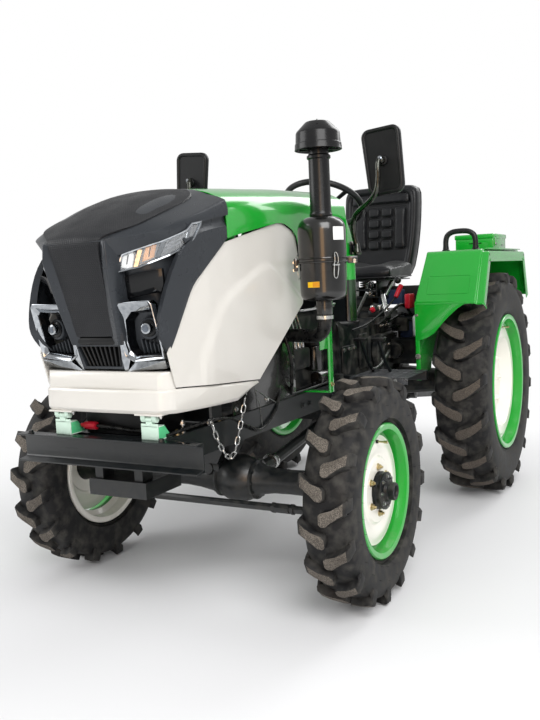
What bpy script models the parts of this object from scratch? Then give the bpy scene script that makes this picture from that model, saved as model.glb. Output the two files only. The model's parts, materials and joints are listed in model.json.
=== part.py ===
"""Four-wheel-drive mini tractor: welded rail frame, tilting bonnet, driven steered front axle.

The tractor faces -Y, +X is its left side and +Z is up. The origin is on the ground, in the
middle of the whole tractor. Sizes are in metres, and each size is set once, below.
"""

import math

import bmesh
import bpy
from mathutils import Matrix, Vector

# --- fits -------------------------------------------------------------------------------
SEAT_GAP = 0.0003
RUN_GAP = 0.006
PIN_GAP = 0.0004

# --- stance -----------------------------------------------------------------------------
WHEELBASE = 1.520
FRONT_AXLE_Y = -0.730
REAR_AXLE_Y = FRONT_AXLE_Y + WHEELBASE
FRONT_TRACK = 1.160
AXLE_FLANGE_RADIUS = 0.088
REAR_TRACK = 1.210

# --- wheels: tyre radius at the lug tips, section width, rim seat radius, lugs a side ------
FRONT_TYRE_RADIUS = 0.371
FRONT_TYRE_WIDTH = 0.165
FRONT_RIM_RADIUS = 0.2055
FRONT_RIM_WIDTH = 0.140
FRONT_LUGS = 16
FRONT_LUG_HEIGHT = 0.024
FRONT_LUG_SWEEP = 0.58
REAR_TYRE_RADIUS = 0.525
REAR_TYRE_WIDTH = 0.241
REAR_RIM_RADIUS = 0.307
REAR_RIM_WIDTH = 0.226
REAR_LUGS = 18
REAR_LUG_HEIGHT = 0.032
REAR_LUG_SWEEP = 0.74
SLOTS_PER_LUG = 3
RIM_STEPS = 24
RIM_LIP_HEIGHT = 0.0155
RIM_LIP_WIDTH = 0.014

# --- frame ------------------------------------------------------------------------------
RAIL_TOP = 0.630
RAIL_HEIGHT = 0.086
RAIL_FLANGE = 0.040
RAIL_WALL = 0.006
RAIL_OUTER_X = 0.205
RAIL_REAR_Y = FRONT_AXLE_Y + 0.640
BEAM_HALF_WIDTH = 0.334
BEAM_FRONT_Y = FRONT_AXLE_Y - 0.623
BEAM_DEPTH = 0.043

# --- bonnet -----------------------------------------------------------------------------
BONNET_HALF_WIDTH = 0.268
BONNET_SKIN = 0.004
BONNET_REAR_Y = FRONT_AXLE_Y + 0.650
BONNET_PIVOT_Y = FRONT_AXLE_Y - 0.592
BONNET_PIVOT_Z = 0.690
BONNET_JOINT_Y = FRONT_AXLE_Y - 0.285
HINGE_X = 0.163
HINGE_RADIUS = 0.009
HINGE_PIN_RADIUS = 0.004
HINGE_BARREL = 0.022
HINGE_KNUCKLE = 0.015
NOSE_Y = FRONT_AXLE_Y - 0.583
NOSE_Z = 0.830
NOSE_LEAN = 0.270
BUMPER_TOP_Z = 0.775
BUMPER_FALL = 0.033
PANEL_GAP = 0.004
COWL_HALF_WIDTH = BONNET_HALF_WIDTH - 0.006
COWL_TOP_Z = 1.402
COWL_FOOT_Z = 0.880
COWL_WALL = 0.012

# --- steering ---------------------------------------------------------------------------
KINGPIN_X = FRONT_TRACK / 2 - 0.128
DIFF_X = 0.100
YOKE_REACH = 0.026
YOKE_HALF_WIDTH = 0.030
SADDLE_FOOT_Z = FRONT_TYRE_RADIUS + 0.062
TRANSFER_Z = 0.420
KNUCKLE_RADIUS = 0.046
KNUCKLE_HALF_HEIGHT = 0.085
STEER_ARM = 0.135
STEERING_WHEEL_RADIUS = 0.190
STEERING_WHEEL_Y = FRONT_AXLE_Y + 1.020
STEERING_WHEEL_Z = 1.400
COLUMN_TILT = math.radians(30.0)

# --- driver's place ---------------------------------------------------------------------
SEAT_FRONT_Y = FRONT_AXLE_Y + 1.310
SEAT_BACK_Y = FRONT_AXLE_Y + 1.700
SEAT_Z = 1.050
SEAT_WIDTH = 0.400
FLOOR_Z = 0.640
FENDER_TOP_Z = 2 * REAR_TYRE_RADIUS + 0.107
FENDER_FOOT_Z = 2 * REAR_TYRE_RADIUS - 0.120
FENDER_ARC_RADIUS = REAR_TYRE_RADIUS - 0.110
FENDER_SKIRT_Z = FLOOR_Z - 0.050
FENDER_FRONT_Y = REAR_AXLE_Y - REAR_TYRE_RADIUS + 0.025
FENDER_REAR_Y = REAR_AXLE_Y + REAR_TYRE_RADIUS - 0.045
FENDER_FLAT = REAR_TYRE_RADIUS - 0.140
FENDER_INNER_X = REAR_TRACK / 2 - 0.185
FENDER_OUTER_X = REAR_TRACK / 2 + 0.117
FENDER_SKIN = 0.004
TOOLBOX_HEIGHT = 0.078
FOOTBOARD_OUTER_X = REAR_TRACK / 2 - REAR_TYRE_WIDTH / 2 - 0.0105
CLEANER_RING_RADIUS = 0.092
BATTERY_Y = FRONT_AXLE_Y - 0.535

# --- rear hitch -------------------------------------------------------------------------
HOUSING_REAR_Y = REAR_AXLE_Y + 0.190
LIFT_Y = HOUSING_REAR_Y + 0.030
LIFT_Z = 0.860
LIFT_ARM = 0.180
LIFT_X = 0.175
LIFT_SHAFT_RADIUS = 0.020
LINK_Y = REAR_AXLE_Y + 0.150
LINK_Z = 0.430
LINK_X = 0.185
LINK_PIN_RADIUS = 0.012
LINK_END = (0.240, REAR_AXLE_Y + 0.600, 0.372)


# --- scene, materials and small makers ----------------------------------------------------
def clear_scene():
    for item in list(bpy.data.objects):
        bpy.data.objects.remove(item, do_unlink=True)
    for data in list(bpy.data.meshes):
        bpy.data.meshes.remove(data)


def material(name, colour, roughness=0.5, metallic=0.0):
    made = bpy.data.materials.new(name)
    made.use_nodes = True
    shader = made.node_tree.nodes["Principled BSDF"]
    shader.inputs["Base Color"].default_value = (*colour, 1.0)
    shader.inputs["Roughness"].default_value = roughness
    shader.inputs["Metallic"].default_value = metallic
    return made


def add_box(bm, low, high, bevel=0.0):
    """A box between two corners, with rounded edges where bevel is given."""
    low, high = Vector(low), Vector(high)
    size = high - low
    place = Matrix.Translation((low + high) / 2) @ Matrix.Diagonal((*size, 1.0))
    made = bmesh.ops.create_cube(bm, size=1.0, matrix=place)
    if bevel > 0.0:
        edges = {edge for vert in made["verts"] for edge in vert.link_edges}
        bmesh.ops.bevel(bm, geom=list(edges), offset=bevel, segments=1, profile=0.5,
                        affect="EDGES", material=-1)


def add_rod(bm, start, end, radius, sides=12, end_radius=None):
    """A cylinder, or a cone where end_radius differs, between two points."""
    start, end = Vector(start), Vector(end)
    along = end - start
    turn = along.to_track_quat("Z", "Y").to_matrix().to_4x4()
    place = Matrix.Translation((start + end) / 2) @ turn
    bmesh.ops.create_cone(bm, cap_ends=True, segments=sides, radius1=radius,
                          radius2=radius if end_radius is None else end_radius,
                          depth=along.length, matrix=place)


def add_prism(bm, outline, axis, low, high):
    """A flat outline of (u, v) pairs, extruded along an axis from low to high."""
    def place(u, v, w):
        return {"X": (w, u, v), "Y": (u, w, v), "Z": (u, v, w)}[axis]
    verts = [bm.verts.new(place(u, v, low)) for u, v in outline]
    face = bm.faces.new(verts)
    grown = bmesh.ops.extrude_face_region(bm, geom=[face])
    moved = [item for item in grown["geom"] if isinstance(item, bmesh.types.BMVert)]
    shift = Vector(place(0.0, 0.0, high)) - Vector(place(0.0, 0.0, low))
    bmesh.ops.translate(bm, verts=moved, vec=shift)
    bmesh.ops.recalc_face_normals(bm, faces=list({f for v in verts + moved for f in v.link_faces}))


def add_turned(bm, profile, steps, centre, axis="X"):
    """A closed outline of (along, radius) pairs, turned right round an axis through centre."""
    centre = Vector(centre)
    aim = {"X": Vector((1, 0, 0)), "Y": Vector((0, 1, 0)), "Z": Vector((0, 0, 1))}[axis]
    side = {"X": Vector((0, 0, 1)), "Y": Vector((1, 0, 0)), "Z": Vector((1, 0, 0))}[axis]
    verts = [bm.verts.new(centre + aim * along + side * radius) for along, radius in profile]
    edges = [bm.edges.new((verts[i - 1], verts[i])) for i in range(len(verts))]
    on_axis = profile[0][1] == 0.0 and profile[-1][1] == 0.0
    if on_axis:
        bm.edges.remove(edges.pop(0))
    bmesh.ops.spin(bm, geom=verts + edges, angle=math.tau, steps=steps, axis=aim, cent=centre,
                   use_merge=True)
    bmesh.ops.remove_doubles(bm, verts=bm.verts, dist=1e-5)
    bmesh.ops.recalc_face_normals(bm, faces=bm.faces)


def add_shell(bm, rows, thickness, mirrored=True):
    """A skin through rows of (x, y, z), mirrored over the middle and thickened inwards."""
    full = []
    for row in rows:
        points = [Vector(point) for point in row]
        left = [Vector((-p.x, p.y, p.z)) for p in reversed(points) if p.x > 1e-6] if mirrored else []
        full.append([bm.verts.new(point) for point in left + points])
    faces = []
    for lower, upper in zip(full, full[1:]):
        for i in range(len(lower) - 1):
            faces.append(bm.faces.new((lower[i], lower[i + 1], upper[i + 1], upper[i])))
    bmesh.ops.recalc_face_normals(bm, faces=faces)
    return bmesh.ops.solidify(bm, geom=faces, thickness=thickness)


def mirror_mesh(bm):
    """Turns a left piece into the right one."""
    bmesh.ops.scale(bm, vec=(-1.0, 1.0, 1.0), verts=bm.verts)
    bmesh.ops.reverse_faces(bm, faces=bm.faces)


def finish(name, bm, look, parent=None, smooth=35.0):
    """Writes a bmesh to an object of the tractor's collection, with its origin at its parent's."""
    mesh = bpy.data.meshes.new(name)
    if parent is not None:
        bmesh.ops.translate(bm, verts=bm.verts, vec=-parent.location)
    bm.to_mesh(mesh)
    bm.free()
    made = bpy.data.objects.new(name, mesh)
    TRACTOR.objects.link(made)
    mesh.materials.append(look)
    mesh.shade_smooth()
    mesh.set_sharp_from_angle(angle=math.radians(smooth))
    if parent is not None:
        made.parent = parent
    return made


def fuse(solids, cuts=()):
    """One closed bmesh from overlapping solids, less the cuts. Each solid is its own bmesh."""
    scratch = bpy.data.collections.new("scratch")
    bpy.context.scene.collection.children.link(scratch)
    groups = {"base": solids[:1], "UNION": solids[1:], "DIFFERENCE": cuts}
    base = None
    made = []
    for operation, members in groups.items():
        if not members:
            continue
        group = bpy.data.collections.new(operation)
        scratch.children.link(group)
        made.append(group)
        for bm in members:
            mesh = bpy.data.meshes.new(operation)
            bm.to_mesh(mesh)
            bm.free()
            helper = bpy.data.objects.new(operation, mesh)
            group.objects.link(helper)
            base = base or helper
        if operation != "base":
            step = base.modifiers.new(operation, "BOOLEAN")
            step.operation = operation
            step.operand_type = "COLLECTION"
            step.solver = "EXACT"
            step.collection = group
    bpy.context.view_layer.update()
    graph = bpy.context.evaluated_depsgraph_get()
    result = bmesh.new()
    result.from_mesh(bpy.data.meshes.new_from_object(base.evaluated_get(graph)))
    for item in list(scratch.all_objects):
        bpy.data.objects.remove(item, do_unlink=True)
    for group in made + [scratch]:
        bpy.data.collections.remove(group)
    bmesh.ops.dissolve_limit(result, angle_limit=math.radians(0.2), verts=result.verts,
                             edges=result.edges)
    bmesh.ops.remove_doubles(result, verts=result.verts, dist=2e-5)
    return result


def solid(maker, *args, **named):
    """A new bmesh that holds what one maker adds."""
    bm = bmesh.new()
    maker(bm, *args, **named)
    return bm


def box(low, high, bevel=0.0):
    return solid(add_box, low, high, bevel)


def rod(start, end, radius, sides=12, end_radius=None):
    return solid(add_rod, start, end, radius, sides, end_radius)


def prism(outline, axis, low, high):
    return solid(add_prism, outline, axis, low, high)


def ball(centre, radius, squash=(1.0, 1.0, 1.0)):
    """A faceted ball, squashed along each axis."""
    bm = bmesh.new()
    bmesh.ops.create_icosphere(bm, subdivisions=2, radius=radius)
    bmesh.ops.scale(bm, vec=squash, verts=bm.verts)
    bmesh.ops.translate(bm, verts=bm.verts, vec=centre)
    return bm


def tube(points, radius, sides_level=1):
    """A bent round bar along a smooth route, as a mesh."""
    curve = bpy.data.curves.new("route", "CURVE")
    curve.dimensions = "3D"
    curve.bevel_depth = radius
    curve.bevel_resolution = sides_level
    curve.use_fill_caps = True
    spline = curve.splines.new("POLY")
    spline.points.add(len(points) - 1)
    for target, point in zip(spline.points, points):
        target.co = (*point, 1.0)
    holder = bpy.data.objects.new("route", curve)
    bpy.context.scene.collection.objects.link(holder)
    bpy.context.view_layer.update()
    graph = bpy.context.evaluated_depsgraph_get()
    bm = bmesh.new()
    bm.from_mesh(bpy.data.meshes.new_from_object(holder.evaluated_get(graph)))
    bpy.data.objects.remove(holder, do_unlink=True)
    bmesh.ops.remove_doubles(bm, verts=bm.verts, dist=1e-5)
    bmesh.ops.recalc_face_normals(bm, faces=bm.faces)
    return bm


def smooth_route(points, per_leg=4):
    """Points along a smooth curve through the route's own points."""
    ends = [points[0]] + list(points) + [points[-1]]
    knots = [Vector(point) for point in ends]
    route = []
    for i in range(1, len(knots) - 2):
        a, b, c, d = knots[i - 1:i + 3]
        for k in range(per_leg):
            t = k / per_leg
            route.append(0.5 * (2 * b + (c - a) * t + (2 * a - 5 * b + 4 * c - d) * t ** 2
                                + (3 * b - a - 3 * c + d) * t ** 3))
    route.append(knots[-2])
    return route


def pivot(name, place):
    holder = bpy.data.objects.new(name, None)
    holder.location = place
    holder.empty_display_size = 0.1
    TRACTOR.objects.link(holder)
    return holder


# --- wheels -----------------------------------------------------------------------------
def tyre_mesh(centre, side, radius, width, seat, bead, lugs, lug_height, sweep):
    """A lugged field tyre: a turned carcass whose crown faces sweep back from the middle, with
    one face in three on each side raised into a lug that runs over the shoulder."""
    half = width / 2
    crown = radius - lug_height
    ridge = 0.012
    shoulder = half * 0.90
    # columns: place across the tyre, radius
    profile = [(bead, seat), (bead, seat + RIM_LIP_HEIGHT + 0.0025), (half, seat + 0.50
                                                                      * (crown - seat)),
               (shoulder, crown - 0.012), (ridge, crown)]
    outline = profile + [(-u, r) for u, r in reversed(profile)]
    steps = SLOTS_PER_LUG * lugs
    pitch = math.tau / steps
    bm = bmesh.new()
    add_turned(bm, outline, steps, (0, 0, 0), "X")

    def twist(x):
        """How far a point is turned round the axle for its place across the tyre."""
        return -sweep / crown * min(abs(x), half) + (0.5 * pitch if x < 0.0 else 0.0)
    crown_faces = {1: [], -1: []}
    for face in bm.faces:
        spot = face.calc_center_median()
        if ridge < abs(spot.x) < shoulder and spot.yz.length > crown - 0.012:
            slot = int((math.atan2(spot.y, spot.z) % math.tau) / pitch)
            if slot % SLOTS_PER_LUG == (0 if spot.x > 0.0 else 1):
                crown_faces[1 if spot.x > 0.0 else -1].append(face)
    for faces in crown_faces.values():
        for face in faces:
            middle = face.calc_center_median()
            raised = bmesh.ops.extrude_discrete_faces(bm, faces=[face])["faces"][0]
            for vert in raised.verts:
                inner = abs(vert.co.x) < half * 0.5
                reach = radius if inner else radius - 0.006
                across = ridge + 0.010 if inner else half * 0.985
                round_axle = Vector((0.0, vert.co.y, vert.co.z)).normalized()
                towards = Vector((0.0, middle.y, middle.z)).normalized()
                spot = round_axle.lerp(towards, 0.16).normalized() * reach
                vert.co = Vector((math.copysign(across, vert.co.x), spot.y, spot.z))
    for vert in bm.verts:
        vert.co = Matrix.Rotation(twist(vert.co.x), 3, "X") @ vert.co
    bmesh.ops.scale(bm, vec=(side, 1.0, 1.0), verts=bm.verts)
    if side < 0:
        bmesh.ops.reverse_faces(bm, faces=bm.faces)
    bmesh.ops.translate(bm, verts=bm.verts, vec=centre)
    return bm


def rim_mesh(centre, side, seat, width, offset, disc_at, hub, bolt_ring):
    """A pressed wheel: drop-centre rim with turned flanges, a dished disc and its hub."""
    half = width / 2
    lip = seat + RIM_LIP_HEIGHT
    wall = 0.006
    well = seat - 0.022
    hub_radius, hub_out, hub_in = hub
    face = disc_at + offset
    # the outline runs out along the hub and disc, round the rim's section and back to the hub
    outline = [
        (hub_out, 0.0), (hub_out, hub_radius * 0.5), (hub_out - 0.030, hub_radius),
        (face + 0.004, hub_radius), (disc_at + 0.008, well - wall), (half - 0.036, well - wall),
        (half, seat - wall), (half, lip), (half - RIM_LIP_WIDTH, lip),
        (half - RIM_LIP_WIDTH, seat), (half - 0.040, well), (-half + 0.050, well),
        (-half + RIM_LIP_WIDTH, seat), (-half + RIM_LIP_WIDTH, lip), (-half, lip),
        (-half, seat - wall), (-half + 0.046, well - wall), (disc_at - 0.004, well - wall),
        (face - 0.004, bolt_ring), (hub_in, bolt_ring), (hub_in, 0.0),
    ]
    bm = bmesh.new()
    add_turned(bm, outline, RIM_STEPS, (0, 0, 0), "X")
    if side < 0:
        mirror_mesh(bm)
    bmesh.ops.translate(bm, verts=bm.verts, vec=centre)
    return bm


def make_wheels(looks):
    # end: axle place, track, tyre radius, tyre width, seat radius, rim width, lugs, lug height
    #      and sweep, disc place and dish, hub radius, hub outer end, hub inner end, bolt ring
    table = {
        "front": (FRONT_AXLE_Y, FRONT_TRACK, FRONT_TYRE_RADIUS, FRONT_TYRE_WIDTH, FRONT_RIM_RADIUS,
                  FRONT_RIM_WIDTH, FRONT_LUGS, FRONT_LUG_HEIGHT, FRONT_LUG_SWEEP, 0.018, 0.008,
                  (0.062, 0.100, -0.066), 0.085),
        "rear": (REAR_AXLE_Y, REAR_TRACK, REAR_TYRE_RADIUS, REAR_TYRE_WIDTH, REAR_RIM_RADIUS,
                 REAR_RIM_WIDTH, REAR_LUGS, REAR_LUG_HEIGHT, REAR_LUG_SWEEP, 0.054, -0.004,
                 (0.070, 0.092, -0.100), 0.120),
    }
    for end, row in table.items():
        axle_y, track, radius, width, seat, rim_width = row[:6]
        lugs, lug_height, sweep, disc, dish, hub, ring = row[6:]
        for side, word in ((1, "left"), (-1, "right")):
            centre = Vector((side * track / 2, axle_y, radius))
            holder = pivot(f"{end}_{word}_wheel_axis", centre)
            bead = rim_width / 2 - RIM_LIP_WIDTH - SEAT_GAP
            tyre = tyre_mesh(centre, side, radius, width, seat, bead, lugs, lug_height, sweep)
            finish(f"{end}_{word}_tyre", tyre, looks["rubber"], holder)
            fit = seat * math.cos(math.pi / (SLOTS_PER_LUG * lugs)) - SEAT_GAP
            rim = rim_mesh(centre, side, fit, rim_width, dish, disc, hub, ring)
            finish(f"{end}_{word}_rim", rim, looks["green"], holder)


# --- frame ------------------------------------------------------------------------------
def channel(length_axis, low, high, open_side, wall):
    """A rolled channel along an axis, between two corners, open on one side."""
    low, high = Vector(low), Vector(high)
    inner_low, inner_high = low.copy(), high.copy()
    along = "XYZ".index(length_axis)
    across = "XYZ".index(open_side[1])
    upright = 3 - along - across
    for axis in (upright,):
        inner_low[axis] += wall
        inner_high[axis] -= wall
    inner_low[along] -= wall
    inner_high[along] += wall
    if open_side[0] == "-":
        inner_low[across] -= wall
        inner_high[across] -= wall
    else:
        inner_low[across] += wall
        inner_high[across] += wall
    return fuse([box(low, high)], [box(inner_low, inner_high)])


def make_frame(looks):
    floor = RAIL_TOP - RAIL_HEIGHT
    start = BEAM_FRONT_Y + BEAM_DEPTH + SEAT_GAP
    rails = []
    for side in (1, -1):
        inner = RAIL_OUTER_X - RAIL_FLANGE
        lows = (side * RAIL_OUTER_X, side * inner)
        rails.append(channel("Y", (min(lows), start, floor), (max(lows), RAIL_REAR_Y, RAIL_TOP),
                             "-X" if side > 0 else "+X", RAIL_WALL))
    saddle_half = 0.070
    inner = RAIL_OUTER_X - RAIL_WALL / 2
    ties = [
        box((-inner, start, floor + 0.010), (inner, start + 0.012, RAIL_TOP - 0.010)),
        box((-inner, FRONT_AXLE_Y - saddle_half, floor), (inner, FRONT_AXLE_Y + saddle_half,
                                                          floor + 0.014)),
        prism([(-0.110, floor + 0.004), (0.110, floor + 0.004), (0.045, SADDLE_FOOT_Z),
               (-0.045, SADDLE_FOOT_Z)], "Y", FRONT_AXLE_Y - saddle_half, FRONT_AXLE_Y + saddle_half),
        box((-inner, FRONT_AXLE_Y + 0.300, floor), (inner, FRONT_AXLE_Y + 0.360, floor + 0.014)),
        box((-0.108, start + 0.020, 0.440), (0.108, start + 0.200, 0.490)),
        box((0.060, start + 0.030, 0.480), (0.090, start + 0.080, floor + 0.020)),
        box((-0.090, start + 0.030, 0.480), (-0.060, start + 0.080, floor + 0.020)),
        box((-0.100, start + 0.006, floor), (0.100, start + 0.090, floor + 0.010)),
        box((-inner, BATTERY_Y - 0.010, RAIL_TOP - 0.012), (inner, BATTERY_Y + 0.180,
                                                            RAIL_TOP - 0.003)),
    ]
    finish("frame_rails", fuse(rails + ties), looks["black_steel"])
    beam = channel("X", (-BEAM_HALF_WIDTH, BEAM_FRONT_Y, floor),
                   (BEAM_HALF_WIDTH, BEAM_FRONT_Y + BEAM_DEPTH, RAIL_TOP), "-Y", RAIL_WALL)
    slots = []
    for x in (-0.285, -0.205, -0.125, 0.125, 0.205, 0.285):
        slots.append(box((x - 0.022, BEAM_FRONT_Y + 0.010, floor - 0.01),
                         (x + 0.022, BEAM_FRONT_Y + 0.024, RAIL_TOP + 0.01)))
    finish("front_beam", fuse([beam], slots), looks["black_steel"])
    for side, word in ((1, "left"), (-1, "right")):
        x = side * HINGE_X
        low_y = BEAM_FRONT_Y + 0.026
        top = BONNET_PIVOT_Z - HINGE_RADIUS - 0.009
        outline = [(low_y, RAIL_TOP + SEAT_GAP), (low_y + 0.070, RAIL_TOP + SEAT_GAP),
                   (low_y + 0.030, top), (low_y, top)]
        half = HINGE_BARREL / 2
        eye = [(BONNET_PIVOT_Y + HINGE_RADIUS * math.cos(angle),
                BONNET_PIVOT_Z + HINGE_RADIUS * math.sin(angle))
               for angle in [math.radians(30 * k - 15) for k in range(8)]]
        eye += [(BONNET_PIVOT_Y - 0.008, top - 0.012), (BONNET_PIVOT_Y + 0.008, top - 0.012)]
        bits = [prism(outline, "X", x - 0.030, x + 0.030), prism(eye, "X", x - half, x + half)]
        hole = rod((x - 0.05, BONNET_PIVOT_Y, BONNET_PIVOT_Z),
                   (x + 0.05, BONNET_PIVOT_Y, BONNET_PIVOT_Z), bore(HINGE_PIN_RADIUS, 12), 12)
        finish(f"bonnet_bracket_{word}", fuse(bits, [hole]), looks["mint"])


def make_power_unit(looks):
    floor = RAIL_TOP + SEAT_GAP
    block = [
        box((-0.150, FRONT_AXLE_Y - 0.090, floor), (0.150, RAIL_REAR_Y - SEAT_GAP, 0.930), 0.012),
        box((-0.110, FRONT_AXLE_Y - 0.060, 0.920), (0.110, FRONT_AXLE_Y + 0.520, 1.090), 0.012),
        box((-0.200, FRONT_AXLE_Y - 0.020, floor), (0.200, FRONT_AXLE_Y + 0.040, floor + 0.060)),
    ]
    finish("engine", fuse(block), looks["dark_iron"])
    front = FRONT_AXLE_Y - 0.330
    core = [
        box((-0.200, front, floor), (0.200, front + 0.070, 1.080), 0.006),
        box((-0.170, front - 0.010, 1.070), (0.170, front + 0.080, 1.130), 0.010),
        rod((0.0, front + 0.035, 1.120), (0.0, front + 0.035, 1.155), 0.022),
    ]
    finish("radiator", fuse(core), looks["dark_iron"])


def make_transmission(looks):
    front = RAIL_REAR_Y + SEAT_GAP
    rear = HOUSING_REAR_Y
    body = [
        prism([(front, 0.470), (front + 0.120, 0.460), (front + 0.330, 0.500), (rear, 0.400),
               (rear, 0.800), (front + 0.560, 0.860), (front + 0.480, 0.820),
               (front + 0.330, 0.820), (front + 0.120, 0.880), (front, 0.880)], "X", -0.150,
              0.150),
        box((-0.215, front, 0.530), (0.215, front + 0.040, 0.660)),
        box((0.020, RAIL_REAR_Y + 0.120 + SEAT_GAP, TRANSFER_Z - 0.035),
            (0.105, RAIL_REAR_Y + 0.240, 0.490)),
        box((-0.165, front + 0.475, REAR_TYRE_RADIUS - 0.005),
            (0.165, rear - 0.120, REAR_TYRE_RADIUS + 0.255), 0.010),
        box((-0.110, REAR_AXLE_Y - 0.200, 0.780), (0.110, rear - 0.010, 0.885), 0.012),
        rod((0.0, rear - 0.010, 0.560), (0.0, rear + 0.030, 0.560), 0.045),
        rod((0.0, rear + 0.020, 0.560), (0.0, rear + 0.105, 0.560), 0.018),
        box((-0.060, REAR_AXLE_Y - 0.080, 0.880), (0.060, REAR_AXLE_Y + 0.060, 0.905)),
    ]
    finish("transmission", fuse(body), looks["dark_iron"])
    axle_z = REAR_TYRE_RADIUS
    inner = 0.165 + SEAT_GAP
    outer = REAR_TRACK / 2 - 0.100 - SEAT_GAP
    for side, word in ((1, "left"), (-1, "right")):
        bits = [
            rod((side * inner, REAR_AXLE_Y, axle_z), (side * (inner + 0.020), REAR_AXLE_Y, axle_z),
                0.100, 16),
            rod((side * (inner + 0.010), REAR_AXLE_Y, axle_z),
                (side * (outer - 0.105), REAR_AXLE_Y, axle_z), 0.075, 16, 0.055),
            rod((side * (outer - 0.120), REAR_AXLE_Y, axle_z), (side * outer, REAR_AXLE_Y, axle_z),
                AXLE_FLANGE_RADIUS, 16),
        ]
        finish(f"rear_axle_{word}", fuse(bits), looks["dark_iron"])


def make_front_axle(looks):
    axle_z = FRONT_TYRE_RADIUS
    reach = KINGPIN_X - KNUCKLE_RADIUS - RUN_GAP
    half = KNUCKLE_HALF_HEIGHT + PIN_GAP
    arm = 0.020
    tip = KINGPIN_X + YOKE_REACH
    bits = [
        rod((-reach + 0.010, FRONT_AXLE_Y, axle_z), (reach - 0.010, FRONT_AXLE_Y, axle_z), 0.042,
            12),
        ball((DIFF_X, FRONT_AXLE_Y, axle_z), 0.085, (0.85, 1.0, 1.0)),
        box((-0.045, FRONT_AXLE_Y - 0.060, axle_z + 0.020),
            (0.045, FRONT_AXLE_Y + 0.060, SADDLE_FOOT_Z - SEAT_GAP)),
        rod((DIFF_X, FRONT_AXLE_Y + 0.060, axle_z), (DIFF_X, FRONT_AXLE_Y + 0.150, axle_z), 0.038,
            12),
    ]
    for side in (1, -1):
        # the yoke's section runs round a C that opens outward
        yoke = [(reach - 0.016, -half - arm), (tip, -half - arm), (tip, -half), (reach, -half),
                (reach, half), (tip, half), (tip, half + arm), (reach - 0.016, half + arm)]
        bits.append(prism([(side * x, axle_z + z) for x, z in yoke], "Y",
                          FRONT_AXLE_Y - YOKE_HALF_WIDTH, FRONT_AXLE_Y + YOKE_HALF_WIDTH))
    finish("front_axle", fuse(bits), looks["black_steel"])
    end = (0.060, RAIL_REAR_Y + 0.120, TRANSFER_Z)
    shaft = [
        rod((DIFF_X, FRONT_AXLE_Y + 0.150 + SEAT_GAP, axle_z),
            (DIFF_X, FRONT_AXLE_Y + 0.205, axle_z), 0.030, 10),
        rod((DIFF_X, FRONT_AXLE_Y + 0.190, axle_z), (end[0], end[1] - 0.030, end[2]), 0.022, 10),
        rod((end[0], end[1] - 0.045, end[2]), end, 0.030, 10),
    ]
    finish("front_drive_shaft", fuse(shaft), looks["black_steel"])


def make_steering(looks):
    axle_z = FRONT_TYRE_RADIUS
    for side, word in ((1, "left"), (-1, "right")):
        holder = pivot(f"{word}_kingpin", (side * KINGPIN_X, FRONT_AXLE_Y, axle_z))
        hub_in = FRONT_TRACK / 2 - 0.066 - SEAT_GAP
        low = (side * KINGPIN_X, FRONT_AXLE_Y, axle_z - KNUCKLE_HALF_HEIGHT)
        high = (side * KINGPIN_X, FRONT_AXLE_Y, axle_z + KNUCKLE_HALF_HEIGHT)
        arm_z = axle_z - 0.030
        xs = sorted((side * (KINGPIN_X - 0.018), side * (KINGPIN_X + 0.018)))
        bits = [
            rod((side * KINGPIN_X, FRONT_AXLE_Y, axle_z), (side * hub_in, FRONT_AXLE_Y, axle_z),
                0.055, 16),
            box((xs[0], FRONT_AXLE_Y - STEER_ARM - 0.018, arm_z - 0.008),
                (xs[1], FRONT_AXLE_Y - 0.030, arm_z + 0.008)),
            rod(low, high, KNUCKLE_RADIUS, 16),
        ]
        finish(f"{word}_knuckle", fuse(bits), looks["black_steel"], holder)
    rod_y = FRONT_AXLE_Y - STEER_ARM
    rod_z = axle_z - 0.030 - 0.008 - SEAT_GAP
    holder = pivot("tie_rod_joint", (KINGPIN_X, rod_y, rod_z))
    bits = [rod((-KINGPIN_X, rod_y, rod_z - 0.014), (KINGPIN_X, rod_y, rod_z - 0.014), 0.0135, 10)]
    for side in (1, -1):
        bits.append(rod((side * KINGPIN_X, rod_y, rod_z - 0.030), (side * KINGPIN_X, rod_y, rod_z),
                        0.017, 10))
        bits.append(rod((side * (KINGPIN_X - 0.152), rod_y, rod_z - 0.014),
                        (side * (KINGPIN_X - 0.092), rod_y, rod_z - 0.014), 0.0165, 10))
    finish("tie_rod", fuse(bits), looks["black_steel"], holder)

    centre = Vector((0.0, STEERING_WHEEL_Y, STEERING_WHEEL_Z))
    axis = Vector((0.0, math.sin(COLUMN_TILT), math.cos(COLUMN_TILT)))
    turn = axis.to_track_quat("Z", "Y").to_matrix().to_4x4()
    ring = bmesh.new()
    add_turned(ring, [(0.014 * math.sin(a), STEERING_WHEEL_RADIUS - 0.014 + 0.014 * math.cos(a))
                      for a in [math.tau * k / 6 for k in range(6)]], 24, (0, 0, 0), "Z")
    hub = rod((0, 0, -0.055), (0, 0, -0.015), 0.034, 12)
    spokes = [rod((0.0, 0.0, -0.035), (math.sin(a) * (STEERING_WHEEL_RADIUS - 0.012),
                                       math.cos(a) * (STEERING_WHEEL_RADIUS - 0.012), 0.0),
                  0.008, 6) for a in (0.0, math.tau / 3, -math.tau / 3)]
    wheel = fuse([ring, hub] + spokes)
    bmesh.ops.transform(wheel, matrix=Matrix.Translation(centre) @ turn, verts=wheel.verts)
    holder = pivot("steering_wheel_axis", centre)
    finish("steering_wheel", wheel, looks["black_plastic"], holder)
    top = centre - axis * (0.055 + SEAT_GAP)
    foot = centre - axis * 0.560
    column = [rod(foot, top, 0.020, 12), rod(foot, foot + axis * 0.260, 0.032, 12),
              rod((0.0, foot.y, COWL_FOOT_Z + SEAT_GAP), (0.0, foot.y, foot.z + 0.020), 0.040, 12)]
    finish("steering_column", fuse(column), looks["black_steel"])


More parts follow.
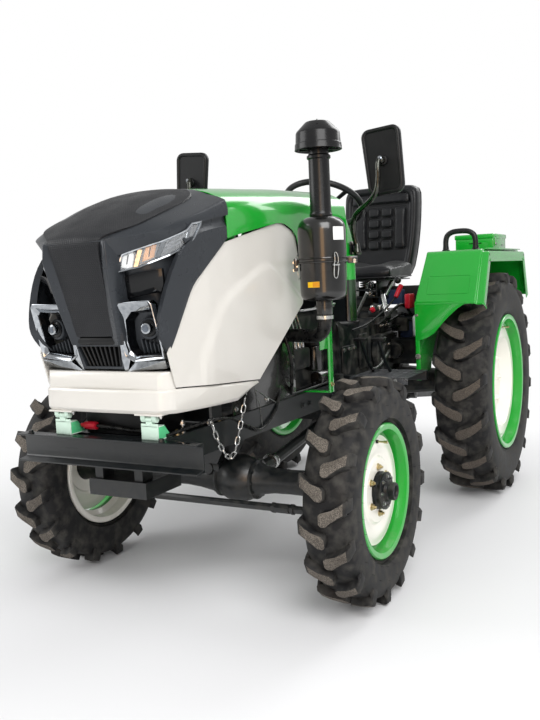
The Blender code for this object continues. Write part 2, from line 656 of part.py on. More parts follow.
# --- panels round the driver ------------------------------------------------------------
def make_cowl(looks):
    rear = BONNET_REAR_Y + 0.100
    front = BONNET_REAR_Y + RUN_GAP
    half = COWL_HALF_WIDTH
    shoulder = COWL_TOP_Z - 0.072
    low = COWL_FOOT_Z + SEAT_GAP
    outline = [(-half, low), (half, low), (half, shoulder), (half - 0.037, COWL_TOP_Z - 0.017),
               (0.0, COWL_TOP_Z), (0.037 - half, COWL_TOP_Z - 0.017), (-half, shoulder)]
    shell = prism(outline, "Y", front, rear)
    inside = half - COWL_WALL
    hollow = box((-inside, front + COWL_WALL, low - 0.020),
                 (inside, rear + 0.010, COWL_TOP_Z - 0.222))
    finish("dash_cowl", fuse([shell], [hollow]), looks["green"])


def make_air_cleaner(looks):
    x, y = 0.395, FRONT_AXLE_Y + 0.125
    low, ring, top = 0.990, 1.127, 1.275
    # along Z and radius, up the outside of the can
    can = [(low, 0.0), (low, 0.066), (low + 0.012, 0.080), (ring - 0.008, 0.083),
           (ring - 0.008, CLEANER_RING_RADIUS),
           (ring + 0.008, CLEANER_RING_RADIUS), (ring + 0.008, 0.083),
           (top - 0.045, 0.082), (top - 0.015, 0.062), (top, 0.040), (top, 0.0)]
    body = bmesh.new()
    add_turned(body, can, 20, (x, y, 0.0), "Z")
    outlet = rod((x, y, low - 0.050), (x, y, low + 0.010), 0.030, 12)
    finish("air_cleaner", fuse([body, outlet]), looks["gloss_black"])
    foot = top + SEAT_GAP
    cap_low, cap_top = 1.498, 1.592
    stack = [(foot, 0.0), (foot, 0.036), (foot + 0.012, 0.034), (cap_low + 0.004, 0.033),
             (cap_low - 0.004, 0.046), (cap_low + 0.006, 0.046), (cap_low + 0.016, 0.075),
             (cap_low, 0.079), (cap_low + 0.012, 0.075), (cap_low + 0.045, 0.073),
             (cap_top - 0.014, 0.054), (cap_top, 0.034), (cap_top, 0.0)]
    pipe = bmesh.new()
    add_turned(pipe, stack, 20, (x, y, 0.0), "Z")
    finish("intake_stack", pipe, looks["black_plastic"])
    start = low - 0.050 - SEAT_GAP
    end_y, end_z = y + 0.085, 0.862
    hose = tube(smooth_route([
        (x, y, start), (x, y, start - 0.012), (x, y, start - 0.026), (x - 0.012, y + 0.006, 0.884),
        (x - 0.050, y + 0.030, 0.864), (x - 0.110, y + 0.066, end_z), (0.235, end_y, end_z),
        (0.200, end_y, end_z), (0.175, end_y, end_z), (0.1515, end_y, end_z)], 2), 0.029, 1)
    finish("intake_hose", hose, looks["hose"])
    strip_x = x - CLEANER_RING_RADIUS - SEAT_GAP
    strip_y = y + 0.220
    strip = [
        box((strip_x - 0.005, strip_y, RAIL_TOP + SEAT_GAP), (strip_x, strip_y + 0.040, ring
                                                              + 0.012)),
        box((RAIL_OUTER_X - 0.030, strip_y + 0.001, RAIL_TOP + SEAT_GAP),
            (strip_x - 0.001, strip_y + 0.039, RAIL_TOP + 0.006)),
        box((strip_x - 0.0045, y - 0.020, ring - 0.011), (strip_x, strip_y + 0.020, ring + 0.011)),
    ]
    finish("cleaner_bracket", fuse(strip), looks["green"])


def make_floor(looks):
    for side, word in ((1, "left"), (-1, "right")):
        xs = sorted((side * 0.2155, side * FOOTBOARD_OUTER_X))
        arm = sorted((side * (0.150 + SEAT_GAP), side * 0.240))
        y0, y1 = RAIL_REAR_Y + 0.100, FENDER_FRONT_Y - SEAT_GAP
        bits = [
            box((xs[0], y0, FLOOR_Z - 0.004), (xs[1], y1, FLOOR_Z)),
            box((xs[0], y0, FLOOR_Z - 0.030), (xs[1], y0 + 0.004, FLOOR_Z - 0.001)),
            box((xs[0], y1 - 0.030, FLOOR_Z - 0.044), (xs[1], y1 - 0.001, FLOOR_Z - 0.002)),
            box((arm[0], y0 + 0.060, FLOOR_Z - 0.044), (arm[1], y0 + 0.100, FLOOR_Z - 0.002)),
        ]
        finish(f"footboard_{word}", fuse(bits), looks["grey_steel"])


def fender_mesh():
    """The left rear fender: sloped front, flat top, sloped back, inner wall and outer lip."""
    front_foot = (FENDER_FRONT_Y, FENDER_FOOT_Z)
    front_top = (REAR_AXLE_Y - FENDER_FLAT, FENDER_TOP_Z)
    rear_top = (REAR_AXLE_Y + FENDER_FLAT, FENDER_TOP_Z)
    rear_foot = (FENDER_REAR_Y, FENDER_FOOT_Z)
    line = [front_foot, front_top, rear_top, rear_foot]
    bm = bmesh.new()
    inner = [bm.verts.new((FENDER_INNER_X, y, z)) for y, z in line]
    outer = [bm.verts.new((FENDER_OUTER_X, y, z)) for y, z in line]
    lip = []
    for (y, z), (dy, dz) in zip(line, ((0.060, 0.0), (0.045, -0.060), (-0.045, -0.060),
                                       (-0.060, 0.0))):
        lip.append(bm.verts.new((FENDER_OUTER_X, y + dy, z + dz)))
    faces = []
    for i in range(3):
        faces.append(bm.faces.new((inner[i], outer[i], outer[i + 1], inner[i + 1])))
        faces.append(bm.faces.new((outer[i], lip[i], lip[i + 1], outer[i + 1])))
    arc = []
    radius = FENDER_ARC_RADIUS
    for k in range(7):
        angle = math.radians(162 - 24 * k)
        arc.append((REAR_AXLE_Y + radius * math.cos(angle), REAR_TYRE_RADIUS + radius
                    * math.sin(angle)))
    wall = [front_foot, (front_foot[0], FENDER_SKIRT_Z), (front_foot[0] + 0.085, FENDER_SKIRT_Z)]
    wall += arc + [rear_foot]
    corners = [inner[0]] + [bm.verts.new((FENDER_INNER_X, y, z)) for y, z in wall[1:-1]]
    corners += [inner[3], inner[2], inner[1]]
    faces.append(bm.faces.new(corners))
    bmesh.ops.recalc_face_normals(bm, faces=faces)
    bmesh.ops.solidify(bm, geom=faces, thickness=FENDER_SKIN)
    bmesh.ops.recalc_face_normals(bm, faces=bm.faces)
    return bm


def make_fenders(looks):
    for side, word in ((1, "left"), (-1, "right")):
        fender = fender_mesh()
        top = FENDER_TOP_Z
        toolbox = box((FENDER_INNER_X + 0.050, REAR_AXLE_Y - 0.020, top - 0.004),
                      (FENDER_OUTER_X - 0.062, REAR_AXLE_Y + 0.250, top + TOOLBOX_HEIGHT), 0.006)
        stay = box((FENDER_INNER_X - 0.012, REAR_AXLE_Y - 0.030,
                    REAR_TYRE_RADIUS + AXLE_FLANGE_RADIUS + SEAT_GAP),
                   (FENDER_INNER_X + 0.003, REAR_AXLE_Y + 0.030,
                    REAR_TYRE_RADIUS + FENDER_ARC_RADIUS + 0.005))
        bm = fuse([fender, toolbox, stay])
        if side < 0:
            mirror_mesh(bm)
        finish(f"fender_{word}", bm, looks["green"])
        x0, y0, z0 = FENDER_INNER_X + 0.080, REAR_AXLE_Y - 0.270, FENDER_TOP_Z + SEAT_GAP
        # place out from the handle's inner foot, height over the fender
        bends = [(0.0, 0.0), (0.0, 0.020), (0.0, 0.050), (0.028, 0.084), (0.100, 0.088),
                 (0.136, 0.055), (0.136, 0.020), (0.136, 0.0)]
        grip = tube(smooth_route([(x0 + out, y0, z0 + up) for out, up in bends], 2), 0.009, 1)
        if side < 0:
            mirror_mesh(grip)
        finish(f"grab_handle_{word}", grip, looks["black_plastic"])


def make_seat(looks):
    half = SEAT_WIDTH / 2
    mount = [
        box((-0.055, REAR_AXLE_Y - 0.070, 0.905 + SEAT_GAP), (0.055, REAR_AXLE_Y + 0.050, 0.960)),
        box((-0.150, SEAT_FRONT_Y + 0.050, 0.950), (0.150, SEAT_BACK_Y - 0.010, 0.970)),
        box((-0.130, SEAT_FRONT_Y + 0.080, 0.960), (-0.100, SEAT_BACK_Y - 0.040, 1.030)),
        box((0.100, SEAT_FRONT_Y + 0.080, 0.960), (0.130, SEAT_BACK_Y - 0.040, 1.030)),
        box((-0.170, SEAT_FRONT_Y + 0.040, 1.025), (0.170, SEAT_BACK_Y + 0.010, 1.040)),
        box((-0.120, SEAT_BACK_Y, 1.026), (0.120, SEAT_BACK_Y + 0.060, 1.040)),
    ]
    finish("seat_mount", fuse(mount), looks["black_steel"])
    low = 1.040 + SEAT_GAP
    finish("seat_cushion", box((-half, SEAT_FRONT_Y, low), (half, SEAT_BACK_Y - 0.004, low + 0.095),
                               0.018), looks["vinyl"])
    lean = 0.055
    back = box((-half, SEAT_BACK_Y, low), (half, SEAT_BACK_Y + 0.090, low + 0.490), 0.020)
    for vert in back.verts:
        vert.co.y += lean * (vert.co.z - low) / 0.490
    finish("seat_back", back, looks["vinyl"])


def make_mirrors(looks):
    for side, word in ((1, "left"), (-1, "right")):
        y = FRONT_AXLE_Y + 0.600
        x = 0.447
        head = box((x - 0.078, y, 1.400), (x + 0.078, y + 0.026, 1.640), 0.010)
        route = [(0.2745, BONNET_REAR_Y + 0.050, 1.180), (0.300, BONNET_REAR_Y + 0.046, 1.200),
                 (0.310, BONNET_REAR_Y + 0.020, 1.280), (0.350, y + 0.000, 1.340),
                 (0.420, y - 0.026, 1.380), (x, y - 0.020, 1.440), (x, y - 0.012, 1.520)]
        stalk = tube(smooth_route(route, 3), 0.008, 1)
        clamp = box((0.2623, BONNET_REAR_Y + 0.030, 1.150), (0.278, BONNET_REAR_Y + 0.070, 1.210))
        boss = rod((x, y - 0.024, 1.520), (x, y + 0.004, 1.520), 0.018, 10)
        bm = fuse([head, stalk, clamp, boss])
        if side < 0:
            mirror_mesh(bm)
        finish(f"mirror_{word}", bm, looks["black_plastic"])


def make_controls(looks):
    base_y = RAIL_REAR_Y + 0.400
    levers = [
        box((-0.060, base_y - 0.060, 0.820 + SEAT_GAP), (0.120, base_y + 0.070, 0.850)),
        rod((0.020, base_y, 0.845), (0.060, base_y + 0.020, 1.030), 0.008, 8),
        rod((0.060, base_y + 0.020, 1.020), (0.066, base_y + 0.023, 1.060), 0.018, 8),
        rod((0.100, base_y + 0.050, 0.845), (0.180, base_y + 0.030, 0.990), 0.007, 8),
        rod((0.177, base_y + 0.031, 0.980), (0.215, base_y + 0.020, 1.050), 0.012, 8),
    ]
    finish("gear_levers", fuse(levers), looks["black_steel"])
    finish("battery", box((-0.125, BATTERY_Y, RAIL_TOP - 0.003 + SEAT_GAP),
                          (0.125, BATTERY_Y + 0.170, 0.825), 0.006), looks["black_plastic"])


# --- hitch ------------------------------------------------------------------------------
def bore(radius, sides=16):
    """The corner radius of a faceted hole that lets a round pin of this radius turn."""
    return (radius + PIN_GAP) / math.cos(math.pi / sides)


def make_hitch(looks):
    rear = HOUSING_REAR_Y + SEAT_GAP
    plate = rear + 0.014
    frame = [
        box((-0.170, rear, 0.400), (0.170, plate, 0.500)),
        box((-0.120, rear + 0.002, 0.490), (-0.096, plate - 0.001, 0.650)),
        box((0.096, rear + 0.002, 0.490), (0.120, plate - 0.001, 0.650)),
        box((-0.120, rear + 0.001, 0.640), (0.120, plate - 0.0005, 0.790)),
        box((-0.026, rear + 0.010, 0.680), (-0.016, rear + 0.065, 0.740)),
        box((0.016, rear + 0.010, 0.680), (0.026, rear + 0.065, 0.740)),
        box((-0.045, rear + 0.004, 0.410), (0.045, rear + 0.130, 0.424)),
    ]
    holes = [rod((-0.2, LIFT_Y, LIFT_Z), (0.2, LIFT_Y, LIFT_Z), bore(LIFT_SHAFT_RADIUS), 16)]
    for side in (1, -1):
        xs = sorted((side * 0.100, side * 0.118))
        frame.append(prism([(rear + 0.003, 0.750), (plate - 0.002, 0.750), (LIFT_Y + 0.032, 0.850),
                            (LIFT_Y + 0.032, 0.880), (LIFT_Y + 0.012, 0.896),
                            (LIFT_Y - 0.012, 0.896), (rear + 0.003, 0.880)], "X", *xs))
        xs = sorted((side * (0.150 + SEAT_GAP), side * 0.165))
        frame.append(box((xs[0], LINK_Y - 0.030, LINK_Z - 0.028), (xs[1], plate - 0.003, LINK_Z
                                                                   + 0.040)))
        frame.append(rod((side * 0.160, LINK_Y, LINK_Z), (side * (LINK_X + 0.016), LINK_Y, LINK_Z),
                         LINK_PIN_RADIUS, 16))
    finish("hitch_frame", fuse(frame, holes), looks["black_steel"])

    holder = pivot("lift_shaft_axis", (0.0, LIFT_Y, LIFT_Z))
    tip = LIFT_Y + LIFT_ARM
    arms = [rod((-LIFT_X, LIFT_Y, LIFT_Z), (LIFT_X, LIFT_Y, LIFT_Z), LIFT_SHAFT_RADIUS, 16)]
    for side in (1, -1):
        xs = sorted((side * (LIFT_X - 0.025), side * (LIFT_X - 0.009)))
        arms.append(prism([(LIFT_Y - 0.030, LIFT_Z - 0.020), (LIFT_Y, LIFT_Z - 0.032),
                           (tip, LIFT_Z - 0.020), (tip + 0.018, LIFT_Z), (tip, LIFT_Z + 0.018),
                           (LIFT_Y, LIFT_Z + 0.032), (LIFT_Y - 0.030, LIFT_Z + 0.020)], "X", *xs))
        arms.append(rod((side * (LIFT_X - 0.012), tip, LIFT_Z), (side * (LIFT_X + 0.010), tip,
                                                               LIFT_Z), 0.008, 10))
    finish("lift_arms", fuse(arms), looks["black_steel"], holder)

    for side, word in ((1, "left"), (-1, "right")):
        holder = pivot(f"lift_rod_{word}_axis", (side * LIFT_X, tip, LIFT_Z))
        inner = LIFT_X - 0.009 + 0.0035
        xs = sorted((side * inner, side * (inner + 0.012)))
        drop = LIFT_Z - 0.440
        bits = [
            box((xs[0], tip - 0.018, LIFT_Z - 0.020), (xs[1], tip + 0.018, LIFT_Z + 0.018)),
            rod((side * (inner + 0.006), tip, LIFT_Z - 0.015),
                (side * (inner + 0.006), tip, drop + 0.020), 0.009, 10),
            box((xs[0], tip - 0.014, drop - 0.045), (xs[1], tip + 0.014, drop + 0.030)),
        ]
        hole = rod((side * 0.1, tip, LIFT_Z), (side * 0.3, tip, LIFT_Z), bore(0.008, 10), 10)
        finish(f"lift_rod_{word}", fuse(bits, [hole]), looks["black_steel"], holder)

        holder = pivot(f"lower_link_{word}_axis", (side * LINK_X, LINK_Y, LINK_Z))
        end = Vector((side * LINK_END[0], LINK_END[1], LINK_END[2]))
        inner, outer = side * (0.165 + 0.0005), side * (LINK_X + 0.014)
        bits = [
            rod((inner, LINK_Y, LINK_Z), (outer, LINK_Y, LINK_Z), 0.028, 12),
            rod((end.x - side * 0.020, end.y, end.z), (end.x + side * 0.020, end.y, end.z), 0.030,
                12),
        ]
        bar = box((-0.008, 0.024, -0.022), (0.008, 0.600, 0.022))
        reach = end - Vector((side * LINK_X, LINK_Y, LINK_Z))
        for vert in bar.verts:
            share = (vert.co.y - 0.0) / 0.576
            share = 0.045 if vert.co.y < 0.1 else 0.955
            vert.co = Vector((side * LINK_X, LINK_Y, LINK_Z)) + reach * share \
                + Vector((vert.co.x, 0.0, vert.co.z))
        bits.append(bar)
        hole = rod((side * 0.1, LINK_Y, LINK_Z), (side * 0.3, LINK_Y, LINK_Z),
                   bore(LINK_PIN_RADIUS), 16)
        eye = rod((end.x - 0.05, end.y, end.z), (end.x + 0.05, end.y, end.z), 0.014, 12)
        finish(f"lower_link_{word}", fuse(bits, [hole, eye]), looks["black_steel"], holder)


# --- bonnet -----------------------------------------------------------------------------
def nose_y(z, back=0.0):
    """The front of the leaning nose at a height, set back by a distance."""
    return NOSE_Y - NOSE_LEAN * (z - NOSE_Z) + back


def top_rows():
    """Half rows of the mask's top, each from the middle to the side: the visor's lip, its front
    edge, two stations and the rear edge."""
    y = FRONT_AXLE_Y
    seam = BONNET_JOINT_Y - 0.0008
    return [
        [(0.0, y - 0.667, 1.165), (0.096, y - 0.664, 1.165), (0.167, y - 0.616, 1.172),
         (0.222, y - 0.576, 1.193), (0.219, y - 0.568, 1.188)],
        [(0.0, y - 0.673, 1.204), (0.098, y - 0.670, 1.203), (0.170, y - 0.638, 1.206),
         (0.227, y - 0.592, 1.218), (0.224, y - 0.575, 1.194)],
        [(0.0, y - 0.530, 1.298), (0.105, y - 0.530, 1.294), (0.193, y - 0.530, 1.266),
         (0.250, y - 0.530, 1.242), (0.250, y - 0.524, 1.214)],
        [(0.0, y - 0.400, 1.344), (0.105, y - 0.400, 1.340), (0.202, y - 0.400, 1.308),
         (0.262, y - 0.400, 1.282), (0.264, y - 0.396, 1.253)],
        [(0.0, seam, 1.368), (0.105, seam, 1.365), (0.203, seam, 1.341), (0.264, seam, 1.318),
         (0.266, seam, 1.268)],
    ]


def dome_point(station, x, lift):
    """A point over the mask's top, at a station counted in rows behind its front edge."""
    rows = top_rows()[1:]
    row = min(int(station), len(rows) - 2)
    ends = [Vector(near).lerp(Vector(far), station - row)
            for near, far in zip(rows[row], rows[row + 1])]
    for near, far in zip(ends, ends[1:]):
        if x <= far.x:
            break
    spot = near.lerp(far, (x - near.x) / (far.x - near.x))
    return (spot.x, spot.y, spot.z + lift)


def grown(bm, gap):
    """Moves every face of a mesh outward by a gap, to cut the seat that the mesh fits in."""
    bm.normal_update()
    shifts = [(vert, vert.normal * gap * vert.calc_shell_factor()) for vert in bm.verts]
    for vert, shift in shifts:
        vert.co += shift
    return bm


def v_panel_rows(lift):
    """Half rows of the middle panel: up the nose, round its front edge and over the dome."""
    y = FRONT_AXLE_Y
    rows = []
    # height on the nose, half width there
    for z, half in ((0.930, 0.067), (1.060, 0.078)):
        rows.append([(half * share, nose_y(z, -lift), z) for share in (0.0, 0.4, 0.8, 1.0)])
    rows.append([(0.0, y - 0.684 - lift, 1.200), (0.037, y - 0.683 - lift, 1.200),
                 (0.074, y - 0.682 - lift, 1.200), (0.092, y - 0.680 - lift, 1.200)])
    # station on the dome, two places across it, half width there
    for station, near, far, half in ((0.03, 0.045, 0.090, 0.097), (0.15, 0.049, 0.099, 0.120),
                                     (0.30, 0.050, 0.100, 0.145),
                                     (0.60, 0.052, 0.102, 0.178), (1.00, 0.053, 0.105, 0.191),
                                     (2.00, 0.053, 0.105, 0.199), (2.55, 0.053, 0.105, 0.188),
                                     (2.72, 0.053, 0.105, 0.165)):
        rows.append([dome_point(station, x, lift) for x in (0.0, near, far, half)])
    return rows


def headlamp_mesh():
    """The left upper lamp: a swept box that runs round the corner of the bonnet."""
    y = FRONT_AXLE_Y
    # x, front y, low z, high z
    stations = [(0.118, y - 0.655, 1.103, 1.150), (0.205, y - 0.585, 1.128, 1.196),
                (0.264, y - 0.455, 1.196, 1.252)]
    bm = bmesh.new()
    rings = []
    for x, front, low, high in stations:
        rings.append([bm.verts.new(point) for point in (
            (x, front, low), (x, front, high), (x - 0.020, front + 0.030, high),
            (x - 0.020, front + 0.030, low))])
    for a, b in zip(rings, rings[1:]):
        for k in range(4):
            bm.faces.new((a[k], a[k - 1], b[k - 1], b[k]))
    bm.faces.new(rings[0])
    bm.faces.new(list(reversed(rings[-1])))
    bmesh.ops.triangulate(bm, faces=bm.faces)
    bmesh.ops.recalc_face_normals(bm, faces=bm.faces)
    return bm


def fog_lamp_mesh():
    """The left lower lamp: a barrel in a six-sided bezel, leaning with the nose."""
    outline = [(0.098, 0.905), (0.098, 0.985), (0.128, 1.014), (0.212, 1.026), (0.212, 0.880),
               (0.160, 0.855)]
    bm = bmesh.new()
    front = [bm.verts.new((x, nose_y(z, 0.020), z)) for x, z in outline]
    rear = [bm.verts.new((x, nose_y(z, 0.070), z)) for x, z in outline]
    bm.faces.new(front)
    bm.faces.new(list(reversed(rear)))
    for i in range(len(front)):
        bm.faces.new((front[i - 1], front[i], rear[i], rear[i - 1]))
    bmesh.ops.triangulate(bm, faces=bm.faces)
    bmesh.ops.recalc_face_normals(bm, faces=bm.faces)
    return bm


def panel_foot(place):
    """The height of the bumper's top edge at a place behind the front axle."""
    share = (place + 0.560) / 0.433
    return BUMPER_TOP_Z - BUMPER_FALL * max(0.0, share)


def make_bonnet(looks):
    y = FRONT_AXLE_Y
    holder = pivot("bonnet_hinge", (0.0, BONNET_PIVOT_Y, BONNET_PIVOT_Z))

    # nose: each height with the wall's half width and how far its outer places are set back
    rows = []
    for z, edge, near, middle, far in ((0.826, 0.239, 0.045, 0.050, 0.060),
                                       (0.930, 0.240, 0.045, 0.050, 0.060),
                                       (1.050, 0.248, 0.047, 0.070, 0.100),
                                       (1.100, 0.252, 0.070, 0.145, 0.200),
                                       (1.188, 0.252, 0.072, 0.150, 0.210)):
        rows.append([(0.0, nose_y(z, 0.006), z), (0.086, nose_y(z, 0.008), z),
                     (0.100, nose_y(z, 0.040), z), (0.170, nose_y(z, near), z),
                     (0.225, nose_y(z, middle), z), (edge, nose_y(z, far), z)])
    nose = solid(add_shell, rows, BONNET_SKIN)
    top = solid(add_shell, top_rows(), BONNET_SKIN)
    solids = [nose, top]
    for side in (1, -1):
        blade = prism([(y - 0.287, 1.206), (y - 0.287, 1.275), (y - 0.370, 1.240),
                       (y - 0.430, 1.208), (y - 0.490, 1.172), (y - 0.572, 1.080),
                       (y - 0.600, 1.025), (y - 0.622, 0.940), (y - 0.596, 0.880),
                       (y - 0.487, 1.066)], "X", 0.244, 0.262)
        cheek = prism([(y - 0.510, 1.060), (y - 0.510, 1.216), (y - 0.400, 1.262),
                       (y - 0.287, 1.290), (y - 0.287, 1.206), (y - 0.487, 1.066)], "X", 0.228,
                      0.2445)
        for bm in (blade, cheek):
            if side < 0:
                mirror_mesh(bm)
            solids.append(bm)
    cuts = []
    for side in (1, -1):
        for maker in (headlamp_mesh, fog_lamp_mesh):
            cut = grown(maker(), 2 * SEAT_GAP)
            if side < 0:
                mirror_mesh(cut)
            cuts.append(cut)
    finish("front_mask", fuse(solids, cuts), looks["graphite"], holder)

    panel = solid(add_shell, v_panel_rows(0.008), 0.0045)
    finish("v_panel", panel, looks["black_plastic"], holder)
    for side, word in ((1, "left"), (-1, "right")):
        for maker, kind in ((headlamp_mesh, "headlamp"), (fog_lamp_mesh, "fog_lamp")):
            lamp = maker()
            if side < 0:
                mirror_mesh(lamp)
            finish(f"{kind}_{word}", lamp, looks["lamp"], holder)

    # green top: place along, then the half section's five points
    rows = []
    for place, crown, low in ((BONNET_JOINT_Y - y + SEAT_GAP, 1.368, 1.200),
                              (0.000, 1.390, 1.252), (0.078, 1.394, 1.268),
                              (0.190, 1.402, 1.230), (0.240, 1.405, 1.060),
                              (0.650, 1.420, 1.060)):
        rows.append([(0.0, y + place, crown), (0.105, y + place, crown - 0.003),
                     (0.198, y + place, crown - 0.020), (0.257, y + place, crown - 0.052),
                     (BONNET_HALF_WIDTH, y + place, low)])
    finish("bonnet_top", solid(add_shell, rows, BONNET_SKIN), looks["green"], holder)

    for side, word in ((1, "left"), (-1, "right")):
        outline = [(y - 0.563, BUMPER_TOP_Z + PANEL_GAP), (y - 0.592, 0.879), (y - 0.485, 1.064),
                   (y - 0.285, 1.199), (y + 0.000, 1.251), (y + 0.078, 1.267), (y + 0.190, 1.229),
                   (y + 0.239, 1.000), (y - 0.127, panel_foot(-0.127) + PANEL_GAP)]
        x0 = BONNET_HALF_WIDTH - BONNET_SKIN - 0.002
        bm = prism(outline, "X", x0, x0 + BONNET_SKIN)
        bmesh.ops.bisect_plane(bm, geom=bm.verts[:] + bm.edges[:] + bm.faces[:],
                               plane_co=(0, y - 0.400, 0), plane_no=(0, 1, 0))
        for vert in bm.verts:
            if vert.co.y < y - 0.401:
                vert.co.x -= 0.12 * ((y - 0.400) - vert.co.y)
        if side < 0:
            mirror_mesh(bm)
        finish(f"side_panel_{word}", bm, looks["white"], holder)

    # half plan of the lower band: outer x, inner x, outer y, inner y, low z, high z
    stations = [(0.000, 0.000, -0.614, -0.606, 0.705, BUMPER_TOP_Z),
                (0.205, 0.201, -0.604, -0.596, 0.705, BUMPER_TOP_Z),
                (0.240, 0.233, -0.560, -0.556, 0.705, BUMPER_TOP_Z),
                (0.262, 0.255, -0.420, -0.419, 0.700, panel_foot(-0.420)),
                (0.265, 0.258, -0.260, -0.260, 0.695, panel_foot(-0.260)),
                (0.267, 0.260, -0.130, -0.130, 0.735, panel_foot(-0.130))]
    lower = bmesh.new()
    rings = []
    for side in (-1, 1):
        for row in (reversed(stations[1:]) if side < 0 else stations):
            out_x, in_x, out_y, in_y, low, high = row
            rings.append([lower.verts.new(point) for point in (
                (side * out_x, y + out_y, low), (side * out_x, y + out_y, high),
                (side * in_x, y + in_y, high), (side * in_x, y + in_y, low))])
    for a, b in zip(rings, rings[1:]):
        for k in range(4):
            lower.faces.new((a[k], a[k - 1], b[k - 1], b[k]))
    lower.faces.new(rings[0])
    lower.faces.new(list(reversed(rings[-1])))
    bmesh.ops.recalc_face_normals(lower, faces=lower.faces)
    upper = prism([(-0.236, y - 0.560), (-0.200, y - 0.598), (0.200, y - 0.598),
                   (0.236, y - 0.560), (0.228, y - 0.545), (-0.228, y - 0.545)], "Z",
                  BUMPER_TOP_Z - 0.010, 0.8255)
    hinges = []
    for side in (1, -1):
        x = side * HINGE_X
        for hand in (1, -1):
            near = x + hand * (HINGE_BARREL / 2 + 0.0008)
            far = near + hand * HINGE_KNUCKLE
            low, high = min(near, far), max(near, far)
            hinges.append(rod((low, BONNET_PIVOT_Y, BONNET_PIVOT_Z),
                              (high, BONNET_PIVOT_Y, BONNET_PIVOT_Z), HINGE_RADIUS, 12))
            hinges.append(box((low + 0.0005, BONNET_PIVOT_Y - HINGE_RADIUS - 0.002, BONNET_PIVOT_Z),
                              (high - 0.0005, BONNET_PIVOT_Y - HINGE_RADIUS + 0.003, 0.712)))
        hinges.append(rod((x - HINGE_BARREL, BONNET_PIVOT_Y, BONNET_PIVOT_Z),
                          (x + HINGE_BARREL, BONNET_PIVOT_Y, BONNET_PIVOT_Z), HINGE_PIN_RADIUS,
                          12))
    finish("bumper", fuse([lower, upper] + hinges), looks["white"], holder)


# --- small things -----------------------------------------------------------------------
def make_chain(looks):
    y = FRONT_AXLE_Y
    route = [Vector((0.2115, y - 0.332, 0.600)), Vector((0.222, y - 0.255, 0.505)),
             Vector((0.240, y - 0.180, 0.698))]
    finish("bonnet_chain", tube(route, 0.006, 1), looks["zinc"])


def main():
    looks = {
        "rubber": material("tyre_rubber", (0.030, 0.029, 0.028), 0.85),
        "green": material("green_enamel", (0.030, 0.420, 0.060), 0.25),
        "white": material("cream_enamel", (0.800, 0.780, 0.730), 0.25),
        "graphite": material("graphite_plastic", (0.090, 0.095, 0.105), 0.40),
        "black_plastic": material("black_plastic", (0.015, 0.016, 0.018), 0.50),
        "gloss_black": material("black_enamel", (0.015, 0.015, 0.015), 0.15),
        "black_steel": material("painted_steel", (0.020, 0.021, 0.023), 0.40, 0.2),
        "dark_iron": material("painted_iron", (0.025, 0.025, 0.027), 0.55),
        "grey_steel": material("grey_steel", (0.120, 0.120, 0.125), 0.50, 0.4),
        "vinyl": material("black_vinyl", (0.020, 0.021, 0.024), 0.45),
        "mint": material("mint_enamel", (0.450, 0.720, 0.500), 0.35),
        "lamp": material("lamp_glass", (0.600, 0.600, 0.600), 0.10),
        "hose": material("hose_rubber", (0.020, 0.020, 0.020), 0.60),
        "zinc": material("zinc_plate", (0.600, 0.600, 0.580), 0.30, 1.0),
    }
    make_frame(looks)
    make_power_unit(looks)
    make_transmission(looks)
    make_front_axle(looks)
    make_steering(looks)
    make_cowl(looks)
    make_air_cleaner(looks)
    make_floor(looks)
    make_fenders(looks)
    make_seat(looks)
    make_mirrors(looks)
    make_controls(looks)
    make_hitch(looks)
    make_bonnet(looks)
    make_chain(looks)
    make_wheels(looks)


clear_scene()
TRACTOR = bpy.data.collections.new("mini_tractor")
bpy.context.scene.collection.children.link(TRACTOR)
main()
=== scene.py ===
"""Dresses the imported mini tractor: paint, rubber, chrome, lamps, seat pads and small fittings.

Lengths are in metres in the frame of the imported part: the tractor's front is towards -Y, its
left side towards +X, and +Z is up. Each sub-assembly is a class that holds its sizes and builds
its own pieces, and each finish is a small frozen dataclass that makes one material.
"""

import json
import logging
from collections.abc import Iterable, Sequence
from dataclasses import dataclass, field
from enum import Enum
from math import ceil, copysign, cos, pi, radians, sin, tan, tau

import bmesh
import bpy
from bmesh.types import BMesh
from bpy.types import Material, Node, NodeSocket, NodeTree, Object
from mathutils import Matrix, Vector


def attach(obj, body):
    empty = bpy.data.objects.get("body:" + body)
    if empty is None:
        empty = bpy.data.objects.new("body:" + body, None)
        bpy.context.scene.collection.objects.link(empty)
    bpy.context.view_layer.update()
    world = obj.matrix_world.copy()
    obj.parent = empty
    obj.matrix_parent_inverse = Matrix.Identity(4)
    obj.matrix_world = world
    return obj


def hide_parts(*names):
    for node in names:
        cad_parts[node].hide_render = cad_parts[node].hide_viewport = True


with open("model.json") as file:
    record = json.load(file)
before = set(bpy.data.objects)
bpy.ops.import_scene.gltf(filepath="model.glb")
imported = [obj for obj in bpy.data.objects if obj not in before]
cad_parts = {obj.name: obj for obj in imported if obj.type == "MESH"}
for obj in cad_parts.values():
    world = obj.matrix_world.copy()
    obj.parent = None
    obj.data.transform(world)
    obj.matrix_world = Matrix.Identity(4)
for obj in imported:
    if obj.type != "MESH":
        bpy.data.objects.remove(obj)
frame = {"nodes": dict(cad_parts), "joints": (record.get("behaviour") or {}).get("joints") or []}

LOG = logging.getLogger("mini_tractor")
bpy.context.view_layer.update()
JOINTS = {joint["name"]: joint for joint in frame["joints"]}
FRONT_AXLE = Vector((0.0, JOINTS["front_left_spin"]["pos_m"][1], 0.0))
REAR_AXLE = Vector((0.0, JOINTS["rear_left_spin"]["pos_m"][1], 0.0))
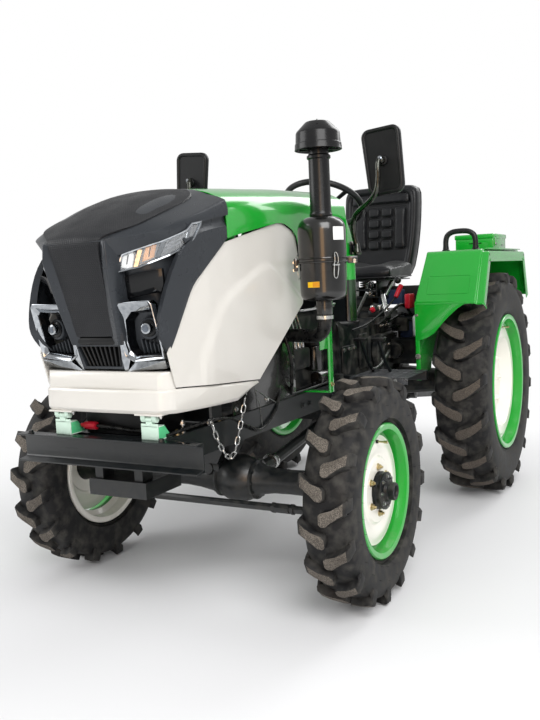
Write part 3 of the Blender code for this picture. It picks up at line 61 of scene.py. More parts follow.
# directions, for bolts and rings
LEFT = (1, 0, 0)
BACK = (0, 1, 0)
UP = (0, 0, 1)
DOWN = (0, 0, -1)
AHEAD = (0, -1, 0)
RIGHT = (-1, 0, 0)
Point = tuple[float, float, float]
Flat = tuple[float, float]
# a place, a line of places, rows of such lines, and a flat outline
Spot = Sequence[float]
Route = Sequence[Spot]
Rows = Sequence[Route]
Outline = Sequence[Flat]


# --- colour and shader nodes ---
def srgb(code: str) -> tuple[float, float, float, float]:
    """Turns a colour into the linear values that shaders take.

    Args:
        code: An sRGB hex colour, such as "#1fa02c".

    Returns:
        Linear red, green and blue, and an alpha of 1.
    """
    shares = [int(code[start:start + 2], 16) / 255.0 for start in (1, 3, 5)]
    linear = [s / 12.92 if s <= .04045 else ((s + .055) / 1.055) ** 2.4 for s in shares]
    return (linear[0], linear[1], linear[2], 1.0)


def add_node(
        tree: NodeTree, kind: str, settings: dict | None = None,
        sockets: dict | None = None) -> Node:
    """Adds one shader node with its settings and links.

    Args:
        tree: The material's or the world's node tree.
        kind: The node's Blender type name after ShaderNode.
        settings: Values for the node's own properties.
        sockets: For each input, by name or index, its value or the output that feeds it.

    Returns:
        The new node.
    """
    node = tree.nodes.new("ShaderNode" + kind)
    for name, value in (settings or {}).items():
        setattr(node, name, value)
    feed(tree, node, sockets or {})
    return node


def feed(tree: NodeTree, node: Node, sockets: dict) -> None:
    """Gives a node's inputs, by name or index, their values or the outputs that feed them.

    Args:
        tree: The node tree.
        node: The node.
        sockets: For each input, its value or the output that feeds it.
    """
    for key, value in sockets.items():
        if isinstance(value, NodeSocket):
            tree.links.new(value, node.inputs[key])
        else:
            node.inputs[key].default_value = value


def per_metre(millimetres: float) -> float:
    """The scale of a texture node whose features are this many millimetres apart."""
    return 1000.0 / millimetres


@dataclass
class Surface:
    """The nodes of one material: its tree, its Principled BSDF and the object coordinates."""

    tree: NodeTree
    shader: Node
    place: NodeSocket

    def put(self, **sockets: object) -> None:
        """Sets or links the shader's inputs. An underscore stands for a space in their names."""
        feed(self.tree, self.shader, {key.replace("_", " "): sockets[key] for key in sockets})

    def clouds(
            self, size: float, low: float, high: float, detail: float = 4.0,
            place: NodeSocket | None = None) -> NodeSocket:
        """A soft random pattern between 0 and 1.

        Args:
            size: The size of its patches in millimetres.
            low: The noise value that becomes 0.
            high: The noise value that becomes 1.
            detail: How many finer layers it has.
            place: Other coordinates than the object's.

        Returns:
            The pattern's output.
        """
        noise = add_node(
            self.tree, "TexNoise", None,
            {"Vector": place or self.place, "Scale": per_metre(size), "Detail": detail})
        return add_node(
            self.tree, "MapRange", None,
            {"Value": noise.outputs["Fac"], "From Min": low, "From Max": high}).outputs["Result"]

    def blend(self, share: NodeSocket, first: str | object, second: str | object) -> NodeSocket:
        """Mixes two colours, each an sRGB hex colour or an output, by a share.

        Args:
            share: The share of the second colour.
            first: The first colour.
            second: The second colour.

        Returns:
            The mixed colour's output.
        """
        ends = [srgb(end) if isinstance(end, str) else end for end in (first, second)]
        return add_node(
            self.tree, "Mix", {"data_type": "RGBA"},
            {"Factor": share, 6: ends[0], 7: ends[1]}).outputs[2]

    def emboss(self, height: NodeSocket, depth: float, strength: float = 1.0) -> None:
        """Raises the surface by a pattern, to a depth in millimetres.

        Args:
            height: The pattern.
            depth: How deep it is, in millimetres.
            strength: How much of it shows, up to 1.
        """
        bump = add_node(
            self.tree, "Bump", None,
            {"Height": height, "Distance": depth / 1000.0, "Strength": strength})
        self.put(Normal=bump.outputs["Normal"])

    def vary(self, share: NodeSocket, low: float, high: float) -> None:
        """Lets the roughness run from low to high with a pattern.

        Args:
            share: The pattern.
            low: The roughness where it is 0.
            high: The roughness where it is 1.
        """
        spread = add_node(
            self.tree, "MapRange", None, {"Value": share, "To Min": low, "To Max": high})
        self.put(Roughness=spread.outputs["Result"])


# --- finishes ---
@dataclass(frozen=True)
class Finish:
    """A surface finish. Each subclass draws what its own kind of material shows to the eye."""

    name: str
    colour: str
    roughness: float = .5

    def material(self) -> Material:
        """The finish's material, made once.

        Returns:
            The material.
        """
        found = bpy.data.materials.get(self.name)
        if found is not None:
            return found
        made = bpy.data.materials.new(self.name)
        made.use_nodes = True
        made.diffuse_color = srgb(self.colour)
        tree = made.node_tree
        on = Surface(
            tree, tree.nodes["Principled BSDF"], add_node(tree, "TexCoord").outputs["Object"])
        on.put(Base_Color=srgb(self.colour), Roughness=self.roughness)
        self.dress(on)
        return made

    def dress(self, on: Surface) -> None:
        """Adds the nodes of this kind of finish to a surface."""


@dataclass(frozen=True)
class Enamel(Finish):
    """Sprayed machine enamel: a glossy coat with faint orange peel, and dust that settles low."""

    roughness: float = .28
    coat: float = .5
    dust: str = "#8f897c"
    dust_top: float = 0.0
    film: float = .1

    def dress(self, on: Surface) -> None:
        """Orange peel 3 mm across, a faint film of dust, and more dust below dust_top.

        Args:
            on: The nodes of the surface.
        """
        on.put(Coat_Weight=self.coat, Coat_Roughness=.06)
        share = add_node(
            on.tree, "Math", {"operation": "MULTIPLY"},
            {0: on.clouds(120.0, .42, .8), 1: self.film}).outputs[0]
        if self.dust_top > 0.0:
            height = add_node(on.tree, "SeparateXYZ", None, {0: on.place}).outputs["Z"]
            low = add_node(
                on.tree, "MapRange", None,
                {"Value": height, "From Min": self.dust_top, "From Max": .1, "To Max": .75})
            settled = add_node(
                on.tree, "Math", {"operation": "MULTIPLY"},
                {0: low.outputs["Result"], 1: on.clouds(22.0, .35, .7, 8.0)}).outputs[0]
            share = add_node(
                on.tree, "Math", {"operation": "MAXIMUM"}, {0: share, 1: settled}).outputs[0]
        on.put(Base_Color=on.blend(share, self.colour, self.dust))
        on.vary(share, self.roughness, min(1.0, self.roughness + .5))
        # orange peel is about 1 mm across, and is drawn at 3 mm so that it shows
        peel = add_node(
            on.tree, "TexNoise", None, {"Vector": on.place, "Scale": per_metre(3.0), "Detail": 1.0})
        on.emboss(peel.outputs["Fac"], .05, .35)


class Grain(Enum):
    """The texture that a plastic mould leaves."""

    SMOOTH = 0
    FINE = 1
    STUDDED = 2


@dataclass(frozen=True)
class Moulded(Finish):
    """Injection-moulded plastic, with the grain of its mould and a slight sheen."""

    grain: Grain = Grain.FINE
    metallic: float = 0.0

    def dress(self, on: Surface) -> None:
        """A grain of 1.5 mm, or studs 5 mm apart in a diamond net, and handling marks. The studs'
        tops are coloured lighter than the ground between them, a painted highlight.

        Args:
            on: The nodes of the surface.
        """
        on.put(Metallic=self.metallic, Specular_IOR_Level=.3)
        on.vary(
            on.clouds(60.0, .35, .75, 6.0), self.roughness * .85, min(1.0, self.roughness * 1.2))
        if self.grain is Grain.FINE:
            fine = add_node(
                on.tree, "TexNoise", None,
                {"Vector": on.place, "Scale": per_metre(1.5), "Detail": 3.0})
            on.emboss(fine.outputs["Fac"], .1, .6)
        elif self.grain is Grain.STUDDED:
            # the real studs are 2 mm apart, and are drawn at 5 mm so that they show
            net = add_node(
                on.tree, "Mapping", None, {"Vector": on.place, "Rotation": (.35, 0.0, .785)})
            cells = add_node(
                on.tree, "TexVoronoi", None,
                {"Vector": net.outputs["Vector"], "Scale": per_metre(5.0), "Randomness": 0.0})
            studs = add_node(
                on.tree, "MapRange", None,
                {"Value": cells.outputs["Distance"], "From Min": .25, "From Max": .62,
                 "To Min": 1.0, "To Max": 0.0}).outputs["Result"]
            on.emboss(studs, .5, .8)
            # painted highlight: the studs' tops are coloured lighter than the ground between them
            on.put(Base_Color=on.blend(studs, self.colour, "#1d1f23"))


@dataclass(frozen=True)
class Plated(Finish):
    """Bright plating: chrome or zinc over steel or plastic, slightly clouded."""

    roughness: float = .08
    cloud: str = "#9a9c9e"
    spread: float = .15

    def dress(self, on: Surface) -> None:
        """A metal whose colour and gloss cloud over patches of 14 mm.

        Args:
            on: The nodes of the surface.
        """
        cloud = on.clouds(14.0, .4, .8)
        on.put(Metallic=1.0, Base_Color=on.blend(cloud, self.colour, self.cloud))
        on.vary(cloud, self.roughness, self.roughness + self.spread)


@dataclass(frozen=True)
class Casting(Finish):
    """Sand-cast iron under thin paint: pebbled skin, dull, with dust and oil in its hollows."""

    roughness: float = .55
    dust: str = "#4c4a45"

    def dress(self, on: Surface) -> None:
        """A skin pebbled at 4 mm under patches of dust 45 mm across.

        Args:
            on: The nodes of the surface.
        """
        patches = on.clouds(45.0, .45, .8, 8.0)
        on.put(Specular_IOR_Level=.25, Base_Color=on.blend(patches, self.colour, self.dust))
        on.vary(patches, self.roughness * .7, min(1.0, self.roughness + .3))
        pebbles = add_node(
            on.tree, "TexNoise", None, {"Vector": on.place, "Scale": per_metre(4.0), "Detail": 5.0})
        on.emboss(pebbles.outputs["Fac"], .6, .6)


@dataclass(frozen=True)
class Rubber(Finish):
    """Moulded tyre or hose rubber: near black, dull, with mould marks and a bloom of dust."""

    roughness: float = .75
    bloom: str = "#4a4844"
    patch: float = 35.0

    def dress(self, on: Surface) -> None:
        """Dust in patches over a skin with 2 mm grain.

        Args:
            on: The nodes of the surface.
        """
        patches = on.clouds(self.patch, .42, .78, 8.0)
        on.put(Specular_IOR_Level=.25, Base_Color=on.blend(patches, self.colour, self.bloom))
        on.vary(patches, self.roughness * .8, min(1.0, self.roughness + .2))
        grain = add_node(
            on.tree, "TexNoise", None, {"Vector": on.place, "Scale": per_metre(2.0), "Detail": 4.0})
        on.emboss(grain.outputs["Fac"], .25, .5)


@dataclass(frozen=True)
class WornTread(Finish):
    """The scuffed tops of tread lugs: grey-brown rubber, pitted by stones and dusted with grit."""

    roughness: float = .95
    pit: str = "#3a3530"

    def dress(self, on: Surface) -> None:
        """Pits 5 mm apart and speckle 2.5 mm across, dark on the scuffed colour.

        Args:
            on: The nodes of the surface.
        """
        pits = add_node(on.tree, "TexVoronoi", None, {"Vector": on.place, "Scale": per_metre(5.0)})
        hollow = add_node(
            on.tree, "MapRange", None,
            {"Value": pits.outputs["Distance"], "From Min": .1, "From Max": .42})
        both = add_node(
            on.tree, "Math", {"operation": "MULTIPLY"},
            {0: hollow.outputs["Result"], 1: on.clouds(2.5, .35, .62, 6.0)}).outputs[0]
        base = on.blend(on.clouds(60.0, .35, .75), self.colour, "#5d564e")
        on.put(Base_Color=on.blend(both, self.pit, base))
        on.emboss(both, 1.2, .8)


@dataclass(frozen=True)
class Vinyl(Finish):
    """Seat vinyl: embossed leather grain with a soft sheen, glossier where it is rubbed."""

    roughness: float = .42

    def dress(self, on: Surface) -> None:
        """Grain cells 2.5 mm across, drawn a little coarser than the real ones.

        Args:
            on: The nodes of the surface.
        """
        on.put(Specular_IOR_Level=.3, Sheen_Weight=.08)
        on.vary(on.clouds(70.0, .35, .75), self.roughness * .8, self.roughness * 1.25)
        cells = add_node(
            on.tree, "TexVoronoi", {"feature": "DISTANCE_TO_EDGE"},
            {"Vector": on.place, "Scale": per_metre(2.5)})
        crease = add_node(
            on.tree, "MapRange", None, {"Value": cells.outputs["Distance"], "From Max": .12})
        on.emboss(crease.outputs["Result"], .12, .6)


@dataclass(frozen=True)
class Clear(Finish):
    """A clear or tinted lamp lens: smooth moulded polycarbonate."""

    roughness: float = .05
    opacity: float = .25

    def dress(self, on: Surface) -> None:
        """Mostly see-through, with faint flow marks in its gloss."""
        on.put(Alpha=self.opacity, Coat_Weight=.6)
        on.vary(on.clouds(25.0, .4, .8), self.roughness, self.roughness + .06)


@dataclass(frozen=True)
class TroddenSteel(Finish):
    """Grey sheet steel that boots have scuffed: scratches along it, and ground-in dirt."""

    bare: str = "#8b8d8f"

    def dress(self, on: Surface) -> None:
        """Scratches 2.5 mm wide and 60 mm long over patches of bare metal and dirt.

        Args:
            on: The nodes of the surface.
        """
        long_way = add_node(
            on.tree, "Mapping", None,
            {"Vector": on.place, "Scale": (1.0, .04, 1.0), "Rotation": (0.0, 0.0, .2)})
        scratches = on.clouds(2.5, .52, .66, 3.0, long_way.outputs["Vector"])
        worn = on.clouds(40.0, .4, .65, 8.0)
        scuffs = add_node(on.tree, "Math", {"operation": "MULTIPLY"}, {0: scratches, 1: worn})
        on.put(Metallic=.3, Base_Color=on.blend(scuffs.outputs[0], self.colour, self.bare))
        on.vary(worn, .65, .4)
        on.emboss(scratches, .2, .5)


GREEN = Enamel("green_enamel_paint", "#0c9a28", roughness=.22, coat=.7, film=.03)
CREAM = Enamel("cream_enamel_paint", "#d4d0c9", film=.05)
WHEEL_GREEN = Enamel("wheel_green_enamel", "#10a02c", dust_top=.22, film=.04)
WHEEL_CREAM = Enamel("wheel_cream_enamel", "#f2eee4", dust_top=.2, film=.03)
MINT = Enamel("mint_primer_enamel", "#c6ddcd", roughness=.45, coat=.1)
# a darker, greener copy of the mint enamel: painted shade on the hinge brackets' gussets
MINT_PAINTED_SHADE = Enamel("mint_enamel_painted_shade", "#54c284", roughness=.45, coat=.1)
BLACK_ENAMEL = Enamel("black_can_enamel", "#070707", roughness=.24, coat=.45, film=.02)
CHASSIS = Enamel(
    "black_chassis_enamel", "#080e11", roughness=.34, coat=.1, dust_top=.7, film=.07,
    dust="#3a3833")
IRON = Casting("painted_cast_iron", "#0d1012")
ALLOY = Casting("sand_cast_aluminium", "#8b8d8c", roughness=.5, dust="#5f5d57")
GRAPHITE = Moulded("graphite_moulding", "#34373b", .3, Grain.FINE, .25)
STUDDED = Moulded("studded_black_moulding", "#0f1013", .44, Grain.STUDDED)
BLACK_MOULDING = Moulded("black_moulding", "#0e0f10", .45)
GLOSS_BLACK = Moulded("gloss_black_moulding", "#0b0c0e", .1, Grain.SMOOTH)
RED_MOULDING = Moulded("red_moulding", "#b3182a", .35, Grain.SMOOTH)
CHROME = Plated("chrome_plating", "#b2b6ba", .06, "#8b8f94", .05)
ZINC = Plated("zinc_plating", "#c5c6c4", .24)
YELLOW_ZINC = Plated("yellow_zinc_plating", "#cfc19a", .3, "#a08c60")
STEEL = Plated("worn_bright_steel", "#9b9c9c", .3, "#5f5d59", .3)
TYRE = Rubber("tyre_rubber_moulded", "#19191a", .72)
TREAD = WornTread("scuffed_tread_rubber", "#857d73")
REAR_TREAD = WornTread("scuffed_rear_tread_rubber", "#6a6056", pit="#37312c")
HOSE = Rubber("hose_rubber_moulded", "#0d0e0f", .32, "#33322f", 20.0)
VINYL = Vinyl("black_seat_vinyl", "#090b0f")
LENS = Clear("clear_lamp_lens", "#eef1f4", opacity=.14)
AMBER = Clear("amber_lamp_lens", "#d08a3c", roughness=.15, opacity=.85)
DEEP_LENS = Clear("projector_lens", "#5f6670", roughness=.03, opacity=.85)
FOOT_STEEL = TroddenSteel("scuffed_grey_steel", "#3b3d40")
BOTTLE = Moulded("translucent_white_bottle", "#dfe6e2", .35, Grain.SMOOTH)
SEAM_THREAD = Moulded("seam_thread", "#0c0d0e", .6)
HARNESS_BLUE = Moulded("blue_moulding", "#27324d", .45)
STACK_BLACK = Moulded("stack_black_moulding", "#151516", .25, Grain.SMOOTH)
MIRROR_BLACK = Moulded("mirror_black_moulding", "#0c0d0e", .42, Grain.FINE)
MIRROR_GLASS = Plated("silvered_mirror_glass", "#e3e6e8", .01, "#d5d8da", .01)
BLACK_CHROME = Plated("black_chrome_plating", "#4a4b46", .12, "#2b2c2a", .12)
WHEEL_GRIP = Moulded("steering_wheel_moulding", "#1a1b1c", .36, Grain.FINE)
GAUGE_FACE = Moulded("blank_gauge_face", "#1b1d20", .25, Grain.SMOOTH)
LABEL_DARK = Moulded("blank_amber_label", "#c9861c", .4, Grain.SMOOTH)
LABEL_WHITE = Moulded("blank_white_label", "#e9e9e6", .45, Grain.SMOOTH)
LABEL_YELLOW = Moulded("blank_yellow_label", "#e6b416", .4, Grain.SMOOTH)


# --- shapes ---
def softened(bm: BMesh, width: float, segments: int = 2, angle: float = 25.0) -> BMesh:
    """Rounds every edge that is sharper than an angle.

    Args:
        bm: The mesh, which is changed.
        width: How far the rounding reaches from the edge.
        segments: The faces round each edge.
        angle: The least angle of an edge, in degrees.

    Returns:
        The same mesh.
    """
    if width > 0.0:
        sharp = [edge for edge in bm.edges if edge.calc_face_angle(0.0) > radians(angle)]
        bmesh.ops.bevel(
            bm, geom=sharp, offset=width, segments=segments, profile=.5, affect="EDGES",
            material=-1, clamp_overlap=True)
    return bm


def block(low: Spot, high: Spot, bevel: float = 0.0, segments: int = 2) -> BMesh:
    """A box between two corners with rounded edges.

    Args:
        low: The lowest corner.
        high: The highest corner.
        bevel: The rounding of its edges.
        segments: The faces round each edge.

    Returns:
        The closed mesh.
    """
    low, high = Vector(low), Vector(high)
    bm = bmesh.new()
    bmesh.ops.create_cube(
        bm, size=1.0,
        matrix=Matrix.Translation((low + high) / 2) @ Matrix.Diagonal((*(high - low), 1.0)))
    return softened(bm, bevel, segments)


def rod(
        start: Spot, end: Spot, radius: float, bevel: float = 0.0, sides: int = 24,
        end_radius: float | None = None) -> BMesh:
    """A cylinder, or a cone where end_radius is given, from one point to another.

    Args:
        start: The middle of one end.
        end: The middle of the other end.
        radius: The radius at the start.
        bevel: The rounding of its rims.
        sides: The faces round it.
        end_radius: The radius at the end, where it isn't the same.

    Returns:
        The closed mesh.
    """
    start, end = Vector(start), Vector(end)
    along = end - start
    turn = along.to_track_quat("Z", "Y").to_matrix().to_4x4()
    bm = bmesh.new()
    bmesh.ops.create_cone(
        bm, cap_ends=True, segments=sides, radius1=radius,
        radius2=radius if end_radius is None else end_radius, depth=along.length,
        matrix=Matrix.Translation((start + end) / 2) @ turn)
    return softened(bm, bevel, 2, 40.0)


def ball(
        centre: Spot, radius: float, around_it: int = 20, rings: int = 12,
        tall: float = 1.0) -> BMesh:
    """A ball, or one that is stretched upwards.

    Args:
        centre: Its middle.
        radius: Its radius.
        around_it: The faces round it.
        rings: The rows of faces from pole to pole.
        tall: How many times as tall as wide it is.

    Returns:
        The closed mesh.
    """
    bm = bmesh.new()
    bmesh.ops.create_uvsphere(
        bm, u_segments=around_it, v_segments=rings, radius=radius,
        matrix=Matrix.Translation(centre) @ Matrix.Diagonal((1.0, 1.0, tall, 1.0)))
    return bm


def slab(
        outline: Outline, axis: str, low: float, high: float, bevel: float = 0.0,
        segments: int = 2) -> BMesh:
    """A flat outline, extruded along an axis.

    Args:
        outline: The outline's points: (y, z) for axis X, (x, z) for Y and (x, y) for Z.
        axis: The axis along which it is extruded.
        low: Where it starts on that axis.
        high: Where it ends.
        bevel: The rounding of its edges.
        segments: The faces round each edge.

    Returns:
        The closed mesh.
    """
    def place(u: float, v: float, w: float) -> Point:
        """A point of the outline in space."""
        return {"X": (w, u, v), "Y": (u, w, v), "Z": (u, v, w)}[axis]
    first = [place(u, v, low) for u, v in outline]
    return softened(loft([first, [place(u, v, high) for u, v in outline]]), bevel, segments)


def loft(rings: Rows) -> BMesh:
    """A closed solid through rings of points that match one to one.

    Args:
        rings: The rings, of as many points each.

    Returns:
        The closed mesh.
    """
    bm = bmesh.new()
    base = [bm.verts.new(point) for point in rings[0]]
    face = bm.faces.new(base)
    for ring in rings[1:]:
        face = bmesh.ops.extrude_discrete_faces(bm, faces=[face])["faces"][0]
        for vert, point in zip(face.verts, ring):
            vert.co = point
    bm.faces.new(list(reversed(base)))
    bmesh.ops.recalc_face_normals(bm, faces=bm.faces)
    return bm


def skin(
        rows: Rows, inside: Spot, mirrored: bool = False, creases: Iterable[int] = (),
        crease: float = .75) -> BMesh:
    """An open sheet through rows of points, to be rounded and thickened by modifiers.

    Args:
        rows: Rows of as many points each.
        inside: A point on the sheet's inner side.
        mirrored: Whether the sheet goes on over the middle, from its first column at X = 0.
        creases: The columns along which the sheet has a tight edge.
        crease: How tight, up to 1.

    Returns:
        The sheet, with its faces pointing away from inside.
    """
    tight = set(creases)
    if mirrored:
        last = len(rows[0]) - 1
        rows = [[(-x, y, z) for x, y, z in reversed(row[1:])] + list(row) for row in rows]
        tight = {last - column for column in creases} | {last + column for column in creases}
    across, along = len(rows[0]), len(rows)
    bm = bmesh.new()
    grid = bmesh.ops.create_grid(bm, x_segments=across - 1, y_segments=along - 1, size=1.0)
    for vert, point in zip(grid["verts"], [point for row in rows for point in row]):
        vert.co = point
    column_of = {vert: number % across for number, vert in enumerate(grid["verts"])}
    layer = bm.edges.layers.float.new("crease_edge")
    for edge in bm.edges:
        first, second = (column_of[vert] for vert in edge.verts)
        if first == second and first in tight:
            edge[layer] = crease
    bm.normal_update()
    outward = sum(
        (face.calc_center_median() - Vector(inside)).dot(face.normal) * face.calc_area()
        for face in bm.faces)
    if outward < 0.0:
        bmesh.ops.reverse_faces(bm, faces=bm.faces)
    return bm


def hoop(loops: Rows) -> BMesh:
    """A closed frame through loops of as many points each, the last joined to the first.

    Args:
        loops: The loops.

    Returns:
        The closed mesh.
    """
    bm = bmesh.new()
    rings = [[bm.verts.new(point) for point in loop] for loop in loops]
    for near, far in zip(rings, rings[1:] + rings[:1]):
        for number, vert in enumerate(near):
            bm.faces.new((near[number - 1], vert, far[number], far[number - 1]))
    bmesh.ops.recalc_face_normals(bm, faces=bm.faces)
    return bm


def both_ways(half: Outline) -> list[Flat]:
    """A whole outline from its left half; a point in the middle stays single."""
    return [(-x, z) for x, z in reversed(half) if x != 0.0] + list(half)


def inset(outline: Outline, distance: float) -> list[Flat]:
    """A flat outline moved inwards by a distance.

    Args:
        outline: The closed outline.
        distance: How far each side moves.

    Returns:
        The new outline.
    """
    area = sum(a[0] * b[1] - b[0] * a[1] for a, b in zip(outline, [*outline[1:], outline[0]]))
    hand = copysign(1.0, area)
    moved = []
    for number, point in enumerate(outline):
        here = Vector(point)
        before = (here - Vector(outline[number - 1])).normalized()
        after = (Vector(outline[(number + 1) % len(outline)]) - here).normalized()
        across = Vector((-before.y - after.y, before.x + after.x)).normalized()
        turn = max(.35, across.dot(Vector((-before.y, before.x))))
        moved.append(tuple(here + across * hand * distance / turn))
    return moved


def densely(outline: Route, step: float) -> list[tuple]:
    """A closed outline with more points, at most a step apart.

    Args:
        outline: The closed outline.
        step: The longest distance between two points.

    Returns:
        The new outline.
    """
    made = []
    for start, end in zip(outline, [*outline[1:], outline[0]]):
        start, end = Vector(start), Vector(end)
        parts = max(1, ceil((end - start).length / step))
        made += [tuple(start.lerp(end, part / parts)) for part in range(parts)]
    return made


def turned(
        profile: Outline, axis: str = "X", centre: Spot = (0, 0, 0), steps: int = 64,
        bevel: float = 0.0) -> BMesh:
    """A closed outline of (along, radius) points, spun right round an axis through centre.

    An outline that starts and ends on the axis is closed along it.

    Args:
        profile: The outline's points.
        axis: "X", "Y" or "Z".
        centre: A point on the axis.
        steps: The faces round it.
        bevel: The rounding of its rims.

    Returns:
        The closed mesh.
    """
    aim, side = {
        "X": ((1, 0, 0), (0, 0, 1)), "Y": ((0, 1, 0), (1, 0, 0)), "Z": ((0, 0, 1), (1, 0, 0))}[axis]
    bm = bmesh.new()
    verts = [bm.verts.new(Vector(aim) * along + Vector(side) * radius) for along, radius in profile]
    on_axis = profile[0][1] == 0.0 and profile[-1][1] == 0.0
    edges = [bm.edges.new(pair) for pair in zip(verts, verts[1:])]
    if not on_axis:
        edges.append(bm.edges.new((verts[-1], verts[0])))
    bmesh.ops.spin(
        bm, geom=verts + edges, angle=tau, steps=steps, axis=aim, cent=(0, 0, 0), use_merge=True)
    bmesh.ops.remove_doubles(bm, verts=bm.verts, dist=1e-5)
    bmesh.ops.recalc_face_normals(bm, faces=bm.faces)
    bmesh.ops.translate(bm, verts=bm.verts, vec=centre)
    return softened(bm, bevel, 2, 40.0)


def smooth(points: Route, per_leg: int = 6) -> list[Vector]:
    """Points along a smooth curve through the given ones.

    Args:
        points: The points.
        per_leg: The steps between two of them.

    Returns:
        The curve's points.
    """
    knots = [Vector(point) for point in (points[0], *points, points[-1])]
    route = []
    for a, b, c, d in zip(knots, knots[1:], knots[2:], knots[3:]):
        for step in range(per_leg):
            t = step / per_leg
            route.append(
                .5 * (2 * b + (c - a) * t + (2 * a - 5 * b + 4 * c - d) * t ** 2
                    + (3 * b - a - 3 * c + d) * t ** 3))
    return route + [knots[-1]]


def pipe(points: Route, radius: float, rounds: int = 4, closed: bool = False) -> BMesh:
    """A round bar, tube or cable along a route of points.

    Args:
        points: The route.
        radius: The bar's radius.
        rounds: The bevel resolution of its section.
        closed: Whether the route joins its own start.

    Returns:
        The closed mesh.
    """
    curve = bpy.data.curves.new("route", "CURVE")
    curve.dimensions = "3D"
    curve.bevel_depth = radius
    curve.bevel_resolution = rounds
    curve.use_fill_caps = True
    spline = curve.splines.new("POLY")
    spline.points.add(len(points) - 1)
    for target, point in zip(spline.points, points):
        target.co = (*point, 1.0)
    spline.use_cyclic_u = closed
    holder = bpy.data.objects.new("route", curve)
    bpy.context.scene.collection.objects.link(holder)
    bpy.context.view_layer.update()
    mesh = bpy.data.meshes.new_from_object(
        holder.evaluated_get(bpy.context.evaluated_depsgraph_get()))
    bm = bmesh.new()
    bm.from_mesh(mesh)
    bpy.data.objects.remove(holder, do_unlink=True)
    bpy.data.curves.remove(curve)
    bpy.data.meshes.remove(mesh)
    for face in bm.faces:
        face.material_index = 0
    bmesh.ops.remove_doubles(bm, verts=bm.verts, dist=1e-6)
    bmesh.ops.recalc_face_normals(bm, faces=bm.faces)
    return bm


def cable(points: Route, steps: int, radius: float, rings: int) -> BMesh:
    """A round line through a few points, with this many steps of a curve between them."""
    return pipe(smooth(points, steps), radius, rings)


def bolt(place: Spot, out: Spot, size: float = .012, stud: bool = False) -> BMesh:
    """A hexagon head on a washer, or a nut with its stud.

    Args:
        place: The middle of the washer's seat.
        out: The direction in which the head stands.
        size: The head's width across corners.
        stud: Whether a stud stands out of it.

    Returns:
        The closed mesh.
    """
    place, out = Vector(place), Vector(out).normalized()
    washer = rod(place - out * .001, place + out * size * .14, size * .66, sides=16)
    parts = [
        washer, rod(place + out * size * .12, place + out * size * .62, size * .5, sides=6,
            end_radius=size * .47)]
    if stud:
        parts.append(rod(place + out * size * .6, place + out * size * .95, size * .24, sides=10))
    return joined(parts)


def joined(parts: Iterable[BMesh]) -> BMesh:
    """Several meshes as one, keeping their material numbers.

    Args:
        parts: The meshes, which are used up.

    Returns:
        The new mesh.
    """
    whole = bmesh.new()
    for part in parts:
        mesh = bpy.data.meshes.new("part")
        part.to_mesh(mesh)
        part.free()
        whole.from_mesh(mesh)
        bpy.data.meshes.remove(mesh)
    return whole


def flipped(bm: BMesh) -> BMesh:
    """The same mesh mirrored over X = 0, still facing out.

    Args:
        bm: The mesh, which is changed.

    Returns:
        The same mesh.
    """
    bmesh.ops.scale(bm, vec=(-1.0, 1.0, 1.0), verts=bm.verts)
    bmesh.ops.reverse_faces(bm, faces=bm.faces)
    return bm


def moved(part: BMesh, matrix: Matrix) -> BMesh:
    """The same mesh after a turn or a shift."""
    bmesh.ops.transform(part, matrix=matrix, verts=part.verts)
    return part


def around(angle: float, axis: str, centre: Spot = (0, 0, 0)) -> Matrix:
    """A turn in degrees round an axis through a point."""
    there = Matrix.Translation(centre)
    return there @ Matrix.Rotation(radians(angle), 4, axis) @ there.inverted()


def ring_of(part: BMesh, count: int, axis: Spot = LEFT, centre: Spot = (0, 0, 0)) -> BMesh:
    """Copies of a mesh, evenly spaced round an axis.

    Args:
        part: The mesh, which is changed.
        count: The number of copies, with the first.
        axis: The direction of the axis.
        centre: A point on the axis.

    Returns:
        The same mesh.
    """
    bmesh.ops.spin(
        part, geom=part.verts[:] + part.edges[:] + part.faces[:], cent=centre, axis=axis,
        angle=tau * (count - 1) / count, steps=count - 1, use_duplicate=True)
    return part


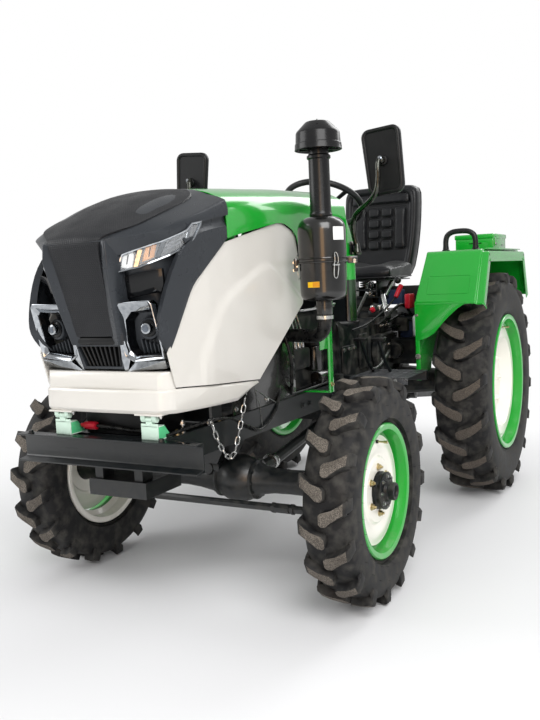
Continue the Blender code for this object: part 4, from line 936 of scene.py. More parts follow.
@dataclass
class Piece:
    """One object of the scene while it is put together.

    Attributes:
        name: The object's name.
        slot: The record's material slot that it belongs to; not used.
        body: The CAD body that it rides on.
        origin: Where the shapes' own zero is in the tractor's frame.
        side: 1, or -1 for a piece whose shapes are mirrored to the right side.
    """

    name: str
    slot: str = "painted_steel"
    body: str = "chassis"
    origin: Vector = field(default_factory=FRONT_AXLE.copy)
    side: int = 1
    finishes: list[Finish] = field(default_factory=list)
    mesh: BMesh = field(default_factory=bmesh.new)

    def add(self, part: BMesh, *finishes: Finish, both: bool = False) -> "Piece":
        """Adds a shape in one finish, or in several that its material numbers choose from.

        Args:
            part: The shape, which is used up.
            finishes: The finishes.
            both: Whether its mirror image over X = 0 is added too.

        Returns:
            The piece itself.
        """
        for finish in finishes:
            if finish not in self.finishes:
                self.finishes.append(finish)
        for face in part.faces:
            own = min(face.material_index, len(finishes) - 1)
            face.material_index = self.finishes.index(finishes[own])
        if both:
            part = joined([part.copy(), flipped(part)])
        if self.side < 0:
            flipped(part)
        bmesh.ops.translate(part, verts=part.verts, vec=self.origin)
        self.mesh = joined([self.mesh, part])
        return self

    def fit(self, finish: Finish, *parts: BMesh, both: bool = False) -> None:
        """Adds several shapes in one finish, with their mirror images over X = 0 if both."""
        for part in parts:
            self.add(part, finish, both=both)

    def place(
            self, *replaced: str, crisp: float = 35.0, rounds: int = 0, thickness: float = 0.0,
            edge: float = 0.0) -> Object:
        """Makes the object, and lets it ride on its body.

        Args:
            replaced: The CAD nodes that it stands for.
            crisp: Edges sharper than this many degrees stay sharp in shading.
            rounds: The levels of a Subdivision Surface.
            thickness: The wall that a Solidify gives to an open sheet, inwards.
            edge: The rounding that a Bevel gives to the wall's edges.

        Returns:
            The finished object.
        """
        mesh = bpy.data.meshes.new(self.name)
        self.mesh.to_mesh(mesh)
        self.mesh.free()
        for finish in self.finishes:
            mesh.materials.append(finish.material())
        mesh.shade_smooth()
        if not rounds:
            mesh.set_sharp_from_angle(angle=radians(crisp))
        made = bpy.data.objects.new(self.name, mesh)
        bpy.context.scene.collection.objects.link(made)
        if rounds:
            step = made.modifiers.new("rounds", "SUBSURF")
            step.levels = step.render_levels = rounds
            step.boundary_smooth = "PRESERVE_CORNERS"
        if thickness:
            step = made.modifiers.new("wall", "SOLIDIFY")
            step.thickness = thickness
            step.offset = -1.0
            step.use_even_offset = True
        if edge:
            step = made.modifiers.new("edge", "BEVEL")
            step.width = edge
            step.segments = 2
            step.limit_method = "ANGLE"
            step.angle_limit = radians(50.0)
        if rounds or thickness:
            step = made.modifiers.new("normals", "WEIGHTED_NORMAL")
            step.keep_sharp = True
        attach(made, self.body)
        if replaced:
            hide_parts(*replaced)
        LOG.info("%s: %d faces on %s", self.name, len(mesh.polygons), self.body)
        return made


def repaint(finish: Finish, *nodes: str) -> None:
    """Gives CAD nodes that stay visible a finish.

    Args:
        finish: The finish.
        nodes: The names of the nodes.
    """
    for node in nodes:
        solid = frame["nodes"][node]
        for slot in solid.material_slots:
            slot.material = finish.material()
        LOG.info("%s: finished as %s", node, finish.name)


def sides() -> Iterable[tuple[int, str]]:
    """The tractor's two sides: the sign of X and the word in names."""
    return ((1, "left"), (-1, "right"))


# --- studio ---
@dataclass
class Studio:
    """A plain pale floor, a white background, soft lamps and the camera."""

    eye: Point = (1.568, -3.159, 1.079)
    yaw: float = 28.689
    pitch: float = 5.86
    roll: float = -2.702
    lens: float = 40.5
    floor_size: float = 30.0

    def build(self) -> None:
        """Makes the floor, the world, the lamps and the camera."""
        self.floor()
        self.world()
        self.lamps()
        self.camera()
        bpy.context.scene.view_settings.view_transform = "Standard"

    def floor(self) -> None:
        """A matt white floor that keeps the shadow and fades into the background. Its colour is
        greyer within 1.5 m of the middle: a painted shade round the tractor.
        """
        bm = bmesh.new()
        bmesh.ops.create_grid(bm, x_segments=2, y_segments=2, size=self.floor_size)
        mesh = bpy.data.meshes.new("floor")
        bm.to_mesh(mesh)
        bm.free()
        made = bpy.data.objects.new("floor", mesh)
        bpy.context.scene.collection.objects.link(made)
        paper = bpy.data.materials.new("matt_white_floor")
        paper.use_nodes = True
        tree = paper.node_tree
        on = Surface(
            tree, tree.nodes["Principled BSDF"], add_node(tree, "TexCoord").outputs["Object"])
        distance = add_node(
            tree, "VectorMath", {"operation": "LENGTH"}, {0: on.place}).outputs["Value"]
        fade = add_node(
            tree, "MapRange", {"interpolation_type": "SMOOTHSTEP"},
            {"Value": distance, "From Min": 1.5, "From Max": 3.3}).outputs["Result"]
        # painted shade: the floor's colour is greyer near the tractor and turns whiter out to 3.3 m
        on.put(Roughness=.9, Specular_IOR_Level=.1, Base_Color=on.blend(fade, "#e3e3e4", "#f2f2f2"))
        output = tree.nodes["Material Output"]
        rays = add_node(tree, "LightPath")
        seen = add_node(
            tree, "Math", {"operation": "MULTIPLY"},
            {0: rays.outputs["Is Camera Ray"], 1: fade}).outputs[0]
        white = add_node(tree, "Emission", None, {"Color": (1, 1, 1, 1)})
        mix = add_node(
            tree, "MixShader", None, {0: seen, 1: on.shader.outputs[0], 2: white.outputs[0]})
        tree.links.new(mix.outputs[0], output.inputs["Surface"])
        mesh.materials.append(paper)

    def world(self) -> None:
        """Even grey light, with white where the camera, gloss or glass looks past the floor."""
        world = bpy.data.worlds.new("soft_white")
        world.use_nodes = True
        tree = world.node_tree
        rays = add_node(tree, "LightPath")
        first = add_node(
            tree, "Math", {"operation": "MAXIMUM"},
            {0: rays.outputs["Is Camera Ray"], 1: rays.outputs["Is Transmission Ray"]}).outputs[0]
        strength = add_node(
            tree, "MapRange", None,
            {"Value": first, "To Min": .62, "To Max": 1.0}).outputs["Result"]
        back = tree.nodes["Background"]
        back.inputs["Color"].default_value = (1.0, 1.0, 1.0, 1.0)
        tree.links.new(strength, back.inputs["Strength"])
        bpy.context.scene.world = world

    def lamps(self) -> None:
        """Three large soft boxes and a tall warm strip, which draws a bright line on round cans."""
        # name, place, width, height, power in watts, colour
        table = (
            ("key", (4.2, -4.6, 5.0), 4.5, 4.5, 420.0, "#ffffff"),
            ("fill", (-5.5, -3.5, 3.6), 4.0, 4.0, 170.0, "#ffffff"),
            ("rim", (1.5, 5.5, 5.2), 4.0, 4.0, 200.0, "#ffffff"),
            ("strip", (2.0, -3.9, 1.3), 1.0, 2.4, 42.0, "#cfa06a"))
        for name, place, width, height, power, colour in table:
            lamp = bpy.data.lights.new(name, "AREA")
            lamp.shape = "RECTANGLE"
            lamp.size = width
            lamp.size_y = height
            lamp.energy = power
            lamp.color = srgb(colour)[:3]
            made = bpy.data.objects.new(name, lamp)
            made.location = place
            made.rotation_euler = (
                Vector((0.0, 0.0, .7)) - Vector(place)).to_track_quat("-Z", "Y").to_euler()
            made.visible_diffuse = name != "strip"
            bpy.context.scene.collection.objects.link(made)

    def camera(self) -> None:
        """The camera, low in front of the tractor's left corner."""
        yaw, pitch, roll = (radians(angle) for angle in (self.yaw, self.pitch, self.roll))
        aim = Vector((-sin(yaw) * cos(pitch), cos(yaw) * cos(pitch), -sin(pitch)))
        level = Vector((cos(yaw), sin(yaw), 0.0))
        up = level.cross(aim)
        right = cos(roll) * level + sin(roll) * up
        top = -sin(roll) * level + cos(roll) * up
        camera = bpy.data.cameras.new("camera")
        camera.sensor_fit = "VERTICAL"
        camera.sensor_height = 36.0
        camera.lens = self.lens
        camera.clip_end = 200.0
        made = bpy.data.objects.new("camera", camera)
        made.matrix_world = Matrix.Translation(self.eye) @ Matrix(
            (right, top, -aim)).transposed().to_4x4()
        bpy.context.scene.collection.objects.link(made)
        bpy.context.scene.camera = made


# --- wheels ---
@dataclass
class Lug:
    """The shape of one tread lug, from its inner end to the shoulder.

    Attributes:
        stations: Rows of (across, along, half_width): the place across the tyre from its middle,
            the place along the tread and half the width of the lug's top.
        draft: How much wider the lug is at its foot, on each side.
    """

    stations: Route
    draft: float


FRONT_LUG = Lug(
    ((-.007, 0.0, .013), (.002, .001, .021), (.017, .004, .022), (.032, .013, .018),
     (.052, .026, .0175), (.07, .037, .019), (.0775, .041, .019)), .006)
REAR_LUG = Lug(
    ((-.019, -.002, .012), (-.013, 0.0, .019), (-.002, .002, .023), (.018, .008, .0235),
     (.045, .021, .0225), (.075, .042, .0215), (.1, .063, .022), (.112, .073, .022)), .009)


@dataclass
class FieldWheel:
    """One wheel: a lugged field tyre on a pressed rim, with its disc, hub and nuts.

    Attributes:
        end: "front" or "rear".
        side: 1 for the left side, -1 for the right.
        radius: The tyre's radius at the lug tips.
        width: The tyre's section width.
        seat: The radius of the rim's bead seats.
        rim_width: The rim's width over its flanges.
        lugs: The lugs on each side of the tread.
        lug_height: How far they stand above the carcass.
        lug: Their shape.
        tread: The finish of their tops.
        disc: How far the disc's face is outboard of the tyre's middle.
        disc_rows: The disc's face, as (outboard of the disc, radius), from the rim inwards.
        hub_rows: The hub's outline, as (outboard of the middle, radius), from the axis outwards.
        nuts: The number of wheel nuts.
        nut_ring: The radius of their ring.
    """

    end: str
    side: int
    radius: float
    width: float
    seat: float
    rim_width: float
    lugs: int
    lug_height: float
    lug: Lug
    tread: Finish
    disc: float
    disc_rows: Outline
    hub_rows: Outline
    nuts: int
    nut_ring: float
    steps: int = 96

    def __post_init__(self) -> None:
        """Finds the wheel's body and centre from its joint."""
        word = "left" if self.side > 0 else "right"
        self.stem = f"{self.end}_{word}"
        self.body = f"{self.stem}_wheel"
        self.centre = Vector(JOINTS[f"{self.stem}_spin"]["pos_m"])

    def build(self) -> None:
        """Makes the tyre and the wheel."""
        self.tyre()
        self.wheel()

    def piece(self, name: str, slot: str) -> Piece:
        """A new piece of this wheel, whose shapes are given round the wheel's own centre."""
        return Piece(f"{self.stem}_{name}", slot, self.body, origin=self.centre, side=self.side)

    def section(self) -> list[Flat]:
        """The carcass's outline as (across, radius), from one bead over the crown to the other.

        Returns:
            The outline's points.
        """
        half = self.width / 2
        crown = self.radius - self.lug_height
        bead = self.rim_width / 2 - .0145
        height = crown - self.seat
        rows = (
            (0.0, crown), (half * .4, crown - .001), (half * .74, crown - .006),
            (half * .9, crown - .017), (half * .975, crown - .036),
            (half * .995, self.seat + .62 * height), (half, self.seat + .48 * height),
            (half * .975, self.seat + .34 * height), (half * .93, self.seat + .22 * height),
            (bead + .007, self.seat + .03), (bead + .0085, self.seat + .024),
            (bead + .002, self.seat + .018), (bead, self.seat))
        return both_ways(rows)

    def lug_solid(self) -> BMesh:
        """One lug of the outboard side, which leans up and back from the middle.

        Returns:
            The closed mesh.
        """
        foot = self.radius - self.lug_height - .007
        half = self.width / 2
        # each row: across at the foot, across at the top, along, half width, top, foot radius
        rows = [
            (across, across, along, wide, self.radius - .035 * max(0.0, across / half - .5) ** 2,
             foot) for across, along, wide in self.lug.stations]
        last = self.lug.stations[-1]
        for across, drop, shift in ((.975, .018, .003), (.995, .034, .006), (1.0, .052, .009)):
            rows.append(
                (half * .86, half * across, last[1] + shift, last[2], self.radius - drop,
                 self.radius - drop - .016))
        rings = []
        for low_x, top_x, along, wide, top, low in rows:
            ring = []
            for x, shift, reach in (
                    (low_x, -wide - self.lug.draft, low), (top_x, -wide, top), (top_x, wide, top),
                    (low_x, wide + self.lug.draft, low)):
                angle = (along + shift) / self.radius
                ring.append((x, -reach * cos(angle), reach * sin(angle)))
            rings.append(ring)
        solid = loft(rings)
        softened(solid, .0028, 2, 38.0)
        for vert in solid.verts:
            excess = max(1.0, vert.co.yz.length / self.radius)
            vert.co.y /= excess
            vert.co.z /= excess
        for face in solid.faces:
            top = min(vert.co.yz.length for vert in face.verts)
            flat = abs(face.normal.x) < .4
            face.material_index = 1 if top > self.radius - .0045 and flat else 0
        return solid

    def tyre(self) -> None:
        """The carcass, both rows of lugs, and the fine hairs that the mould's vents leave."""
        piece = self.piece("field_tyre", "tyre_rubber")
        piece.add(turned(self.section(), steps=self.steps), TYRE)
        piece.add(joined(
            [ring_of(self.lug_solid(), self.lugs),
             moved(flipped(ring_of(self.lug_solid(), self.lugs)), around(180 / self.lugs, "X"))]),
            TYRE, self.tread)
        # share of the sidewall's height, share of half the width, hairs round it, first angle
        hairs = ((.24, .935, 30, 0.0), (.55, .99, 24, 4.0)) if self.end == "front" else ()
        for ring, wide, count, angle in hairs:
            reach = self.seat + ring * (self.radius - self.lug_height - self.seat)
            x = self.width / 2 * wide
            piece.add(ring_of(moved(
                rod((x - .004, 0.0, reach), (x + .01, 0.0, reach + .002), .0007, sides=3,
                    end_radius=.0004), around(angle, "X")), count), TYRE)
        piece.place(f"{self.stem}_tyre", crisp=40.0)

    def wheel(self) -> None:
        """The green barrel, the cream disc, the hub with its nuts, the valve and the bolts."""
        half = self.rim_width / 2
        lip = self.seat + .0155
        well = self.seat - .022
        wall = .005
        barrel = [
            (half - .003, self.seat - .006), (half, self.seat + .002), (half, lip - .004),
            (half - .004, lip), (half - .01, lip), (half - .014, lip - .005),
            (half - .014, self.seat), (half - .044, self.seat - .003), (half - .06, well),
            (-half + .06, well), (-half + .044, self.seat - .003), (-half + .014, self.seat),
            (-half + .014, lip - .005), (-half + .01, lip), (-half + .004, lip),
            (-half, lip - .004), (-half, self.seat + .002), (-half + .003, self.seat - .006),
            (-half + .046, self.seat - .009), (-half + .062, well - wall),
            (half - .062, well - wall), (half - .046, self.seat - .009)]
        piece = self.piece("road_wheel", "green_enamel")
        pressing = turned(barrel, steps=self.steps)
        for face in pressing.faces:
            inboard = self.end == "front" and face.calc_center_median().x < 0.0
            face.material_index = 1 if inboard else 0
        piece.add(pressing, WHEEL_GREEN, WHEEL_CREAM)
        face = [(self.disc + out, reach) for out, reach in self.disc_rows]
        plate = face + [(out - .006, reach) for out, reach in reversed(face)]
        piece.add(turned(plate, steps=self.steps), WHEEL_CREAM)
        front = self.end == "front"
        piece.add(turned(self.hub_rows, steps=48, bevel=.0012), IRON if front else WHEEL_CREAM)
        nut = bolt(
            (self.disc + self.disc_rows[-1][0], 0.0, self.nut_ring), LEFT, .018 if front else .024,
            stud=True)
        piece.add(ring_of(nut, self.nuts), YELLOW_ZINC if front else WHEEL_CREAM)
        valve_at = self.seat - .045
        for start, end, radius, sides_round, finish in (
                (-.006, .006, .006, 12, HOSE), (.002, .032, .0032, 10, YELLOW_ZINC),
                (.026, .038, .0048, 10, YELLOW_ZINC)):
            piece.add(rod(
                (self.disc + start, 0.0, valve_at), (self.disc + end, 0.0, valve_at), radius,
                sides=sides_round), finish)
        if front:
            piece.add(ring_of(bolt((.068, 0.0, .048), LEFT, .012), 8), STEEL)
        piece.place(f"{self.stem}_rim", crisp=30.0)


def field_wheels() -> list[FieldWheel]:
    """The four wheels, with the sizes of the front and the rear pair.

    Returns:
        The front and the rear wheel of each side.
    """
    front_disc = (
        (-.004, .179), (-.004, .168), (0.0, .16), (0.0, .128), (-.004, .121), (-.004, .112),
        (.002, .104), (.002, .055))
    rear_disc = ((-.01, .2805), (-.01, .268), (0.0, .255), (.002, .215), (-.05, .18), (-.054, .06))
    front_hub = (
        (-.06, 0.0), (-.06, .04), (.02, .058), (.034, .062), (.05, .062), (.052, .058), (.06, .058),
        (.062, .061), (.068, .061), (.07, .036), (.08, .034), (.082, .029), (.098, .029),
        (.1, .026), (.1, .02), (.092, .018), (.092, 0.0))
    rear_hub = (
        (-.098, 0.0), (-.098, .1), (-.06, .11), (0.0, .108), (.014, .095), (.022, .052),
        (.018, .045), (.018, 0.0))
    made = []
    for side, _ in sides():
        made.append(FieldWheel(
            "front", side, .371, .165, .2055, .14, 16, .024, FRONT_LUG, TREAD, .038, front_disc,
            front_hub, 6, .077))
        made.append(FieldWheel(
            "rear", side, .525, .241, .307, .226, 18, .032, REAR_LUG, REAR_TREAD, .076, rear_disc,
            rear_hub, 8, .14, steps=120))
    return made


# --- nose ---
def lean(z: float, back: float = 0.0) -> float:
    """The Y of the leaning nose at a height, set back by a distance, from the front axle."""
    return -.583 - .27 * (z - .83) + back


@dataclass
class NoseMask:
    """The graphite mask: crown with its visor, ridges, recess and the two side blades.

    Points are measured from the front axle. Attributes:
        crown_rows: Rows from the visor's inner end to the rear seam. Each row has its points from
            the middle outwards: five on the dome, one on the shoulder, the visor's crease, two
            down the visor's face and one on its lip.
        ridge_rows: For each height, the inner foot, the crest and the outer edge of the ridge.
        blade_front: The front edge of the side blade, from the seam to its tip.
        blade_rear: Its rear edge, which follows the white panel.
    """

    crown_rows: Rows = (
        ((0, -.684, 1.196), (.05, -.684, 1.196), (.085, -.683, 1.197), (.1, -.682, 1.199),
         (.106, -.681, 1.201), (.109, -.68, 1.202), (.112, -.678, 1.203), (.112, -.669, 1.175),
         (.11, -.659, 1.15), (.112, -.64, 1.152)),
        ((0, -.671, 1.216), (.05, -.67, 1.215), (.09, -.668, 1.213), (.108, -.663, 1.211),
         (.118, -.661, 1.21), (.129, -.661, 1.208), (.14, -.661, 1.205), (.139, -.648, 1.182),
         (.137, -.637, 1.16), (.137, -.618, 1.163)),
        ((0, -.645, 1.233), (.05, -.644, 1.232), (.098, -.642, 1.229), (.126, -.64, 1.226),
         (.146, -.64, 1.221), (.158, -.64, 1.215), (.17, -.639, 1.208), (.168, -.626, 1.19),
         (.165, -.615, 1.172), (.165, -.598, 1.176)),
        ((0, -.615, 1.251), (.05, -.614, 1.25), (.105, -.612, 1.247), (.145, -.61, 1.243),
         (.175, -.611, 1.235), (.188, -.613, 1.225), (.2, -.615, 1.213), (.197, -.603, 1.198),
         (.193, -.594, 1.182), (.19, -.577, 1.186)),
        ((0, -.58, 1.271), (.05, -.579, 1.27), (.105, -.577, 1.268), (.15, -.577, 1.262),
         (.188, -.583, 1.247), (.208, -.587, 1.233), (.227, -.592, 1.219), (.226, -.583, 1.206),
         (.222, -.574, 1.193), (.215, -.56, 1.196)),
        ((0, -.545, 1.291), (.05, -.544, 1.29), (.105, -.543, 1.288), (.15, -.543, 1.282),
         (.192, -.548, 1.261), (.219, -.552, 1.248), (.244, -.556, 1.234), (.246, -.549, 1.219),
         (.243, -.541, 1.204), (.232, -.535, 1.206)),
        ((0, -.5, 1.312), (.05, -.5, 1.311), (.105, -.499, 1.308), (.15, -.5, 1.301),
         (.196, -.503, 1.277), (.226, -.506, 1.263), (.255, -.508, 1.25), (.259, -.503, 1.237),
         (.256, -.499, 1.224), (.244, -.497, 1.226)),
        ((0, -.445, 1.334), (.05, -.445, 1.333), (.105, -.445, 1.33), (.155, -.445, 1.321),
         (.201, -.446, 1.296), (.232, -.447, 1.281), (.26, -.448, 1.268), (.266, -.445, 1.256),
         (.264, -.441, 1.244), (.251, -.44, 1.246)),
        ((0, -.37, 1.354), (.05, -.37, 1.353), (.105, -.37, 1.35), (.155, -.37, 1.343),
         (.2, -.37, 1.319), (.233, -.37, 1.305), (.264, -.37, 1.292), (.27, -.37, 1.276),
         (.268, -.37, 1.259), (.255, -.37, 1.26)),
        ((0, -.2875, 1.3685), (.05, -.2875, 1.368), (.105, -.2875, 1.3665), (.159, -.2875, 1.36),
         (.203, -.2875, 1.342), (.238, -.2875, 1.332), (.266, -.2875, 1.32), (.275, -.2875, 1.297),
         (.274, -.2875, 1.272), (.26, -.2875, 1.271)))
    ridge_rows: Route = (
        (1.199, .09, -.677, .111, -.681, .118), (1.15, .087, -.667, .115, -.682, .127),
        (1.1, .082, -.657, .109, -.671, .121), (1.05, .0775, -.645, .104, -.657, .115),
        (1.0, .073, -.633, .099, -.643, .11), (.94, .07, -.617, .092, -.624, .103),
        (.905, .068, -.608, .087, -.613, .097))
    blade_front: Route = (
        (.267, -.2875, 1.24), (.267, -.37, 1.23), (.267, -.445, 1.214), (.266, -.512, 1.186),
        (.263, -.556, 1.14), (.258, -.588, 1.088), (.251, -.612, 1.03), (.244, -.628, .976),
        (.239, -.63, .94), (.233, -.606, .903), (.226, -.573, .872))
    blade_rear: Route = (
        (.268, -.2875, 1.203), (.268, -.34, 1.166), (.267, -.4, 1.124), (.266, -.445, 1.093),
        (.263, -.484, 1.064), (.26, -.508, 1.022), (.256, -.533, .979), (.253, -.553, .944),
        (.25, -.568, .917), (.245, -.575, .9), (.238, -.58, .88))

    def build(self) -> None:
        """Makes the mask's pieces."""
        self.crown()
        self.ridges_and_recess()
        self.blades()

    def crown(self) -> None:
        """The dome and the visor as one sheet, tight along the crease and the lip."""
        piece = Piece("mask_crown", "graphite_plastic", "bonnet")
        piece.add(skin(self.crown_rows, (0.0, -.45, 1.15), True, (4, 6, 8), .72), GRAPHITE)
        piece.place("front_mask", rounds=2, thickness=.004, edge=.001)

    def ridges_and_recess(self) -> None:
        """The ridges beside the middle panel, and the wall that the lamps stand against."""
        piece = Piece("mask_recess", "graphite_plastic", "bonnet")
        rings = []
        for z, foot_x, foot_y, crest_x, crest_y, outer in self.ridge_rows:
            rings.append(
                [(foot_x - .01, foot_y + .004, z), (foot_x, foot_y, z),
                 (crest_x - .002, crest_y - .001, z), (crest_x + .002, crest_y, z),
                 (outer, crest_y + .02, z), (outer + .003, crest_y + .06, z),
                 (foot_x - .01, foot_y + .06, z)])
        piece.add(softened(loft(rings), .0015, 2, 28.0), GRAPHITE, both=True)
        # heights of the recess's wall with its set-back and how far it reaches out
        rows = []
        for z, back, reach in (
                (.836, .05, .225), (.9, .05, .228), (.96, .05, .232), (1.03, .05, .238),
                (1.09, .052, .243), (1.13, .053, .246), (1.17, .055, .25), (1.215, .06, .252)):
            high = max(0.0, z - 1.03)
            rows.append(
                [(.06, lean(z, back), z), (.11, lean(z, back), z), (.165, lean(z, back + .008), z),
                 (.205, lean(z, back + .03 + .14 * high), z),
                 (reach - .012, lean(z, back + .074 + .36 * high), z),
                 (reach, lean(z, back + .124 + .5 * high), z)])
        wall = skin(rows, (0.0, -.2, 1.0))
        bmesh.ops.solidify(wall, geom=wall.faces[:], thickness=.004)
        bmesh.ops.recalc_face_normals(wall, faces=wall.faces)
        piece.add(wall, GRAPHITE, both=True)
        # the plate behind the middle panel and the grille
        piece.add(slab(
            [(-.098, .838), (.098, .838), (.105, .93), (.115, 1.19), (-.115, 1.19), (-.105, .93)],
            "Y", -.57, -.55, 0.0), BLACK_MOULDING)
        # gloss black panels under the headlamps
        dark = slab(
            [(.092, 1.092), (.165, 1.106), (.228, 1.117), (.224, 1.06), (.216, 1.052),
             (.165, 1.043), (.088, 1.03)], "Y", -.006, .003, .0015)
        for vert in dark.verts:
            vert.co.y += lean(vert.co.z, .047) + .62 * max(0.0, vert.co.x - .165)
        piece.add(dark, GLOSS_BLACK, both=True)
        piece.place("front_mask")

    def blades(self) -> None:
        """The side blades: a hollow upper face, a sharp fold and a folded front edge."""
        piece = Piece("mask_blades", "graphite_plastic", "bonnet")
        rows = []
        for front, rear in zip(self.blade_front, self.blade_rear):
            front, rear = Vector(front), Vector(rear)
            inner = front + Vector((-.02, .012, .004))
            rows.append(
                [tuple(rear + Vector((-.006, .006, 0.0))), tuple(rear), tuple(rear.lerp(front, .3)),
                 tuple(rear.lerp(front, .75)), tuple(front), tuple(inner)])
        sheet = skin(rows, (.15, -.4, 1.05), creases=(1, 4), crease=.8)
        # the strip between the visor's lip and the blade
        strip = []
        for lip, front in zip(
                ((.262, -.2875, 1.276), (.258, -.37, 1.262), (.254, -.44, 1.247),
                 (.246, -.5, 1.226)), self.blade_front[:4]):
            lip, front = Vector(lip), Vector(front)
            strip.append(
                [tuple(lip), tuple(lip.lerp(front, .5) + Vector((-.01, .004, 0.0))),
                 tuple(front + Vector((-.002, .002, 0.0)))])
        piece.add(joined([sheet, skin(strip, (.15, -.3, 1.2))]), GRAPHITE, both=True)
        piece.place("front_mask", rounds=1, thickness=.004, edge=.0015)


@dataclass
class MiddlePanel:
    """The textured black panel that runs up the nose and over the mask's dome.

    Points are measured from the front axle. Attributes:
        rows: Rows from the foot to the rear end, from the middle outwards.
        lift: How far the panel stands above the mask.
    """

    rows: Rows = (
        ((0, -.6135, .93), (.035, -.6135, .93), (.0665, -.613, .93)),
        ((0, -.618, .945), (.035, -.618, .945), (.07, -.617, .945)),
        ((0, -.634, 1.0), (.036, -.634, 1.0), (.073, -.632, 1.0)),
        ((0, -.661, 1.1), (.04, -.661, 1.1), (.0815, -.658, 1.1)),
        ((0, -.678, 1.16), (.043, -.678, 1.16), (.0865, -.675, 1.16)),
        ((0, -.685, 1.188), (.045, -.685, 1.188), (.0895, -.682, 1.188)),
        ((0, -.682, 1.206), (.048, -.682, 1.206), (.096, -.679, 1.203)),
        ((0, -.668, 1.22), (.055, -.668, 1.219), (.112, -.664, 1.214)),
        ((0, -.645, 1.235), (.07, -.644, 1.233), (.142, -.641, 1.224)),
        ((0, -.61, 1.256), (.088, -.609, 1.253), (.174, -.61, 1.237)),
        ((0, -.575, 1.276), (.095, -.574, 1.273), (.187, -.578, 1.251)),
        ((0, -.5, 1.314), (.1, -.5, 1.311), (.195, -.503, 1.279)),
        ((0, -.43, 1.341), (.102, -.43, 1.338), (.199, -.431, 1.302)),
        ((0, -.37, 1.356), (.1, -.37, 1.353), (.194, -.371, 1.325)),
        ((0, -.335, 1.363), (.095, -.335, 1.36), (.179, -.337, 1.342)),
        ((0, -.318, 1.366), (.085, -.318, 1.363), (.15, -.32, 1.354)))
    lift: float = .0035

    def build(self) -> None:
        """Makes the panel as a sheet whose edges are folded down."""
        rows = []
        for row in self.rows:
            edge = Vector(row[-1])
            rows.append(
                [*row[:-1], (edge.x - .004, edge.y, edge.z + .0006), row[-1],
                 (edge.x + .0012, edge.y + .005, edge.z - .004)])
        piece = Piece("middle_panel", "black_plastic", "bonnet")
        sheet = skin(rows, (0.0, -.4, 1.05), True, (2, 3), .5)
        for vert in sheet.verts:
            vert.co += Vector((0.0, -.3, 1.0 if vert.co.z > 1.2 else 0.0)) * self.lift
        piece.add(sheet, STUDDED)
        piece.place("v_panel", rounds=2, thickness=.003, edge=.001)


